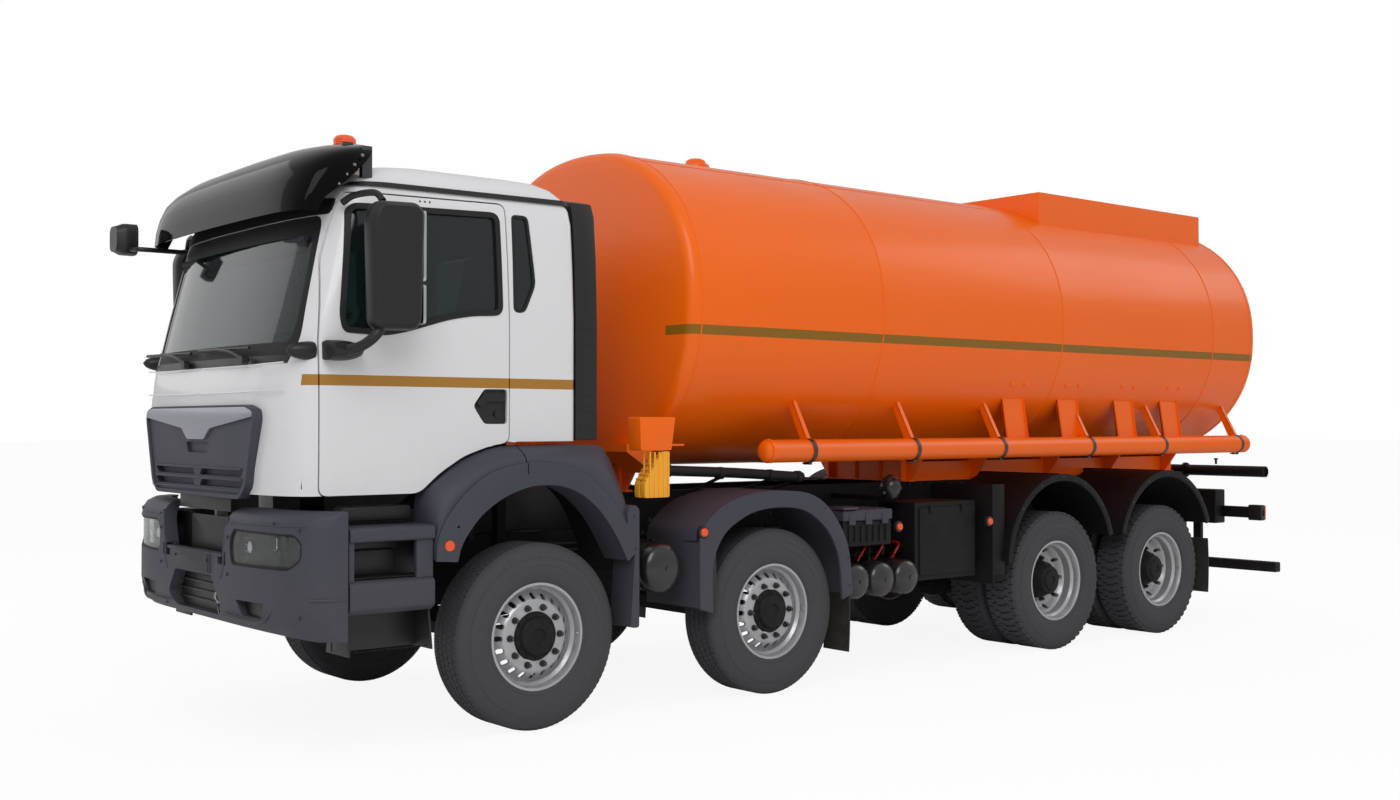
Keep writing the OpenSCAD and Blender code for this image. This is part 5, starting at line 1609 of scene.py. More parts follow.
def bowl_of(rings: Sequence[Sequence[Point3]], thickness: float) -> Shape:
    """A thin bowl over rings that go inwards.

    Args:
        rings: from the rim to the bottom.
        thickness: wall thickness along the truck.

    Returns:
        The closed bowl.
    """
    behind = [[(x, y + thickness, z) for x, y, z in ring] for ring in reversed(rings)]
    part = bmesh.new()
    rows = [[part.verts.new(p) for p in ring] for ring in list(rings) + behind]
    count = len(rings[0])
    half = len(rings)
    for a, b in [*zip(rows[:half], rows[1:half]), *zip(rows[half:], rows[half + 1:]), (rows[-1], rows[0])]:
        for i in range(count):
            j = (i + 1) % count
            part.faces.new((a[i], a[j], b[j], b[i]))
    part.faces.new(rows[half - 1])
    part.faces.new(rows[half])
    return Shape().add(part)


# ---------------------------------------------------------------- mudguards


@dataclass
class Mudguards:
    """The moulded wings over the four axles, their lips, flaps, lamps and stays."""

    wing_top: tuple = ((-0.690, 1.02), (-0.690, 1.34), (-0.585, 1.45), (-0.44, 1.54), (-0.295, 1.592),
                       (-0.15, 1.612), (0.40, 1.612), (0.50, 1.575), (0.585, 1.42), (0.655, 1.25),
                       (0.664, 1.02))
    wing_lip: tuple = ((-0.690, 1.00), (-0.685, 1.10), (-0.633, 1.221), (-0.492, 1.377), (-0.303, 1.485),
                       (-0.007, 1.520), (0.25, 1.455), (0.42, 1.325), (0.55, 1.18), (0.625, 1.05),
                       (0.645, 0.98))
    wing_arch: tuple = ((-0.572, 0.99), (-0.54, 1.09), (-0.43, 1.23), (-0.28, 1.33), (-0.12, 1.385),
                        (0, 1.395),
                        (0.12, 1.385), (0.26, 1.33), (0.39, 1.225), (0.50, 1.08), (0.585, 0.93))
    second_top: tuple = ((-0.664, 0.60), (-0.664, 1.02), (-0.60, 1.14), (-0.45, 1.24), (-0.25, 1.295),
                         (0, 1.308), (0.25, 1.285), (0.42, 1.20), (0.55, 1.05), (0.625, 0.88),
                         (0.655, 0.60))
    second_arch: tuple = ((-0.622, 0.60), (-0.620, 0.90), (-0.53, 1.07), (-0.40, 1.18), (-0.23, 1.24),
                          (0, 1.258), (0.23, 1.235), (0.40, 1.15), (0.52, 1.01), (0.595, 0.85),
                          (0.622, 0.60))

    def build(self) -> None:
        """Makes every piece."""
        self.front()
        self.second()
        self.rear()
        self.markers()

    @staticmethod
    def band(outer: Sequence[Point2], inner: Sequence[Point2], move: float,
             count: int = 44) -> list[Point2]:
        """A closed outline between two open lines."""
        top = resampled(eased(outer), count)
        low = resampled(eased(inner), count)
        return [(Plan.y(y + move), z) for y, z in top + low[::-1]]

    def front(self) -> None:
        """Wing over the first wheel: a body that leans in above a standing lip."""
        high = self.band(self.wing_top, self.wing_arch, 0)
        lip = self.band(self.wing_lip, self.wing_arch, 0)
        shape, dark = Shape(), Shape()
        for sign in (1, -1):
            flat = [((y0 + y1) / 2, (z0 + z1) / 2) for (y0, z0), (y1, z1) in zip(high, lip)]
            rings = [(1.000, high), (1.12, high), (1.165, [(0.75 * a + 0.25 * c, 0.75 * b + 0.25 * d)
                                                           for (a, b), (c, d) in zip(high, lip)]),
                     (1.205, flat), (1.228, [(0.2 * a + 0.8 * c, 0.2 * b + 0.8 * d)
                                             for (a, b), (c, d) in zip(high, lip)]),
                     (1.232, lip), (1.246, lip), (1.250, [(0.985 * c + 0.015 * Plan.y(0),
                                                           0.985 * d + 0.015 * 1.1)
                                                          for c, d in lip])]
            shape.take(Shape().skin([[(sign * x, y, z) for y, z in ring] for x, ring in rings]))
            column = rounded([(0.60, 0.535), (0.664, 0.53), (0.664, 1.235), (0.625, 1.262), (0.575, 1.225),
                              (0.575, 1.08), (0.632, 0.98)], 0.02, 3)
            shape.prism(at_y(column), Axis.X, *spread(sign, 1.03, 1.246), 0.008)
            inner_top = [(-0.60, 1.29), (-0.44, 1.40), (-0.20, 1.48), (0, 1.495), (0.30, 1.44),
                         (0.50, 1.30),
                         (0.632, 1.06), (0.664, 0.90), (0.664, 0.60)]
            inner_low = [(-0.62, 1.26), (-0.44, 1.37), (-0.20, 1.45), (0, 1.465), (0.28, 1.412),
                         (0.47, 1.28),
                         (0.60, 1.05), (0.634, 0.89), (0.634, 0.60)]
            ring = self.band(inner_top, inner_low, 0)
            dark.prism(ring, Axis.X, *spread(sign, 0.66, 1.035))
            dark.side_box(sign, (0.43, 0.70), (-0.025, 0.01), (1.30, 1.335), 0.006)
            dark.box((sign * 0.68 - 0.02, Plan.y(-0.03), 1.30), (sign * 0.68 + 0.02, Plan.y(0.01), 1.47),
                     0.006)
            dark.box((sign * 0.43 - 0.02, Plan.y(-0.03), 1.03), (sign * 0.43 + 0.02, Plan.y(0.01), 1.34),
                     0.006)
            rib = Shape().box((-0.17, -0.004, -0.003), (0.17, 0.004, 0.003), 0.001)
            dark.take(Repeat.line(rib, 5, (sign * 0.84, Plan.y(0.629), 0.66), (0, 0, 0.05)))
        groove = Shape()
        for sign in (1, -1):
            groove.side_box(sign, (0.9, 1.3), (-0.120, -0.112), (1.455, 1.7))
        shape.cut(groove)
        shape.piece("front_wings", "chassis", Look.grey_plastic, "grey_plastic", ["mudguards_front"])
        dark.piece("front_inner_wings", "chassis", Look.black_plastic, "black_plastic")
        places = [(s * 1.247, Plan.y(y), z) for s in (1, -1)
                  for y, z in ((0.630, 1.19), (0.632, 1.0), (0.634, 0.78), (-0.56, 1.18))]
        self.bolts(places, "front_wing_bolts")

    @staticmethod
    def bolts(places: Sequence[Point3], name: str) -> None:
        """Small bolts that point outwards on both sides."""
        left = bolts_at([p for p in places if p[0] > 0], Axis.X, 1, 0.0075, 0.0030)
        left.take(bolts_at([p for p in places if p[0] < 0], Axis.X, -1, 0.0075, 0.0030))
        left.piece(name, "chassis", Look.clamp, "silver_steel")

    def second(self) -> None:
        """Wing over the second wheel with its lip, side panel and rubber flap."""
        move = Plan.AXLES[1] - Plan.FIRST
        body = self.band(self.second_top, self.second_arch, move)
        lip_top = [(y * 1.0, z) for y, z in self.second_top]
        lip_low = [(y * 0.90, z - 0.058 * (1 if z > 1.1 else 0.55)) for y, z in self.second_arch]
        shape, dark, flap = Shape(), Shape(), Shape()
        for sign in (1, -1):
            shape.prism(body, Axis.X, *spread(sign, 0.70, 1.236), 0.006)
            ring = self.band(lip_top, lip_low, move)
            shape.prism(ring, Axis.X, *spread(sign, 1.222, 1.245), 0.006)
            panel = [(-0.664, 0.59), (-0.516, 0.585), (-0.520, 0.80), (-0.525, 1.00), (-0.518, 1.05),
                     (-0.664, 1.06)]
            dark.prism(at_y([(y + move, z) for y, z in rounded(panel, 0.02, 3)]), Axis.X,
                       *spread(sign, 1.205, 1.228), 0.005)
            front = rounded([(1.22, 0.60), (0.80, 0.60), (0.80, 1.0), (1.22, 1.02)], 0.02, 3)
            dark.prism([(sign * x, z) for x, z in front], Axis.Y, Plan.y(move - 0.664),
                       Plan.y(move - 0.650), 0.004)
            dark.side_box(sign, (0.42, 0.72), (move - 0.02, move + 0.02), (1.262, 1.298), 0.006)
            dark.box((sign * 0.44 - 0.02, Plan.y(move - 0.02), 1.01),
                     (sign * 0.44 + 0.02, Plan.y(move + 0.02), 1.29),
                     0.006)
            flap.take(self.flap(sign, 1.0, 1.24, move + 0.625, 0.216, 0.70))
        shape.piece("second_wings", "chassis", Look.grey_plastic, "grey_plastic", ["mudguards_second"])
        dark.piece("second_wing_panels", "chassis", Look.black_plastic, "black_plastic")
        flap.piece("second_flaps", "chassis", Look.rubber, "tyre_rubber")
        places = [(s * 1.2445, Plan.y(move + y), z) for s in (1, -1)
                  for y, z in ((-0.44, 1.215), (0.40, 1.185), (0.615, 0.84), (0.63, 0.66))]
        self.bolts(places, "second_wing_bolts")

    @staticmethod
    def flap(sign: int, x0: float, x1: float, y: float, low: float, high: float) -> Shape:
        """A rubber flap, slightly bowed, with moulded ribs."""
        rows = []
        for i in range(7):
            x = x0 + (x1 - x0) * i / 6
            rows.append([(sign * x, Plan.y(y + 0.010 * math.sin(math.pi * k / 10) * (1 if k else 1)),
                          low + (high - low) * k / 10) for k in range(11)])
        made = sheet_shape(rows, 0.008)
        rib = Shape().box((-0.003, -0.004, -(high - low) * 0.4), (0.003, 0.004, (high - low) * 0.4), 0.001)
        made.take(Repeat.line(rib, 6, (sign * (x0 + 0.02), Plan.y(y + 0.006), (low + high) / 2),
                              (sign * (x1 - x0 - 0.04) / 5, 0, 0)))
        return made

    def rear(self) -> None:
        """Steel covers over the twin wheels with rolled lips, stays, plates and flaps."""
        shape, flap = Shape(), Shape()
        for axle, start, end in ((2, 178, 15), (3, 165, 19)):
            y = Plan.AXLES[axle] - Plan.FIRST
            for sign in (1, -1):
                outer = arc((y, 0.69), 0.660, start, end, 48)
                inner = arc((y, 0.69), 0.641, start, end, 48)
                ring = at_y(outer + inner[::-1])
                shape.prism(ring, Axis.X, *spread(sign, 0.54, 1.238))
                lip = at_y(arc((y, 0.69), 0.662, start, end, 48) + arc((y, 0.69), 0.615, end, start, 48))
                shape.prism(lip, Axis.X, *spread(sign, 1.216, 1.245), 0.006)
                bead = [(sign * 1.236, Plan.y(a), b) for a, b in arc((y, 0.69), 0.617, start, end, 30)]
                shape.tube(bead, 0.009, 8, 1)
                shape.rod((sign * 0.42, Plan.y(y), 1.335), (sign * 1.20, Plan.y(y), 1.335), 0.020, 20)
        for sign in (1, -1):
            shape.side_box(sign, (1.182, 1.198), (3.96, 4.09), (0.62, 1.29), 0.004)
            shape.side_box(sign, (0.60, 1.20), (3.95, 3.965), (0.56, 1.29), 0.004)
            rear = Plan.AXLES[3] - Plan.FIRST
            flap.take(self.flap(sign, 0.56, 1.23, rear + 0.618, 0.30, 0.76))
        shape.piece("rear_wings", "chassis", Look.chassis, "black_painted_steel", ["mudguards_rear"])
        flap.piece("rear_flaps", "chassis", Look.rubber, "tyre_rubber")
        places = []
        for axle in (2, 3):
            y = Plan.AXLES[axle] - Plan.FIRST
            for a in (40, 65, 90, 115, 140):
                r = math.radians(a)
                places += [(s * 1.2455, Plan.y(y + 0.640 * math.cos(r)), 0.69 + 0.640 * math.sin(r))
                           for s in (1, -1)]
        self.bolts(places, "rear_wing_bolts")

    def markers(self) -> None:
        """Amber side marker lamps in dark cups."""
        cup, lamp = Shape(), Shape()
        for y, z, r in ((-0.615, 1.08, 0.030), (1.158, 1.070, 0.027), (3.00, 1.02, 0.026),
                        (3.92, 1.02, 0.026)):
            for sign in (1, -1):
                x = 1.246 if y < 2 else (1.155 if y < 3.5 else 1.198)
                place = Matrix.Translation((sign * x, Plan.y(y), z)) @ Matrix.Diagonal((sign, 1, 1, 1))
                cup.take(Shape().lathe([(0, -0.02), (r * 1.5, -0.02), (r * 1.45, 0.0), (r * 1.1, 0.004),
                                        (r, 0.002), (0, 0.002)], (0, 0, 0), Axis.X, 24), place)
                lamp.take(Shape().lathe([(0, 0.0), (r, 0.0), (r * 0.96, 0.010), (r * 0.8, 0.015),
                                         (0, 0.0175)],
                                        (0, 0, 0), Axis.X, 24), place)
        cup.piece("marker_cups", "chassis", Look.black_plastic, "black_plastic")
        lamp.piece("marker_lamps", "chassis", Look.amber, "amber_plastic")


# ---------------------------------------------------------------- wheels


@dataclass
class Wheels:
    """Tyres, rims, hubs and nuts of the eight wheels."""

    radius: float = 0.5295
    width: float = 0.306
    bead: float = 0.291
    round_steps: int = 96

    def build(self) -> None:
        """Makes every wheel."""
        for n, axle in enumerate(Plan.AXLES, 1):
            for side, sign in SIDES.items():
                place = Matrix.Translation((sign * Plan.TRACK, axle, Plan.RADIUS)) @ Matrix.Diagonal(
                    (sign, 1, 1, 1))
                twin = Matrix.Translation((-Plan.TWIN, 0, 0))
                tyre = Shape().take(self.tyre(n > 2), place)
                if n > 2:
                    tyre.take(self.tyre(True), place @ twin)
                tyre.piece(f"tyre_rubber_{n}_{side}", f"wheel_{n}_{side}", Look.tyre, "tyre_rubber",
                           [f"tyre_{n}_{side}"])
                rim = Shape().take(self.rim(n > 2), place)
                if n > 2:
                    rim.take(self.rim(True, True), place @ twin)
                rim.piece(f"rim_metal_{n}_{side}", f"wheel_{n}_{side}", Look.wheel_silver, "silver_steel",
                          [f"rim_{n}_{side}"])
                hub = Shape().take(self.hub(n > 2), place)
                hub.piece(f"hub_{n}_{side}", f"wheel_{n}_{side}", Look.chassis, "black_painted_steel")
                nuts = Shape().take(self.nuts(n > 2), place)
                nuts.piece(f"wheel_nuts_{n}_{side}", f"wheel_{n}_{side}", Look.clamp, "silver_steel")

    def tyre(self, lugs: bool) -> Shape:
        """One tyre about the X axis, made once of each kind."""
        key = "lug" if lugs else "rib"
        if key in self.made:
            return self.made[key]
        r = self.radius
        low = r - (0.0125 if lugs else 0.0045)
        half = [(low, 0.0), (low, 0.018)]
        for a, b in (() if lugs else ((0.0205, 0.0285), (0.0665, 0.0765))):
            half += [(low, a), (r - 0.014, a + 0.002), (r - 0.014, b - 0.002), (low, b)]
        half += [(low, 0.106), (r - 0.0145 if lugs else r - 0.0085, 0.119), (r - 0.022, 0.131),
                 (r - 0.036, 0.1400),
                 (r - 0.055, 0.1458), (r - 0.075, 0.1490), (r - 0.0755, 0.1515), (r - 0.081, 0.1515),
                 (r - 0.0815, 0.1500), (0.430, 0.1525), (0.405, 0.1530), (0.403, 0.1512), (0.380, 0.1505),
                 (0.350, 0.1455), (0.330, 0.1385), (0.329, 0.1400), (0.322, 0.1385), (0.3215, 0.1360),
                 (0.308, 0.1285), (0.2955, 0.1255), (self.bead, 0.118), (self.bead - 0.003, 0.102)]
        back = [(rad, -x) for rad, x in reversed(half[1:])]
        made = Shape().lathe(half + [(0.300, 0.07), (0.300, -0.07)] + back, (0, 0, 0), Axis.X,
                             self.round_steps, True)
        if lugs:
            plan = [(0.060, 0.0, 0.026, 0.050), (0.101, 0.5, 0.024, 0.050), (0.018, 0.25, 0.020, 0.044)]
            count = 54
        else:
            plan = [(0.0955, 0.0, 0.0185, 0.0325), (0.0475, 0.5, 0.0185, 0.0325),
                    (0.0, 0.0, 0.0198, 0.0325)]
            count = 92
        for x, phase, wide, long in plan:
            for sign in ((1, -1) if x else (1,)):
                block = Shape()
                skew = (0.006 if lugs else 0.002) * sign
                outline = [(-long / 2, -wide + skew), (0, -wide - skew * 0.4), (long / 2, -wide + skew),
                           (long / 2, wide - skew), (0, wide + skew * 0.4), (-long / 2, wide - skew)]
                block.prism(outline, Axis.Z, -0.004, r - low - 0.0005, 0.0018 if lugs else 0.0, 1)
                upright = Matrix(((0, 0, 1, 0), (1, 0, 0, 0), (0, 1, 0, 0), (0, 0, 0, 1)))
                item = Shape().take(block, upright)
                ring = Repeat.ring(item, count, low, (0, 0, 0))
                turn = Matrix.Rotation(math.tau * phase / count, 4, "X")
                made.take(ring, Matrix.Translation((sign * x, 0, 0)) @ turn)
        rib = Shape().box((-0.012, -0.0022, -0.001), (0.012, 0.0022, 0.0022), 0.0006)
        for sign in (1, -1):
            stand = Matrix(((1, 0, 0, 0), (0, 1, 0, 0), (0, 0, sign, 0), (0, 0, 0, 1)))
            ring = Repeat.ring(Shape().take(rib, stand), 72, r - 0.062, (0, 0, 0))
            made.take(ring, Matrix.Translation((sign * 0.1455, 0, 0)))
        self.made[key] = made
        return made

    made: dict = field(default_factory=dict)

    def rim(self, twin: bool, inner: bool = False) -> Shape:
        """One pressed rim about the X axis."""
        key = f"rim_{twin}_{inner}"
        if key in self.made:
            return self.made[key]
        outer = [(0.3055, 0.1290), (0.3055, 0.1235), (0.293, 0.1190), (0.290, 0.108), (0.2885, 0.075),
                 (0.272, 0.060), (0.268, 0.020), (0.268, -0.06), (0.2885, -0.085), (0.290, -0.110),
                 (0.3055, -0.1235), (0.3055, -0.1290)]
        inside = [(0.297, -0.1300), (0.284, -0.119), (0.282, -0.092), (0.260, -0.062), (0.260, 0.020),
                  (0.264, 0.064), (0.281, 0.082), (0.283, 0.112), (0.291, 0.1285), (0.299, 0.1305)]
        made = Shape().lathe(outer + inside, (0, 0, 0), Axis.X, 80, True)
        if twin:
            sign = -1 if not inner else 1
            face = [(0.150, 0.073), (0.205, 0.073), (0.222, 0.066), (0.240, 0.046), (0.252, 0.020),
                    (0.263, 0.004), (0.263, -0.010), (0.246, 0.006), (0.232, 0.034), (0.216, 0.052),
                    (0.200, 0.060), (0.150, 0.060)]
            disc = Shape().lathe([(rad, sign * x) for rad, x in face], (0, 0, 0), Axis.X, 80, True)
            at, depth = 0.231, sign * 0.05
        else:
            face = [(0.141, 0.098), (0.196, 0.098), (0.205, 0.095), (0.218, 0.083), (0.236, 0.060),
                    (0.250, 0.044), (0.262, 0.038), (0.262, 0.024), (0.244, 0.032), (0.228, 0.050),
                    (0.210, 0.074), (0.196, 0.084), (0.141, 0.084)]
            disc = Shape().lathe(face, (0, 0, 0), Axis.X, 80, True)
            at, depth = 0.2265, 0.06
        slot = Shape().prism(rounded(rect((-0.017, -0.0155), (0.017, 0.0155)), 0.012, 4), Axis.Z, -0.07,
                             0.07)
        holes = Repeat.ring(slot, 20 if not twin else 10, at, (depth, 0, 0))
        if not (twin and inner):
            disc.cut(holes)
        made.take(disc)
        made.rod((0.105, 0.274, 0.0), (0.140, 0.262, 0.0), 0.005, 10)
        self.made[key] = made
        return made

    def hub(self, twin: bool) -> Shape:
        """One hub with its cap, flange and bolts."""
        key = f"hub_{twin}"
        if key in self.made:
            return self.made[key]
        if twin:
            line = [(0, -0.05), (0.145, -0.05), (0.148, -0.03), (0.135, 0.0), (0.118, 0.02), (0.112, 0.060),
                    (0.104, 0.074), (0.080, 0.079), (0.075, 0.090), (0.050, 0.095), (0.034, 0.0955),
                    (0.030, 0.088), (0, 0.088)]
            ring, at = 10, 0.094
        else:
            line = [(0, 0.02), (0.136, 0.02), (0.139, 0.100), (0.134, 0.108), (0.112, 0.112),
                    (0.108, 0.124),
                    (0.100, 0.132), (0.070, 0.136), (0.062, 0.1405), (0.046, 0.1415), (0.040, 0.134),
                    (0, 0.132)]
            ring, at = 12, 0.122
        made = Shape().lathe(line, (0, 0, 0), Axis.X, 56)
        bolt = hexagon_bolt(0.0075, 0.008)
        made.take(Repeat.ring(bolt, ring, at, (0.068 if twin else 0.1075, 0, 0)))
        self.made[key] = made
        return made

    def nuts(self, twin: bool) -> Shape:
        """Ten wheel nuts with studs on the disc's face."""
        key = f"nuts_{twin}"
        if key in self.made:
            return self.made[key]
        nut = hexagon_bolt(0.0165, 0.022)
        nut.lathe([(0, 0.02), (0.0100, 0.02), (0.0100, 0.034), (0.0085, 0.036), (0, 0.036)], (0, 0, 0),
                  Axis.Z, 12)
        self.made[key] = Repeat.ring(nut, 10, 0.1675, ((-0.060 if twin else 0.098), 0, 0))
        return self.made[key]


# ---------------------------------------------------------------- tank and its fittings


@dataclass
class Tank:
    """The tank with its seams, manhole, coaming, supports, hose tubes and wheel chocks."""

    half: float = 1.25
    tall: float = 1.05
    middle: float = 2.50
    power: float = 2.2
    front: float = 1.03
    rear: float = 7.54
    seams: tuple = (2.754, 4.738, 6.826)
    straps: tuple = (2.09, 3.09, 4.03, 5.11, 6.10, 7.26)
    plates: tuple = (4.20, 4.87, 5.61, 6.26)
    tube_x: float = 1.192
    tube_z: float = 1.56
    tube_r: float = 0.0765

    def section(self, y: float, inset: float, scale: float = 1.0, count: int = 128) -> list[Point3]:
        """The tank's cross-section.

        Args:
            y: place along the truck.
            inset: how far it is drawn in.
            scale: shrinks it towards the middle.
            count: number of points.

        Returns:
            The loop.
        """
        loop = []
        for k in range(count):
            t = math.tau * k / count
            c, s = math.cos(t), math.sin(t)
            a, b = (self.half - inset) * scale, (self.tall - inset) * scale
            loop.append((a * math.copysign(abs(c) ** (2 / self.power), c), Plan.y(y),
                         self.middle + b * math.copysign(abs(s) ** (2 / self.power), s)))
        return loop

    def top(self, x: float) -> float:
        """Height of the tank's upper surface over a place across."""
        return self.middle + self.tall * (1 - (abs(x) / self.half) ** self.power) ** (1 / self.power)

    def side(self, z: float) -> float:
        """Half the tank's width at a height."""
        return self.half * (1 - (abs(z - self.middle) / self.tall) ** self.power) ** (1 / self.power)

    def solid(self, inset: float = 0.0) -> Shape:
        """The tank's closed form for cutting fittings to it."""
        return Shape().skin([self.section(y, inset) for y in (self.front + 0.06, self.rear - 0.06)])

    def build(self) -> None:
        """Makes every piece."""
        self.shell()
        self.manhole()
        self.coaming()
        self.supports()
        self.tubes()
        self.chocks()

    def shell(self) -> None:
        """The welded shell with dished ends, rounded knuckles and ring seams."""
        rings = []
        for scale, dish in ((0.02, 0.0), (0.25, 0.002), (0.5, 0.007), (0.72, 0.014), (0.88, 0.021)):
            rings.append((self.front + dish, 0.075, scale))
        for k in range(7):
            a = math.radians(15 * k)
            rings.append((self.front + 0.026 + 0.07 * (1 - math.cos(a)), 0.07 * (1 - math.sin(a)), 1.0))
        ends = [(self.front + self.rear - y, inset, scale) for y, inset, scale in reversed(rings)]
        body = []
        for y in sorted([self.front + 0.115, *self.seams, self.rear - 0.115]):
            body += [(y - 0.012, 0.0, 1.0), (y - 0.007, -0.0022, 1.0), (y, -0.0034, 1.0),
                     (y + 0.007, -0.0022, 1.0), (y + 0.012, 0.0, 1.0)]
        line = rings + body + ends
        shell = Shape().skin([self.section(y, max(inset, -0.0004) if inset > 0 else inset * 0.1, scale)
                              for y, inset, scale in line])
        dome = [(0, 3.40), (0.100, 3.40), (0.100, 3.588), (0.094, 3.604), (0.078, 3.610), (0.072, 3.622),
                (0.066, 3.634), (0.045, 3.645), (0.020, 3.648), (0, 3.649)]
        shell.lathe(dome, (0, Plan.y(2.11), 0), Axis.Z, 48)
        neck = [(0, 3.40), (0.262, 3.40), (0.262, 3.570), (0.290, 3.572), (0.290, 3.588), (0, 3.588)]
        shell.lathe(neck, (0, Plan.y(6.05), 0), Axis.Z, 72)
        shell.piece("tank_shell", "chassis", Look.tank_orange, "orange_paint", ["tank"])
        seams = Shape()
        for y in sorted([self.front + 0.115, *self.seams, self.rear - 0.115]):
            loop = self.section(y, -0.0002)
            seams.take(closed_bead(loop, 0.0048))
        for x_mark in (0.62, -0.62):
            z = self.top(x_mark)
            seams.tube([(x_mark, Plan.y(1.15), z), (x_mark, Plan.y(4.9), z)], 0.004, 8, 1)
        seams.piece("tank_welds", "chassis", Look.orange, "orange_paint")

    def manhole(self) -> None:
        """Lid with its hinge lugs, handle and clamp bolts."""
        lid = Shape()
        y = Plan.y(6.05)
        lid.lathe([(0, 3.592), (0.276, 3.592), (0.279, 3.596), (0.279, 3.606), (0.272, 3.610),
                   (0.20, 3.613),
                   (0.10, 3.618), (0, 3.620)], (0, y, 0), Axis.Z, 72)
        lid.lathe([(0, 3.618), (0.060, 3.618), (0.058, 3.632), (0.040, 3.640), (0, 3.642)], (0, y, 0),
                  Axis.Z, 32)
        for sign in (1, -1):
            arm = at_y(rounded([(6.28, 3.592), (6.37, 3.592), (6.392, 3.602), (6.38, 3.614), (6.28, 3.612)],
                               0.006, 3))
            lid.prism(arm, Axis.X, *spread(sign, 0.032, 0.068), 0.002)
        lid.cut(Shape().rod((-0.1, Plan.y(6.38), 3.602), (0.1, Plan.y(6.38), 3.602), 0.0062, 24))
        lid.tube([(-0.05, y - 0.16, 3.610), (-0.05, y - 0.165, 3.634), (0.05, y - 0.165, 3.634),
                  (0.05, y - 0.16, 3.610)], 0.006, 10, 6)
        lid.piece("lid_plate", "manhole_lid", Look.orange, "orange_paint", ["manhole_lid"])
        bolt = hexagon_bolt(0.010, 0.007)
        flat = Shape()
        for k in range(16):
            a = math.tau * k / 16
            flat.take(bolt, Matrix.Translation((0.252 * math.cos(a), y + 0.252 * math.sin(a), 3.6095)))
        flat.piece("lid_bolts", "manhole_lid", Look.zinc, "silver_steel")

    def coaming(self) -> None:
        """The upstand round the manhole, with its rolled rim and hinge post."""
        box = Shape()
        outer, inner = rect((-0.82, Plan.y(5.0)), (0.82, Plan.y(7.3))), rect(
            (-0.808, Plan.y(5.012)), (0.808, Plan.y(7.288)))
        box.prism(outer, Axis.Z, 3.30, 3.597, hole=inner)
        box.cut(self.solid(0.002))
        path = [(-0.813, Plan.y(5.007), 3.593), (0.813, Plan.y(5.007), 3.593),
                (0.813, Plan.y(7.293), 3.593),
                (-0.813, Plan.y(7.293), 3.593)]
        for a, b in zip(path, path[1:] + path[:1]):
            box.rod(a, b, 0.007, 12)
        for y in (5.55, 6.75):
            for sign in (1, -1):
                rib = [(sign * 0.806, 3.592), (sign * 0.806, 3.36), (sign * 0.79, 3.36),
                       (sign * 0.74, 3.45)]
                box.prism(rib, Axis.Y, Plan.y(y), Plan.y(y + 0.008), 0.001)
        box.box((-0.025, Plan.y(6.362), 3.545), (0.025, Plan.y(6.398), 3.612), 0.004)
        box.rod((-0.074, Plan.y(6.38), 3.602), (0.074, Plan.y(6.38), 3.602), 0.006, 20)
        box.piece("coaming_plate", "chassis", Look.orange, "orange_paint", ["tank_coaming"])
        valves = Shape()
        for x, y in ((0.45, 5.35), (-0.45, 5.35), (0.0, 5.45)):
            z = self.top(x) - 0.006
            valves.lathe([(0, 0), (0.085, 0), (0.085, 0.012), (0.055, 0.016), (0.052, 0.055),
                          (0.030, 0.066),
                          (0, 0.068)], (x, Plan.y(y), z), Axis.Z, 32)
        valves.piece("coaming_valves", "chassis", Look.aluminium, "aluminium")

    def supports(self) -> None:
        """Saddles, long bearers and the chock holders in painted plate."""
        steel = Shape()
        for y in (1.13, 3.86, 4.62, 5.56, 6.42, 7.28):
            web = [(-0.64, 1.56), (-0.44, 1.29), (0.44, 1.29), (0.64, 1.56), (0.64, 1.62), (-0.64, 1.62)]
            steel.prism(web, Axis.Y, Plan.y(y + 0.022), Plan.y(y + 0.038), 0.0)
            steel.box((-0.47, Plan.y(y), 1.290), (0.47, Plan.y(y + 0.06), 1.304), 0.003)
            for x in (-0.40, -0.13, 0.13, 0.40):
                steel.box((x - 0.006, Plan.y(y), 1.30), (x + 0.006, Plan.y(y + 0.06), 1.60))
        for sign in (1, -1):
            bearer = [(3.83, 1.295), (7.48, 1.295), (7.48, 1.44), (4.05, 1.44), (4.05, 1.56), (3.90, 1.56),
                      (3.83, 1.50)]
            steel.prism(at_y(bearer), Axis.X, *spread(sign, 0.395, 0.407), 0.0)
            steel.side_box(sign, (0.342, 0.43), (3.83, 7.48), (1.291, 1.304), 0.003)
            wedge = [(0.90, 1.56), (1.12, 1.42), (1.19, 1.42), (1.19, 1.90), (1.10, 1.83), (1.10, 1.60),
                     (0.90, 1.61)]
            steel.prism(at_y(wedge), Axis.X, *spread(sign, 0.50, 0.80), 0.0)
        for sign in (1, -1):
            hold = rounded([(0.700, 1.577), (0.930, 1.577), (0.960, 1.777), (0.690, 1.777)], 0.012, 3)
            face = Shape().prism(at_y(hold), Axis.X, *spread(sign, 1.092, 1.214), 0.006)
            core = [(0.715, 1.590), (0.915, 1.590), (0.94, 1.79), (0.71, 1.79)]
            face.cut(Shape().prism(at_y(core), Axis.X, *spread(sign, 1.100, 1.206)))
            steel.take(face)
            steel.side_box(sign, (0.9, 1.10), (0.93, 1.12), (1.60, 1.612), 0.002)
        steel.piece("bearer_plates", "chassis", Look.orange, "orange_paint", ["tank_supports"])
        places = [(s * 0.4305, Plan.y(3.90 + 0.12 * k), 1.268) for s in (1, -1) for k in range(30)]
        Mudguards.bolts(places, "bearer_bolts")

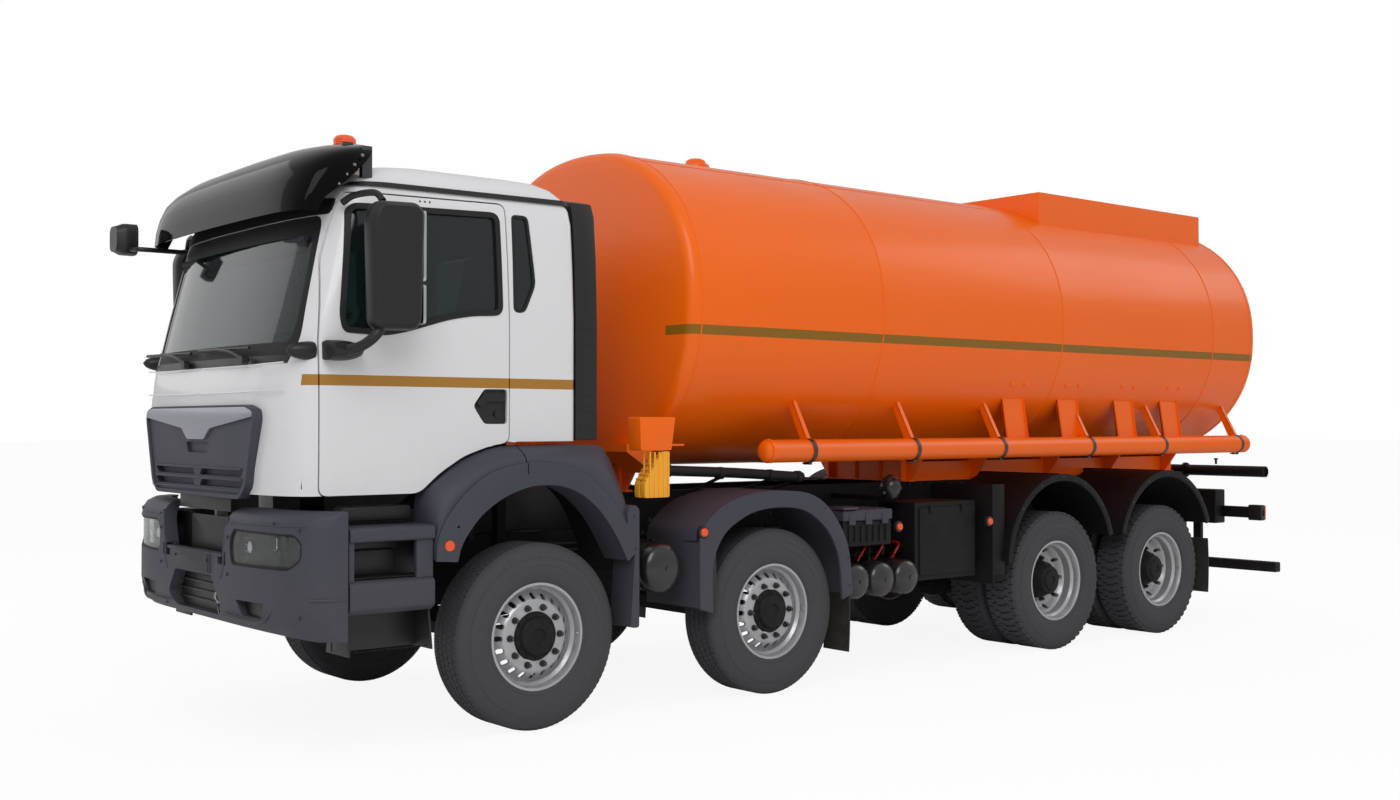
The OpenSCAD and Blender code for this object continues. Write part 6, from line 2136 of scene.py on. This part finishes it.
    def tubes(self) -> None:
        """Hose tubes with domed ends, their clamps, gussets and rib plates."""
        tube, clamp, plate = Shape(), Shape(), Shape()
        x, z, r = self.tube_x, self.tube_z, self.tube_r
        for sign in (1, -1):
            ends = [(0, 1.680), (0.030, 1.682), (0.055, 1.692), (0.0655, 1.705), (0.0665, 1.722),
                    (0.0765, 1.724),
                    (0.0765, 1.760), (0.0745, 1.764), (0.0745, 7.336), (0.0765, 7.340), (0.0765, 7.376),
                    (0.0665, 7.378), (0.0655, 7.395), (0.055, 7.408), (0.030, 7.418), (0, 7.420)]
            tube.lathe([(rad, Plan.y(y)) for rad, y in ends], (sign * x, 0, z), Axis.Y, 56)
            for y in (1.742, 7.358):
                tube.rod((sign * x, Plan.y(y), z + 0.070), (sign * x, Plan.y(y), z + 0.081), 0.010, 16)
            for y in self.straps:
                band = [(r + 0.0012, -0.015), (r + 0.0042, -0.015), (r + 0.0042, 0.015),
                        (r + 0.0012, 0.015)]
                clamp.lathe(band, (sign * x, Plan.y(y), z), Axis.Y, 48, True)
                clamp.rod((sign * (x + 0.018), Plan.y(y), z - 0.084),
                          (sign * (x - 0.050), Plan.y(y), z - 0.084),
                          0.006, 12)
                for at in (0.018, -0.020):
                    clamp.box((sign * (x + at) - 0.006, Plan.y(y - 0.013), z - 0.092),
                              (sign * (x + at) + 0.006, Plan.y(y + 0.013), z - 0.070), 0.002)
                for edge in (-0.014, 0.014):
                    fold = [(sign * (x - 0.045), z + 0.045), (sign * 1.002, 1.90), (sign * 1.056, 1.90),
                            (sign * (x + 0.012), z + 0.066)]
                    plate.prism(fold, Axis.Y, Plan.y(y + edge - 0.003), Plan.y(y + edge + 0.003), 0.0)
                spine = [(sign * (x + 0.008), z + 0.066), (sign * 1.050, 1.90), (sign * 1.056, 1.90),
                         (sign * (x + 0.014), z + 0.066)]
                plate.prism(spine, Axis.Y, Plan.y(y - 0.017), Plan.y(y + 0.017), 0.0)
            for y in self.plates:
                skin = [(sign * (x - 0.072), z + 0.040), (sign * 1.072, 1.955), (sign * 1.080, 1.955),
                        (sign * (x - 0.062), z + 0.040)]
                plate.prism(skin, Axis.Y, Plan.y(y), Plan.y(y + 0.25), 0.0)
                for edge in (0.0, 0.246):
                    fin = [(sign * (x - 0.072), z + 0.040), (sign * 1.066, 1.955), (sign * 1.090, 1.955),
                           (sign * (x - 0.045), z + 0.045)]
                    plate.prism(fin, Axis.Y, Plan.y(y + edge), Plan.y(y + edge + 0.004), 0.0)
        for sign in (1, -1):
            for y in self.plates:
                for at in (0.02, 0.18):
                    far = self.side(2.04)
                    plate.box((sign * far - 0.006, Plan.y(y + at), 2.025),
                              (sign * far + 0.006, Plan.y(y + at + 0.05),
                                                                         2.050), 0.002)
        tube.piece("hose_tube_pair", "chassis", Look.orange, "orange_paint", ["hose_tubes"])
        plate.piece("tube_gussets", "chassis", Look.orange, "orange_paint")
        clamp.piece("tube_clamps", "chassis", Look.clamp, "silver_steel")

    def chocks(self) -> None:
        """Ribbed wheel chocks hanging in pairs under their holders."""
        made = Shape()
        for sign in (1, -1):
            for x in (1.098, 1.158):
                wedge = rounded([(0.737, 1.292), (0.923, 1.292), (0.923, 1.572), (0.868, 1.572),
                                 (0.737, 1.382)],
                                0.012, 3)
                made.prism(at_y(wedge), Axis.X, *spread(sign, x, x + 0.044), 0.004)
                rib = Shape().box((-0.003, -0.006, -0.135), (0.003, 0.006, 0.135), 0.002)
                made.take(Repeat.line(rib, 5, (sign * (x + 0.046), Plan.y(0.775), 1.432), (0, 0.035, 0)))
            for k in range(6):
                z = 1.40 + 0.028 * k
                made.side_box(sign, (1.10, 1.20), (0.742 + 0.0195 * k, 0.760 + 0.0195 * k),
                              (z, z + 0.008), 0.002)
        made.piece("chock_wedges", "chassis", Look.yellow, "yellow_plastic", ["wheel_chocks"])


def closed_bead(loop: Sequence[Point3], radius: float) -> Shape:
    """A round bead along a closed loop that stands across the truck."""
    part = bmesh.new()
    centre = sum((Vector(p) for p in loop), Vector()) / len(loop)
    rows = []
    for p in loop:
        out = (Vector(p) - centre).normalized()
        rows.append([part.verts.new(Vector(p) + out * radius * math.cos(t)
                                    + Vector((0, radius * math.sin(t), 0)))
                     for t in (math.tau * k / 8 for k in range(8))])
    for a, b in zip(rows, rows[1:] + rows[:1]):
        for i in range(8):
            j = (i + 1) % 8
            part.faces.new((a[i], a[j], b[j], b[i]))
    return Shape().add(part)


# ---------------------------------------------------------------- chassis equipment


@dataclass
class Equipment:
    """Batteries, air vessels, tanks, hoses and everything bolted to the rails, front to rear."""

    def build(self) -> None:
        """Makes every piece."""
        for node, finish in (("frame", Look.chassis), ("springs", Look.chassis),
                             ("front_axles", Look.chassis),
                             ("rear_axles", Look.chassis), ("engine", Look.iron)):
            self.dress(node, finish)
        for axle in (1, 2):
            for side in SIDES:
                self.dress(f"knuckle_{axle}_{side}", Look.chassis)
        self.rails()
        self.vessels()
        self.batteries()
        self.right_side()
        self.hoses()
        self.rear_end()
        self.ladder()

    @staticmethod
    def dress(node: str, finish: Finish) -> None:
        """Gives a CAD node its finish."""
        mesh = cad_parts[node].data
        mesh.materials.clear()
        mesh.materials.append(finish.make())

    def rails(self) -> None:
        """Bolt rows and leaf edges on the rails."""
        heads = hexagon_bolt(0.011, 0.009)
        made = Shape()
        for sign in (1, -1):
            turn = facing(Axis.X, sign)
            for y, z, count, step in ((-0.95, 1.02, 6, 0.08), (0.95, 1.02, 8, 0.07), (2.35, 1.02, 10, 0.06),
                                      (3.3, 0.82, 9, 0.06), (4.1, 1.02, 16, 0.07), (5.35, 1.02, 22, 0.07),
                                      (1.05, 1.10, 40, 0.155)):
                row = Repeat.line(heads.moved(turn), count, (sign * 0.4303, Plan.y(y), z), (0, step, 0))
                made.take(row)
        made.piece("rail_bolts", "chassis", Look.clamp, "silver_steel")
        leaf = Shape()
        for n, axle in enumerate(Plan.AXLES):
            reach, top, thick = (0.78, 0.105, 0.10) if n < 2 else (0.60, 0.160, 0.075)
            for sign in (1, -1):
                for k in range(4):
                    long = reach * (0.93 - 0.17 * k)
                    z0 = Plan.RADIUS + top - 0.012 - 0.022 * k
                    line = [(sign * 0.372, axle + long * t, z0 + 0.052 * t * t) for t in
                            (-1, -0.66, -0.33, 0, 0.33, 0.66, 1)]
                    leaf.take(flat_strip(line, 0.0465, 0.007))
                for t in (-0.09, 0.09):
                    bolt = [(sign * 0.372 - 0.053, axle + t, Plan.RADIUS + top - thick - 0.03),
                            (sign * 0.372 - 0.053, axle + t, Plan.RADIUS + top + 0.028),
                            (sign * 0.372 + 0.053, axle + t, Plan.RADIUS + top + 0.028),
                            (sign * 0.372 + 0.053, axle + t, Plan.RADIUS + top - thick - 0.03)]
                    leaf.tube(bolt, 0.009, 8, 5)
        leaf.piece("spring_leaves", "chassis", Look.chassis, "black_painted_steel")

    def vessels(self) -> None:
        """Air vessels with dished ends, straps and drain plugs."""
        made, straps = Shape(), Shape()
        for y, z, r, x0, x1 in ((0.92, 0.86, 0.148, 0.64, 1.19), (2.575, 0.667, 0.120, 0.56, 1.20),
                                (2.822, 0.667, 0.120, 0.56, 1.20), (3.068, 0.667, 0.120, 0.56, 1.20)):
            line = [(0, x0)]
            for k in range(1, 8):
                a = math.radians(90 * k / 7)
                line.append((r * math.sin(a) ** 0.8, x0 + 0.055 * (1 - math.cos(a))))
            line += [(r, x0 + 0.075), (r + 0.002, x0 + 0.08), (r + 0.002, x0 + 0.092), (r, x0 + 0.097)]
            line += [(rad, x0 + x1 - x) for rad, x in reversed(line)]
            made.lathe(line, (0, Plan.y(y), z), Axis.X, 56)
            made.rod((x1 - 0.012, Plan.y(y), z), (x1 + 0.006, Plan.y(y), z), 0.016, 16, 0.003)
            for at in (0.28, 0.72):
                x = x0 + (x1 - x0) * at
                straps.lathe([(r + 0.001, x - 0.018), (r + 0.004, x - 0.018), (r + 0.004, x + 0.018),
                              (r + 0.001, x + 0.018)], (0, Plan.y(y), z), Axis.X, 48, True)
                straps.box((x - 0.018, Plan.y(y) - 0.012, z + r),
                           (x + 0.018, Plan.y(y) + 0.012, z + r + 0.022),
                           0.003)
        made.piece("air_vessels", "chassis", Look.vessel, "black_painted_steel", ["air_tanks"])
        straps.box((0.43, Plan.y(0.88), 0.822), (0.70, Plan.y(0.96), 0.90), 0.006)
        straps.box((0.43, Plan.y(2.50), 0.790), (0.64, Plan.y(3.10), 0.806), 0.003)
        straps.piece("air_vessel_straps", "chassis", Look.chassis, "black_painted_steel")

    def batteries(self) -> None:
        """Battery box under its ribbed cover, the equipment box and the round filter."""
        box, lid, filt = Shape(), Shape(), Shape()
        box.box((0.702, Plan.y(2.455), 0.902), (1.150, Plan.y(2.925), 1.075), 0.012, 3)
        box.box((0.43, Plan.y(2.52), 0.93), (0.71, Plan.y(2.86), 1.00), 0.006)
        lid.box((0.700, Plan.y(2.450), 1.075), (1.160, Plan.y(2.930), 1.150), 0.016, 3)
        rib = Shape().box((-0.006, -0.010, -0.055), (0.006, 0.010, 0.055), 0.004)
        box.take(Repeat.line(rib, 7, (1.152, Plan.y(2.51), 0.985), (0, 0.060, 0)))
        top = Shape().box((-0.21, -0.008, -0.004), (0.21, 0.008, 0.006), 0.003)
        lid.take(Repeat.line(top, 6, (0.93, Plan.y(2.51), 1.150), (0, 0.072, 0)))
        for y in (2.53, 2.69, 2.85):
            lid.box((1.156, Plan.y(y - 0.03), 1.05), (1.166, Plan.y(y + 0.03), 1.13), 0.004)
        lid.box((1.06, Plan.y(2.44), 1.155), (1.17, Plan.y(2.58), 1.172), 0.004)
        lid.piece("battery_cover", "chassis", Look.grey_plastic, "grey_plastic")
        box.box((0.762, Plan.y(3.203), 0.622), (1.118, Plan.y(3.858), 1.178), 0.014, 3)
        door = rounded(rect((3.24, 0.66), (3.82, 1.14)), 0.03, 4)
        box.prism(at_y(door), Axis.X, 1.110, 1.1285, 0.004)
        for y in (3.36, 3.70):
            box.box((1.125, Plan.y(y - 0.02), 1.10), (1.136, Plan.y(y + 0.02), 1.15), 0.003)
        box.box((0.43, Plan.y(3.30), 0.85), (0.77, Plan.y(3.70), 0.95), 0.006)
        box.box((0.43, Plan.y(3.05), 1.19), (1.0, Plan.y(3.11), 1.228), 0.006)
        box.piece("battery_and_equipment_box", "chassis", Look.chassis, "black_painted_steel",
                  ["battery_box"])
        globe = [(0, 1.185)]
        globe += [(0.072 * math.sin(math.radians(a)), 1.285 - 0.095 * math.cos(math.radians(a)))
                  for a in range(20, 180, 16)]
        globe += [(0, 1.382)]
        filt.lathe(globe, (1.0, Plan.y(3.08), 0), Axis.Z, 40)
        filt.lathe([(0.074, 1.270), (0.080, 1.272), (0.080, 1.292), (0.074, 1.294)], (1.0, Plan.y(3.08), 0),
                   Axis.Z, 40, True)
        filt.piece("globe_filter", "chassis", Look.vessel, "black_painted_steel")
        brass = Shape()
        for y, z in ((3.0, 1.25), (3.16, 1.25)):
            brass.rod((1.0, Plan.y(y), z), (1.0, Plan.y((y + 3.08) / 2), z + 0.01), 0.012, 6)
        brass.piece("filter_fittings", "chassis", Look.zinc, "silver_steel")

    def right_side(self) -> None:
        """Fuel tank with straps and cap, and the exhaust box with its louvres and outlet."""
        tank, strap, box = Shape(), Shape(), Shape()
        line = rounded(rect((-1.19, 0.56), (-0.52, 1.18)), 0.10, 8)
        tank.prism(line, Axis.Y, Plan.y(3.15), Plan.y(3.93), 0.012, 3)
        tank.lathe([(0, 1.17), (0.050, 1.17), (0.050, 1.205), (0.058, 1.207), (0.058, 1.226),
                    (0.050, 1.230),
                    (0, 1.230)], (-0.90, Plan.y(3.54), 0), Axis.Z, 32)
        tank.piece("fuel_tank_shell", "chassis", Look.aluminium, "aluminium", ["fuel_tank"])
        for y in (3.30, 3.76):
            strap.prism(grown(line, 0.004), Axis.Y, Plan.y(y), Plan.y(y + 0.06), 0.0,
                        hole=grown(line, 0.0005))
            strap.box((-0.56, Plan.y(y), 0.80), (-0.43, Plan.y(y + 0.06), 0.90), 0.006)
        strap.piece("fuel_tank_straps", "chassis", Look.chassis, "black_painted_steel")
        cover = rounded(rect((-1.18, 0.57), (-0.52, 1.19)), 0.06, 6)
        box.prism(cover, Axis.Y, Plan.y(2.47), Plan.y(3.08), 0.012, 3)
        louvre = Shape().box((-0.006, -0.22, -0.006), (0.004, 0.22, 0.006), 0.003)
        box.take(Repeat.line(louvre, 9, (-1.182, Plan.y(2.775), 0.90), (0, 0, 0.028)))
        for y in (2.56, 2.92):
            box.box((-0.56, Plan.y(y), 0.80), (-0.43, Plan.y(y + 0.06), 0.90), 0.006)
        box.lathe([(0.044, 0), (0.060, 0), (0.060, 0.045), (0.044, 0.045)], (-1.215, Plan.y(2.78), 0.76),
                  Axis.X,
                  40, True)
        box.piece("exhaust_cover", "chassis", Look.aluminium, "aluminium", ["exhaust_box"])

    def hoses(self) -> None:
        """Air lines, the long black pipe, the diagonal strut and brake hoses."""
        dark, red = Shape(), Shape()
        dark.tube([(0.80, Plan.y(1.16), 1.44), (0.80, Plan.y(1.8), 1.41), (0.80, Plan.y(2.40), 1.37)],
                  0.034, 20, 4)
        for y in (1.22, 1.66, 2.10, 2.36):
            z = 1.44 - 0.056 * (y - 1.16)
            dark.lathe([(0.034, -0.02), (0.041, -0.02), (0.041, 0.02), (0.034, 0.02)],
                       (0.80, Plan.y(y), z), Axis.Y,
                       24, True)
            dark.rod((0.44, Plan.y(y), 1.262), (0.80, Plan.y(y), z - 0.03), 0.012, 10)
        dark.rod((0.90, Plan.y(0.665), 0.86), (0.90, Plan.y(0.86), 1.06), 0.020, 16, 0.004)
        for k, z in enumerate((1.00, 0.96, 0.91)):
            dark.tube([(0.452, Plan.y(0.40), z), (0.462, Plan.y(0.75), z - 0.02),
                       (0.455, Plan.y(1.1), z + 0.01),
                       (0.462, Plan.y(2.2), z), (0.455, Plan.y(3.9), z - 0.01)], 0.008, 8, 8)
        for k in range(4):
            y = 2.62 + 0.14 * k
            dark.tube([(0.95, Plan.y(y), 0.80), (0.90, Plan.y(y + 0.05), 0.87),
                       (0.70, Plan.y(y + 0.02), 0.88),
                       (0.46, Plan.y(y), 0.86)], 0.009, 8, 6)
        dark.piece("black_lines", "chassis", Look.rubber, "tyre_rubber")
        shield = Shape()
        for x in (0.335, -0.345):
            shield.box((x, Plan.y(0.28), 1.062), (x + 0.010, Plan.y(0.86), 1.50), 0.003)
        shield.piece("engine_side_shields", "chassis", Look.black_plastic, "black_plastic")
        for k in range(3):
            y = 2.70 + 0.17 * k
            red.tube([(1.04, Plan.y(y), 0.79), (1.06, Plan.y(y + 0.03), 0.85),
                      (1.03, Plan.y(y + 0.09), 0.89),
                      (0.96, Plan.y(y + 0.10), 0.90)], 0.0085, 8, 6)
        # the red air lines take the red lamp-lens finish, whose small emission makes these hoses glow
        # faintly: a painted glow on a part that is no lamp
        red.piece("red_air_lines", "chassis", Look.red, "tyre_rubber")

    def rear_end(self) -> None:
        """Rear crossmember, lamp arms, lamps, underrun bar and the discharge pipe."""
        steel = Shape()
        steel.box((-0.73, Plan.y(7.70), 0.82), (0.73, Plan.y(7.86), 1.13), 0.014, 3)
        holes = [Shape().rod((x, Plan.y(7.79), z), (x, Plan.y(7.87), z), 0.0105, 24)
                 for x in (-0.08, 0.08) for z in (0.925, 1.025)]
        steel.cut(*holes)
        for sign in (1, -1):
            steel.side_box(sign, (0.729, 1.08), (7.80, 7.86), (0.88, 0.98), 0.010)
            steel.box((sign * 0.44 - 0.04, Plan.y(7.852), 0.40), (sign * 0.44 + 0.04, Plan.y(7.90), 1.10),
                      0.008)
        steel.box((-1.22, Plan.y(7.87), 0.395), (1.22, Plan.y(7.96), 0.485), 0.012, 3)
        steel.piece("rear_frame_bars", "chassis", Look.chassis, "black_painted_steel", ["rear_bars"])
        shell, red, amber = Shape(), Shape(), Shape()
        for sign in (1, -1):
            shell.box((sign * 1.065 - 0.065, Plan.y(7.790), 0.860),
                      (sign * 1.065 + 0.065, Plan.y(7.862), 1.000),
                      0.010)
            red.box((sign * 1.040 - 0.036, Plan.y(7.860), 0.868),
                    (sign * 1.040 + 0.036, Plan.y(7.880), 0.992),
                    0.006)
            amber.box((sign * 1.103 - 0.024, Plan.y(7.860), 0.868),
                      (sign * 1.103 + 0.024, Plan.y(7.880), 0.992),
                      0.006)
            red.box((sign * 1.128 - 0.004, Plan.y(7.81), 0.90), (sign * 1.128 + 0.002, Plan.y(7.85), 0.96),
                    0.002)
        shell.piece("rear_lamp_shells", "chassis", Look.black_plastic, "black_plastic")
        red.piece("rear_lamps_red", "chassis", Look.red, "lamp_glass")
        amber.piece("rear_lamps_amber", "chassis", Look.amber, "amber_plastic")
        pipe = Shape()
        z, y = 1.30, 7.89
        pipe.rod((-0.70, Plan.y(y), z), (1.12, Plan.y(y), z), 0.050, 40, 0.004)
        pipe.lathe([(0.041, 1.10), (0.066, 1.10), (0.066, 1.118), (0.056, 1.122), (0.056, 1.150),
                    (0.066, 1.154),
                    (0.066, 1.168), (0.062, 1.170), (0.041, 1.170)], (0, Plan.y(y), z), Axis.X, 48, True)
        pipe.cut(Shape().rod((1.10, Plan.y(y), z), (1.20, Plan.y(y), z), 0.0405, 40))
        pipe.lathe([(0, -0.72 + 0.02), (0.058, -0.70), (0.058, -0.675), (0.05, -0.67), (0, -0.67)],
                   (0, Plan.y(y), z), Axis.X, 32)
        pipe.tube([(0, Plan.y(7.60), 1.30), (0, Plan.y(7.74), 1.30), (0, Plan.y(7.87), 1.30)], 0.045, 24, 4)
        pipe.lathe([(0, 1.18), (0.066, 1.18), (0.070, 1.19), (0.070, 1.41), (0.066, 1.42), (0, 1.42)],
                   (0, Plan.y(7.62), 0), Axis.Z, 40)
        pipe.lathe([(0, 1.382), (0.106, 1.382), (0.110, 1.386), (0.110, 1.450), (0, 1.450)],
                   (0, Plan.y(7.50), 0),
                   Axis.Z, 48)
        pipe.box((-0.06, Plan.y(7.48), 1.382), (0.06, Plan.y(7.64), 1.418), 0.004)
        flange = hexagon_bolt(0.008, 0.008)
        for x in (0.30, -0.35):
            pipe.lathe([(0.05, x - 0.012), (0.069, x - 0.012), (0.069, x + 0.012), (0.05, x + 0.012)],
                       (0, Plan.y(y), z), Axis.X, 40, True)
            turned = flange.moved(facing(Axis.Z, 1))
            pipe.take(Repeat.ring(turned, 8, 0.059, (x + 0.012, Plan.y(y), z)))
        pipe.lathe([(0, 0.060), (0.010, 0.060), (0.010, 0.10), (0.020, 0.105), (0.020, 0.115), (0, 0.115)],
                   (0.62, Plan.y(y), z), Axis.Z, 20)
        pipe.piece("discharge_line", "chassis", Look.chassis, "black_painted_steel", ["discharge_pipe"])

    def ladder(self) -> None:
        """The ladder up the tank's rear end: tube rails, ribbed rungs and stays."""
        made = Shape()
        x0, x1 = -0.80, -0.48
        for x in (x0, x1):
            made.box((x - 0.018, Plan.y(7.602), 0.642), (x + 0.018, Plan.y(7.634), 3.636), 0.008)
            for z in (2.30, 3.20):
                made.box((x - 0.012, Plan.y(7.53), z), (x + 0.012, Plan.y(7.605), z + 0.03), 0.004)
            made.rod((x, Plan.y(7.30), 3.57), (x, Plan.y(7.605), 3.57), 0.016, 20)
        made.box((x1, Plan.y(7.604), 1.15), (-0.43, Plan.y(7.632), 1.18), 0.004)
        rung = Shape().rod((-0.16, 0, 0), (0.16, 0, 0), 0.014, 16)
        grip = Shape().lathe([(0.0135, -0.004), (0.0155, -0.003), (0.0155, 0.003), (0.0135, 0.004)],
                             (0, 0, 0),
                             Axis.X, 16, True)
        rung.take(Repeat.line(grip, 12, (-0.132, 0, 0), (0.024, 0, 0)))
        made.take(Repeat.line(rung, 10, (-0.64, Plan.y(7.618), 0.72), (0, 0, 0.29)))
        made.piece("ladder_bars", "chassis", Look.chassis, "black_painted_steel", ["ladder"])


def flat_strip(line: Sequence[Point3], half: float, thick: float) -> Shape:
    """A flat bar that follows a line along the truck.

    Args:
        line: its middle line.
        half: half its width across the truck.
        thick: half its thickness.

    Returns:
        The bar.
    """
    rings = [[(x - half, y, z - thick), (x + half, y, z - thick), (x + half, y, z + thick),
              (x - half, y, z + thick)] for x, y, z in (tuple(p) for p in catmull(line, 4))]
    return Shape().skin(rings)


PARTS = (Cab, FrontEnd, Mudguards, Wheels, Tank, Equipment)


# ---------------------------------------------------------------- stage


@dataclass
class Studio:
    """The camera, the pale floor and the soft light."""

    eye: Point3 = (8.234, -7.799, 1.736)
    azimuth: float = 50.573
    pitch: float = 0.925
    lens: float = 37.98

    def build(self) -> None:
        """Places everything."""
        scene = bpy.context.scene
        scene.view_settings.view_transform = "Standard"
        camera = bpy.data.objects.new("camera", bpy.data.cameras.new("camera"))
        scene.collection.objects.link(camera)
        camera.data.lens = self.lens
        camera.data.sensor_width = 36.0
        camera.data.clip_end = 400.0
        az, up = math.radians(self.azimuth), math.radians(self.pitch)
        ahead = Vector((-math.sin(az) * math.cos(up), math.cos(az) * math.cos(up), math.sin(up)))
        camera.location = self.eye
        camera.rotation_euler = ahead.to_track_quat("-Z", "Y").to_euler()
        scene.camera = camera
        self.floor()
        self.world()
        self.lamp("key", (9.0, -8.0, 9.0), (0, 0, 1.5), 7.0, 470.0)
        self.lamp("fill", (-9.0, -7.0, 6.0), (0, -2, 1.5), 7.0, 90.0)
        self.lamp("back", (5.0, 12.0, 9.0), (0, 2, 1.5), 6.0, 150.0)

    def lamp(self, name: str, place: Point3, target: Point3, size: float, power: float) -> None:
        """A large soft area lamp.

        Args:
            name: its name.
            place: where it hangs.
            target: what it faces.
            size: its side.
            power: watts.
        """
        data = bpy.data.lights.new(name, "AREA")
        data.size = size
        data.energy = power
        lamp = bpy.data.objects.new(name, data)
        lamp.location = place
        lamp.rotation_euler = (Vector(target) - Vector(place)).to_track_quat("-Z", "Y").to_euler()
        bpy.context.scene.collection.objects.link(lamp)

    def floor(self) -> None:
        """A pale floor that the camera sees as the plain backdrop, with the truck's soft shadow on it."""
        mesh = bpy.data.meshes.new("floor")
        reach = 150.0
        corners = [(-reach, -reach, 0), (reach, -reach, 0), (reach, reach, 0), (-reach, reach, 0)]
        mesh.from_pydata(corners, [], [(0, 1, 2, 3)])
        material = bpy.data.materials.new("pale_floor")
        material.use_nodes = True
        tree = material.node_tree
        tree.nodes.clear()
        place = add_node(tree, "ShaderNodeTexCoord").outputs["Object"]
        noise = add_node(tree, "ShaderNodeTexNoise", {"Vector": place, "Scale": 0.6, "Detail": 2.0})
        tone = add_node(tree, "ShaderNodeMix", {
            "Factor": noise.outputs["Fac"], "A": (0.86, 0.86, 0.86, 1), "B": (0.90, 0.90, 0.90, 1)},
            data_type="RGBA")
        matt = add_node(tree, "ShaderNodeBsdfPrincipled", {"Base Color": tone.outputs["Result"],
                                                           "Roughness": 0.9})
        white = add_node(tree, "ShaderNodeEmission", {"Color": (1, 1, 1, 1), "Strength": 1.03})
        ray = add_node(tree, "ShaderNodeLightPath").outputs["Is Camera Ray"]
        share = add_node(tree, "ShaderNodeMath", {0: ray, 1: 0.88}, operation="MULTIPLY")
        both = add_node(tree, "ShaderNodeMixShader", {0: share.outputs[0], 1: matt.outputs["BSDF"],
                                                      2: white.outputs[0]})
        add_node(tree, "ShaderNodeOutputMaterial", {"Surface": both.outputs[0]})
        mesh.materials.append(material)
        floor = bpy.data.objects.new("floor", mesh)
        bpy.context.scene.collection.objects.link(floor)

    def world(self) -> None:
        """Even studio light all round: white to the camera, softer greys in reflections."""
        world = bpy.data.worlds.new("studio")
        bpy.context.scene.world = world
        world.use_nodes = True
        tree = world.node_tree
        tree.nodes.clear()
        place = add_node(tree, "ShaderNodeTexCoord").outputs["Generated"]
        up = add_node(tree, "ShaderNodeSeparateXYZ", {"Vector": place}).outputs["Z"]
        ramp = add_node(tree, "ShaderNodeMapRange", {
            "Value": up, "From Min": -0.2, "From Max": 0.7, "To Min": 0.55, "To Max": 1.0})
        tone = add_node(tree, "ShaderNodeMix", {
            "Factor": ramp.outputs["Result"], "A": (0.42, 0.43, 0.45, 1), "B": (1.0, 1.0, 1.0, 1)},
            data_type="RGBA")
        around = add_node(tree, "ShaderNodeBackground", {"Color": tone.outputs["Result"], "Strength": 0.62})
        seen = add_node(tree, "ShaderNodeBackground", {"Color": (1, 1, 1, 1), "Strength": 1.0})
        ray = add_node(tree, "ShaderNodeLightPath").outputs["Is Camera Ray"]
        both = add_node(tree, "ShaderNodeMixShader", {0: ray, 1: around.outputs[0], 2: seen.outputs[0]})
        add_node(tree, "ShaderNodeOutputWorld", {"Surface": both.outputs[0]})


def main() -> None:
    """Builds the truck and its stage."""
    logging.basicConfig(level=logging.INFO, format="%(message)s")
    for part in PARTS:
        part().build()
    Studio().build()


if __name__ == "__main__":
    main()
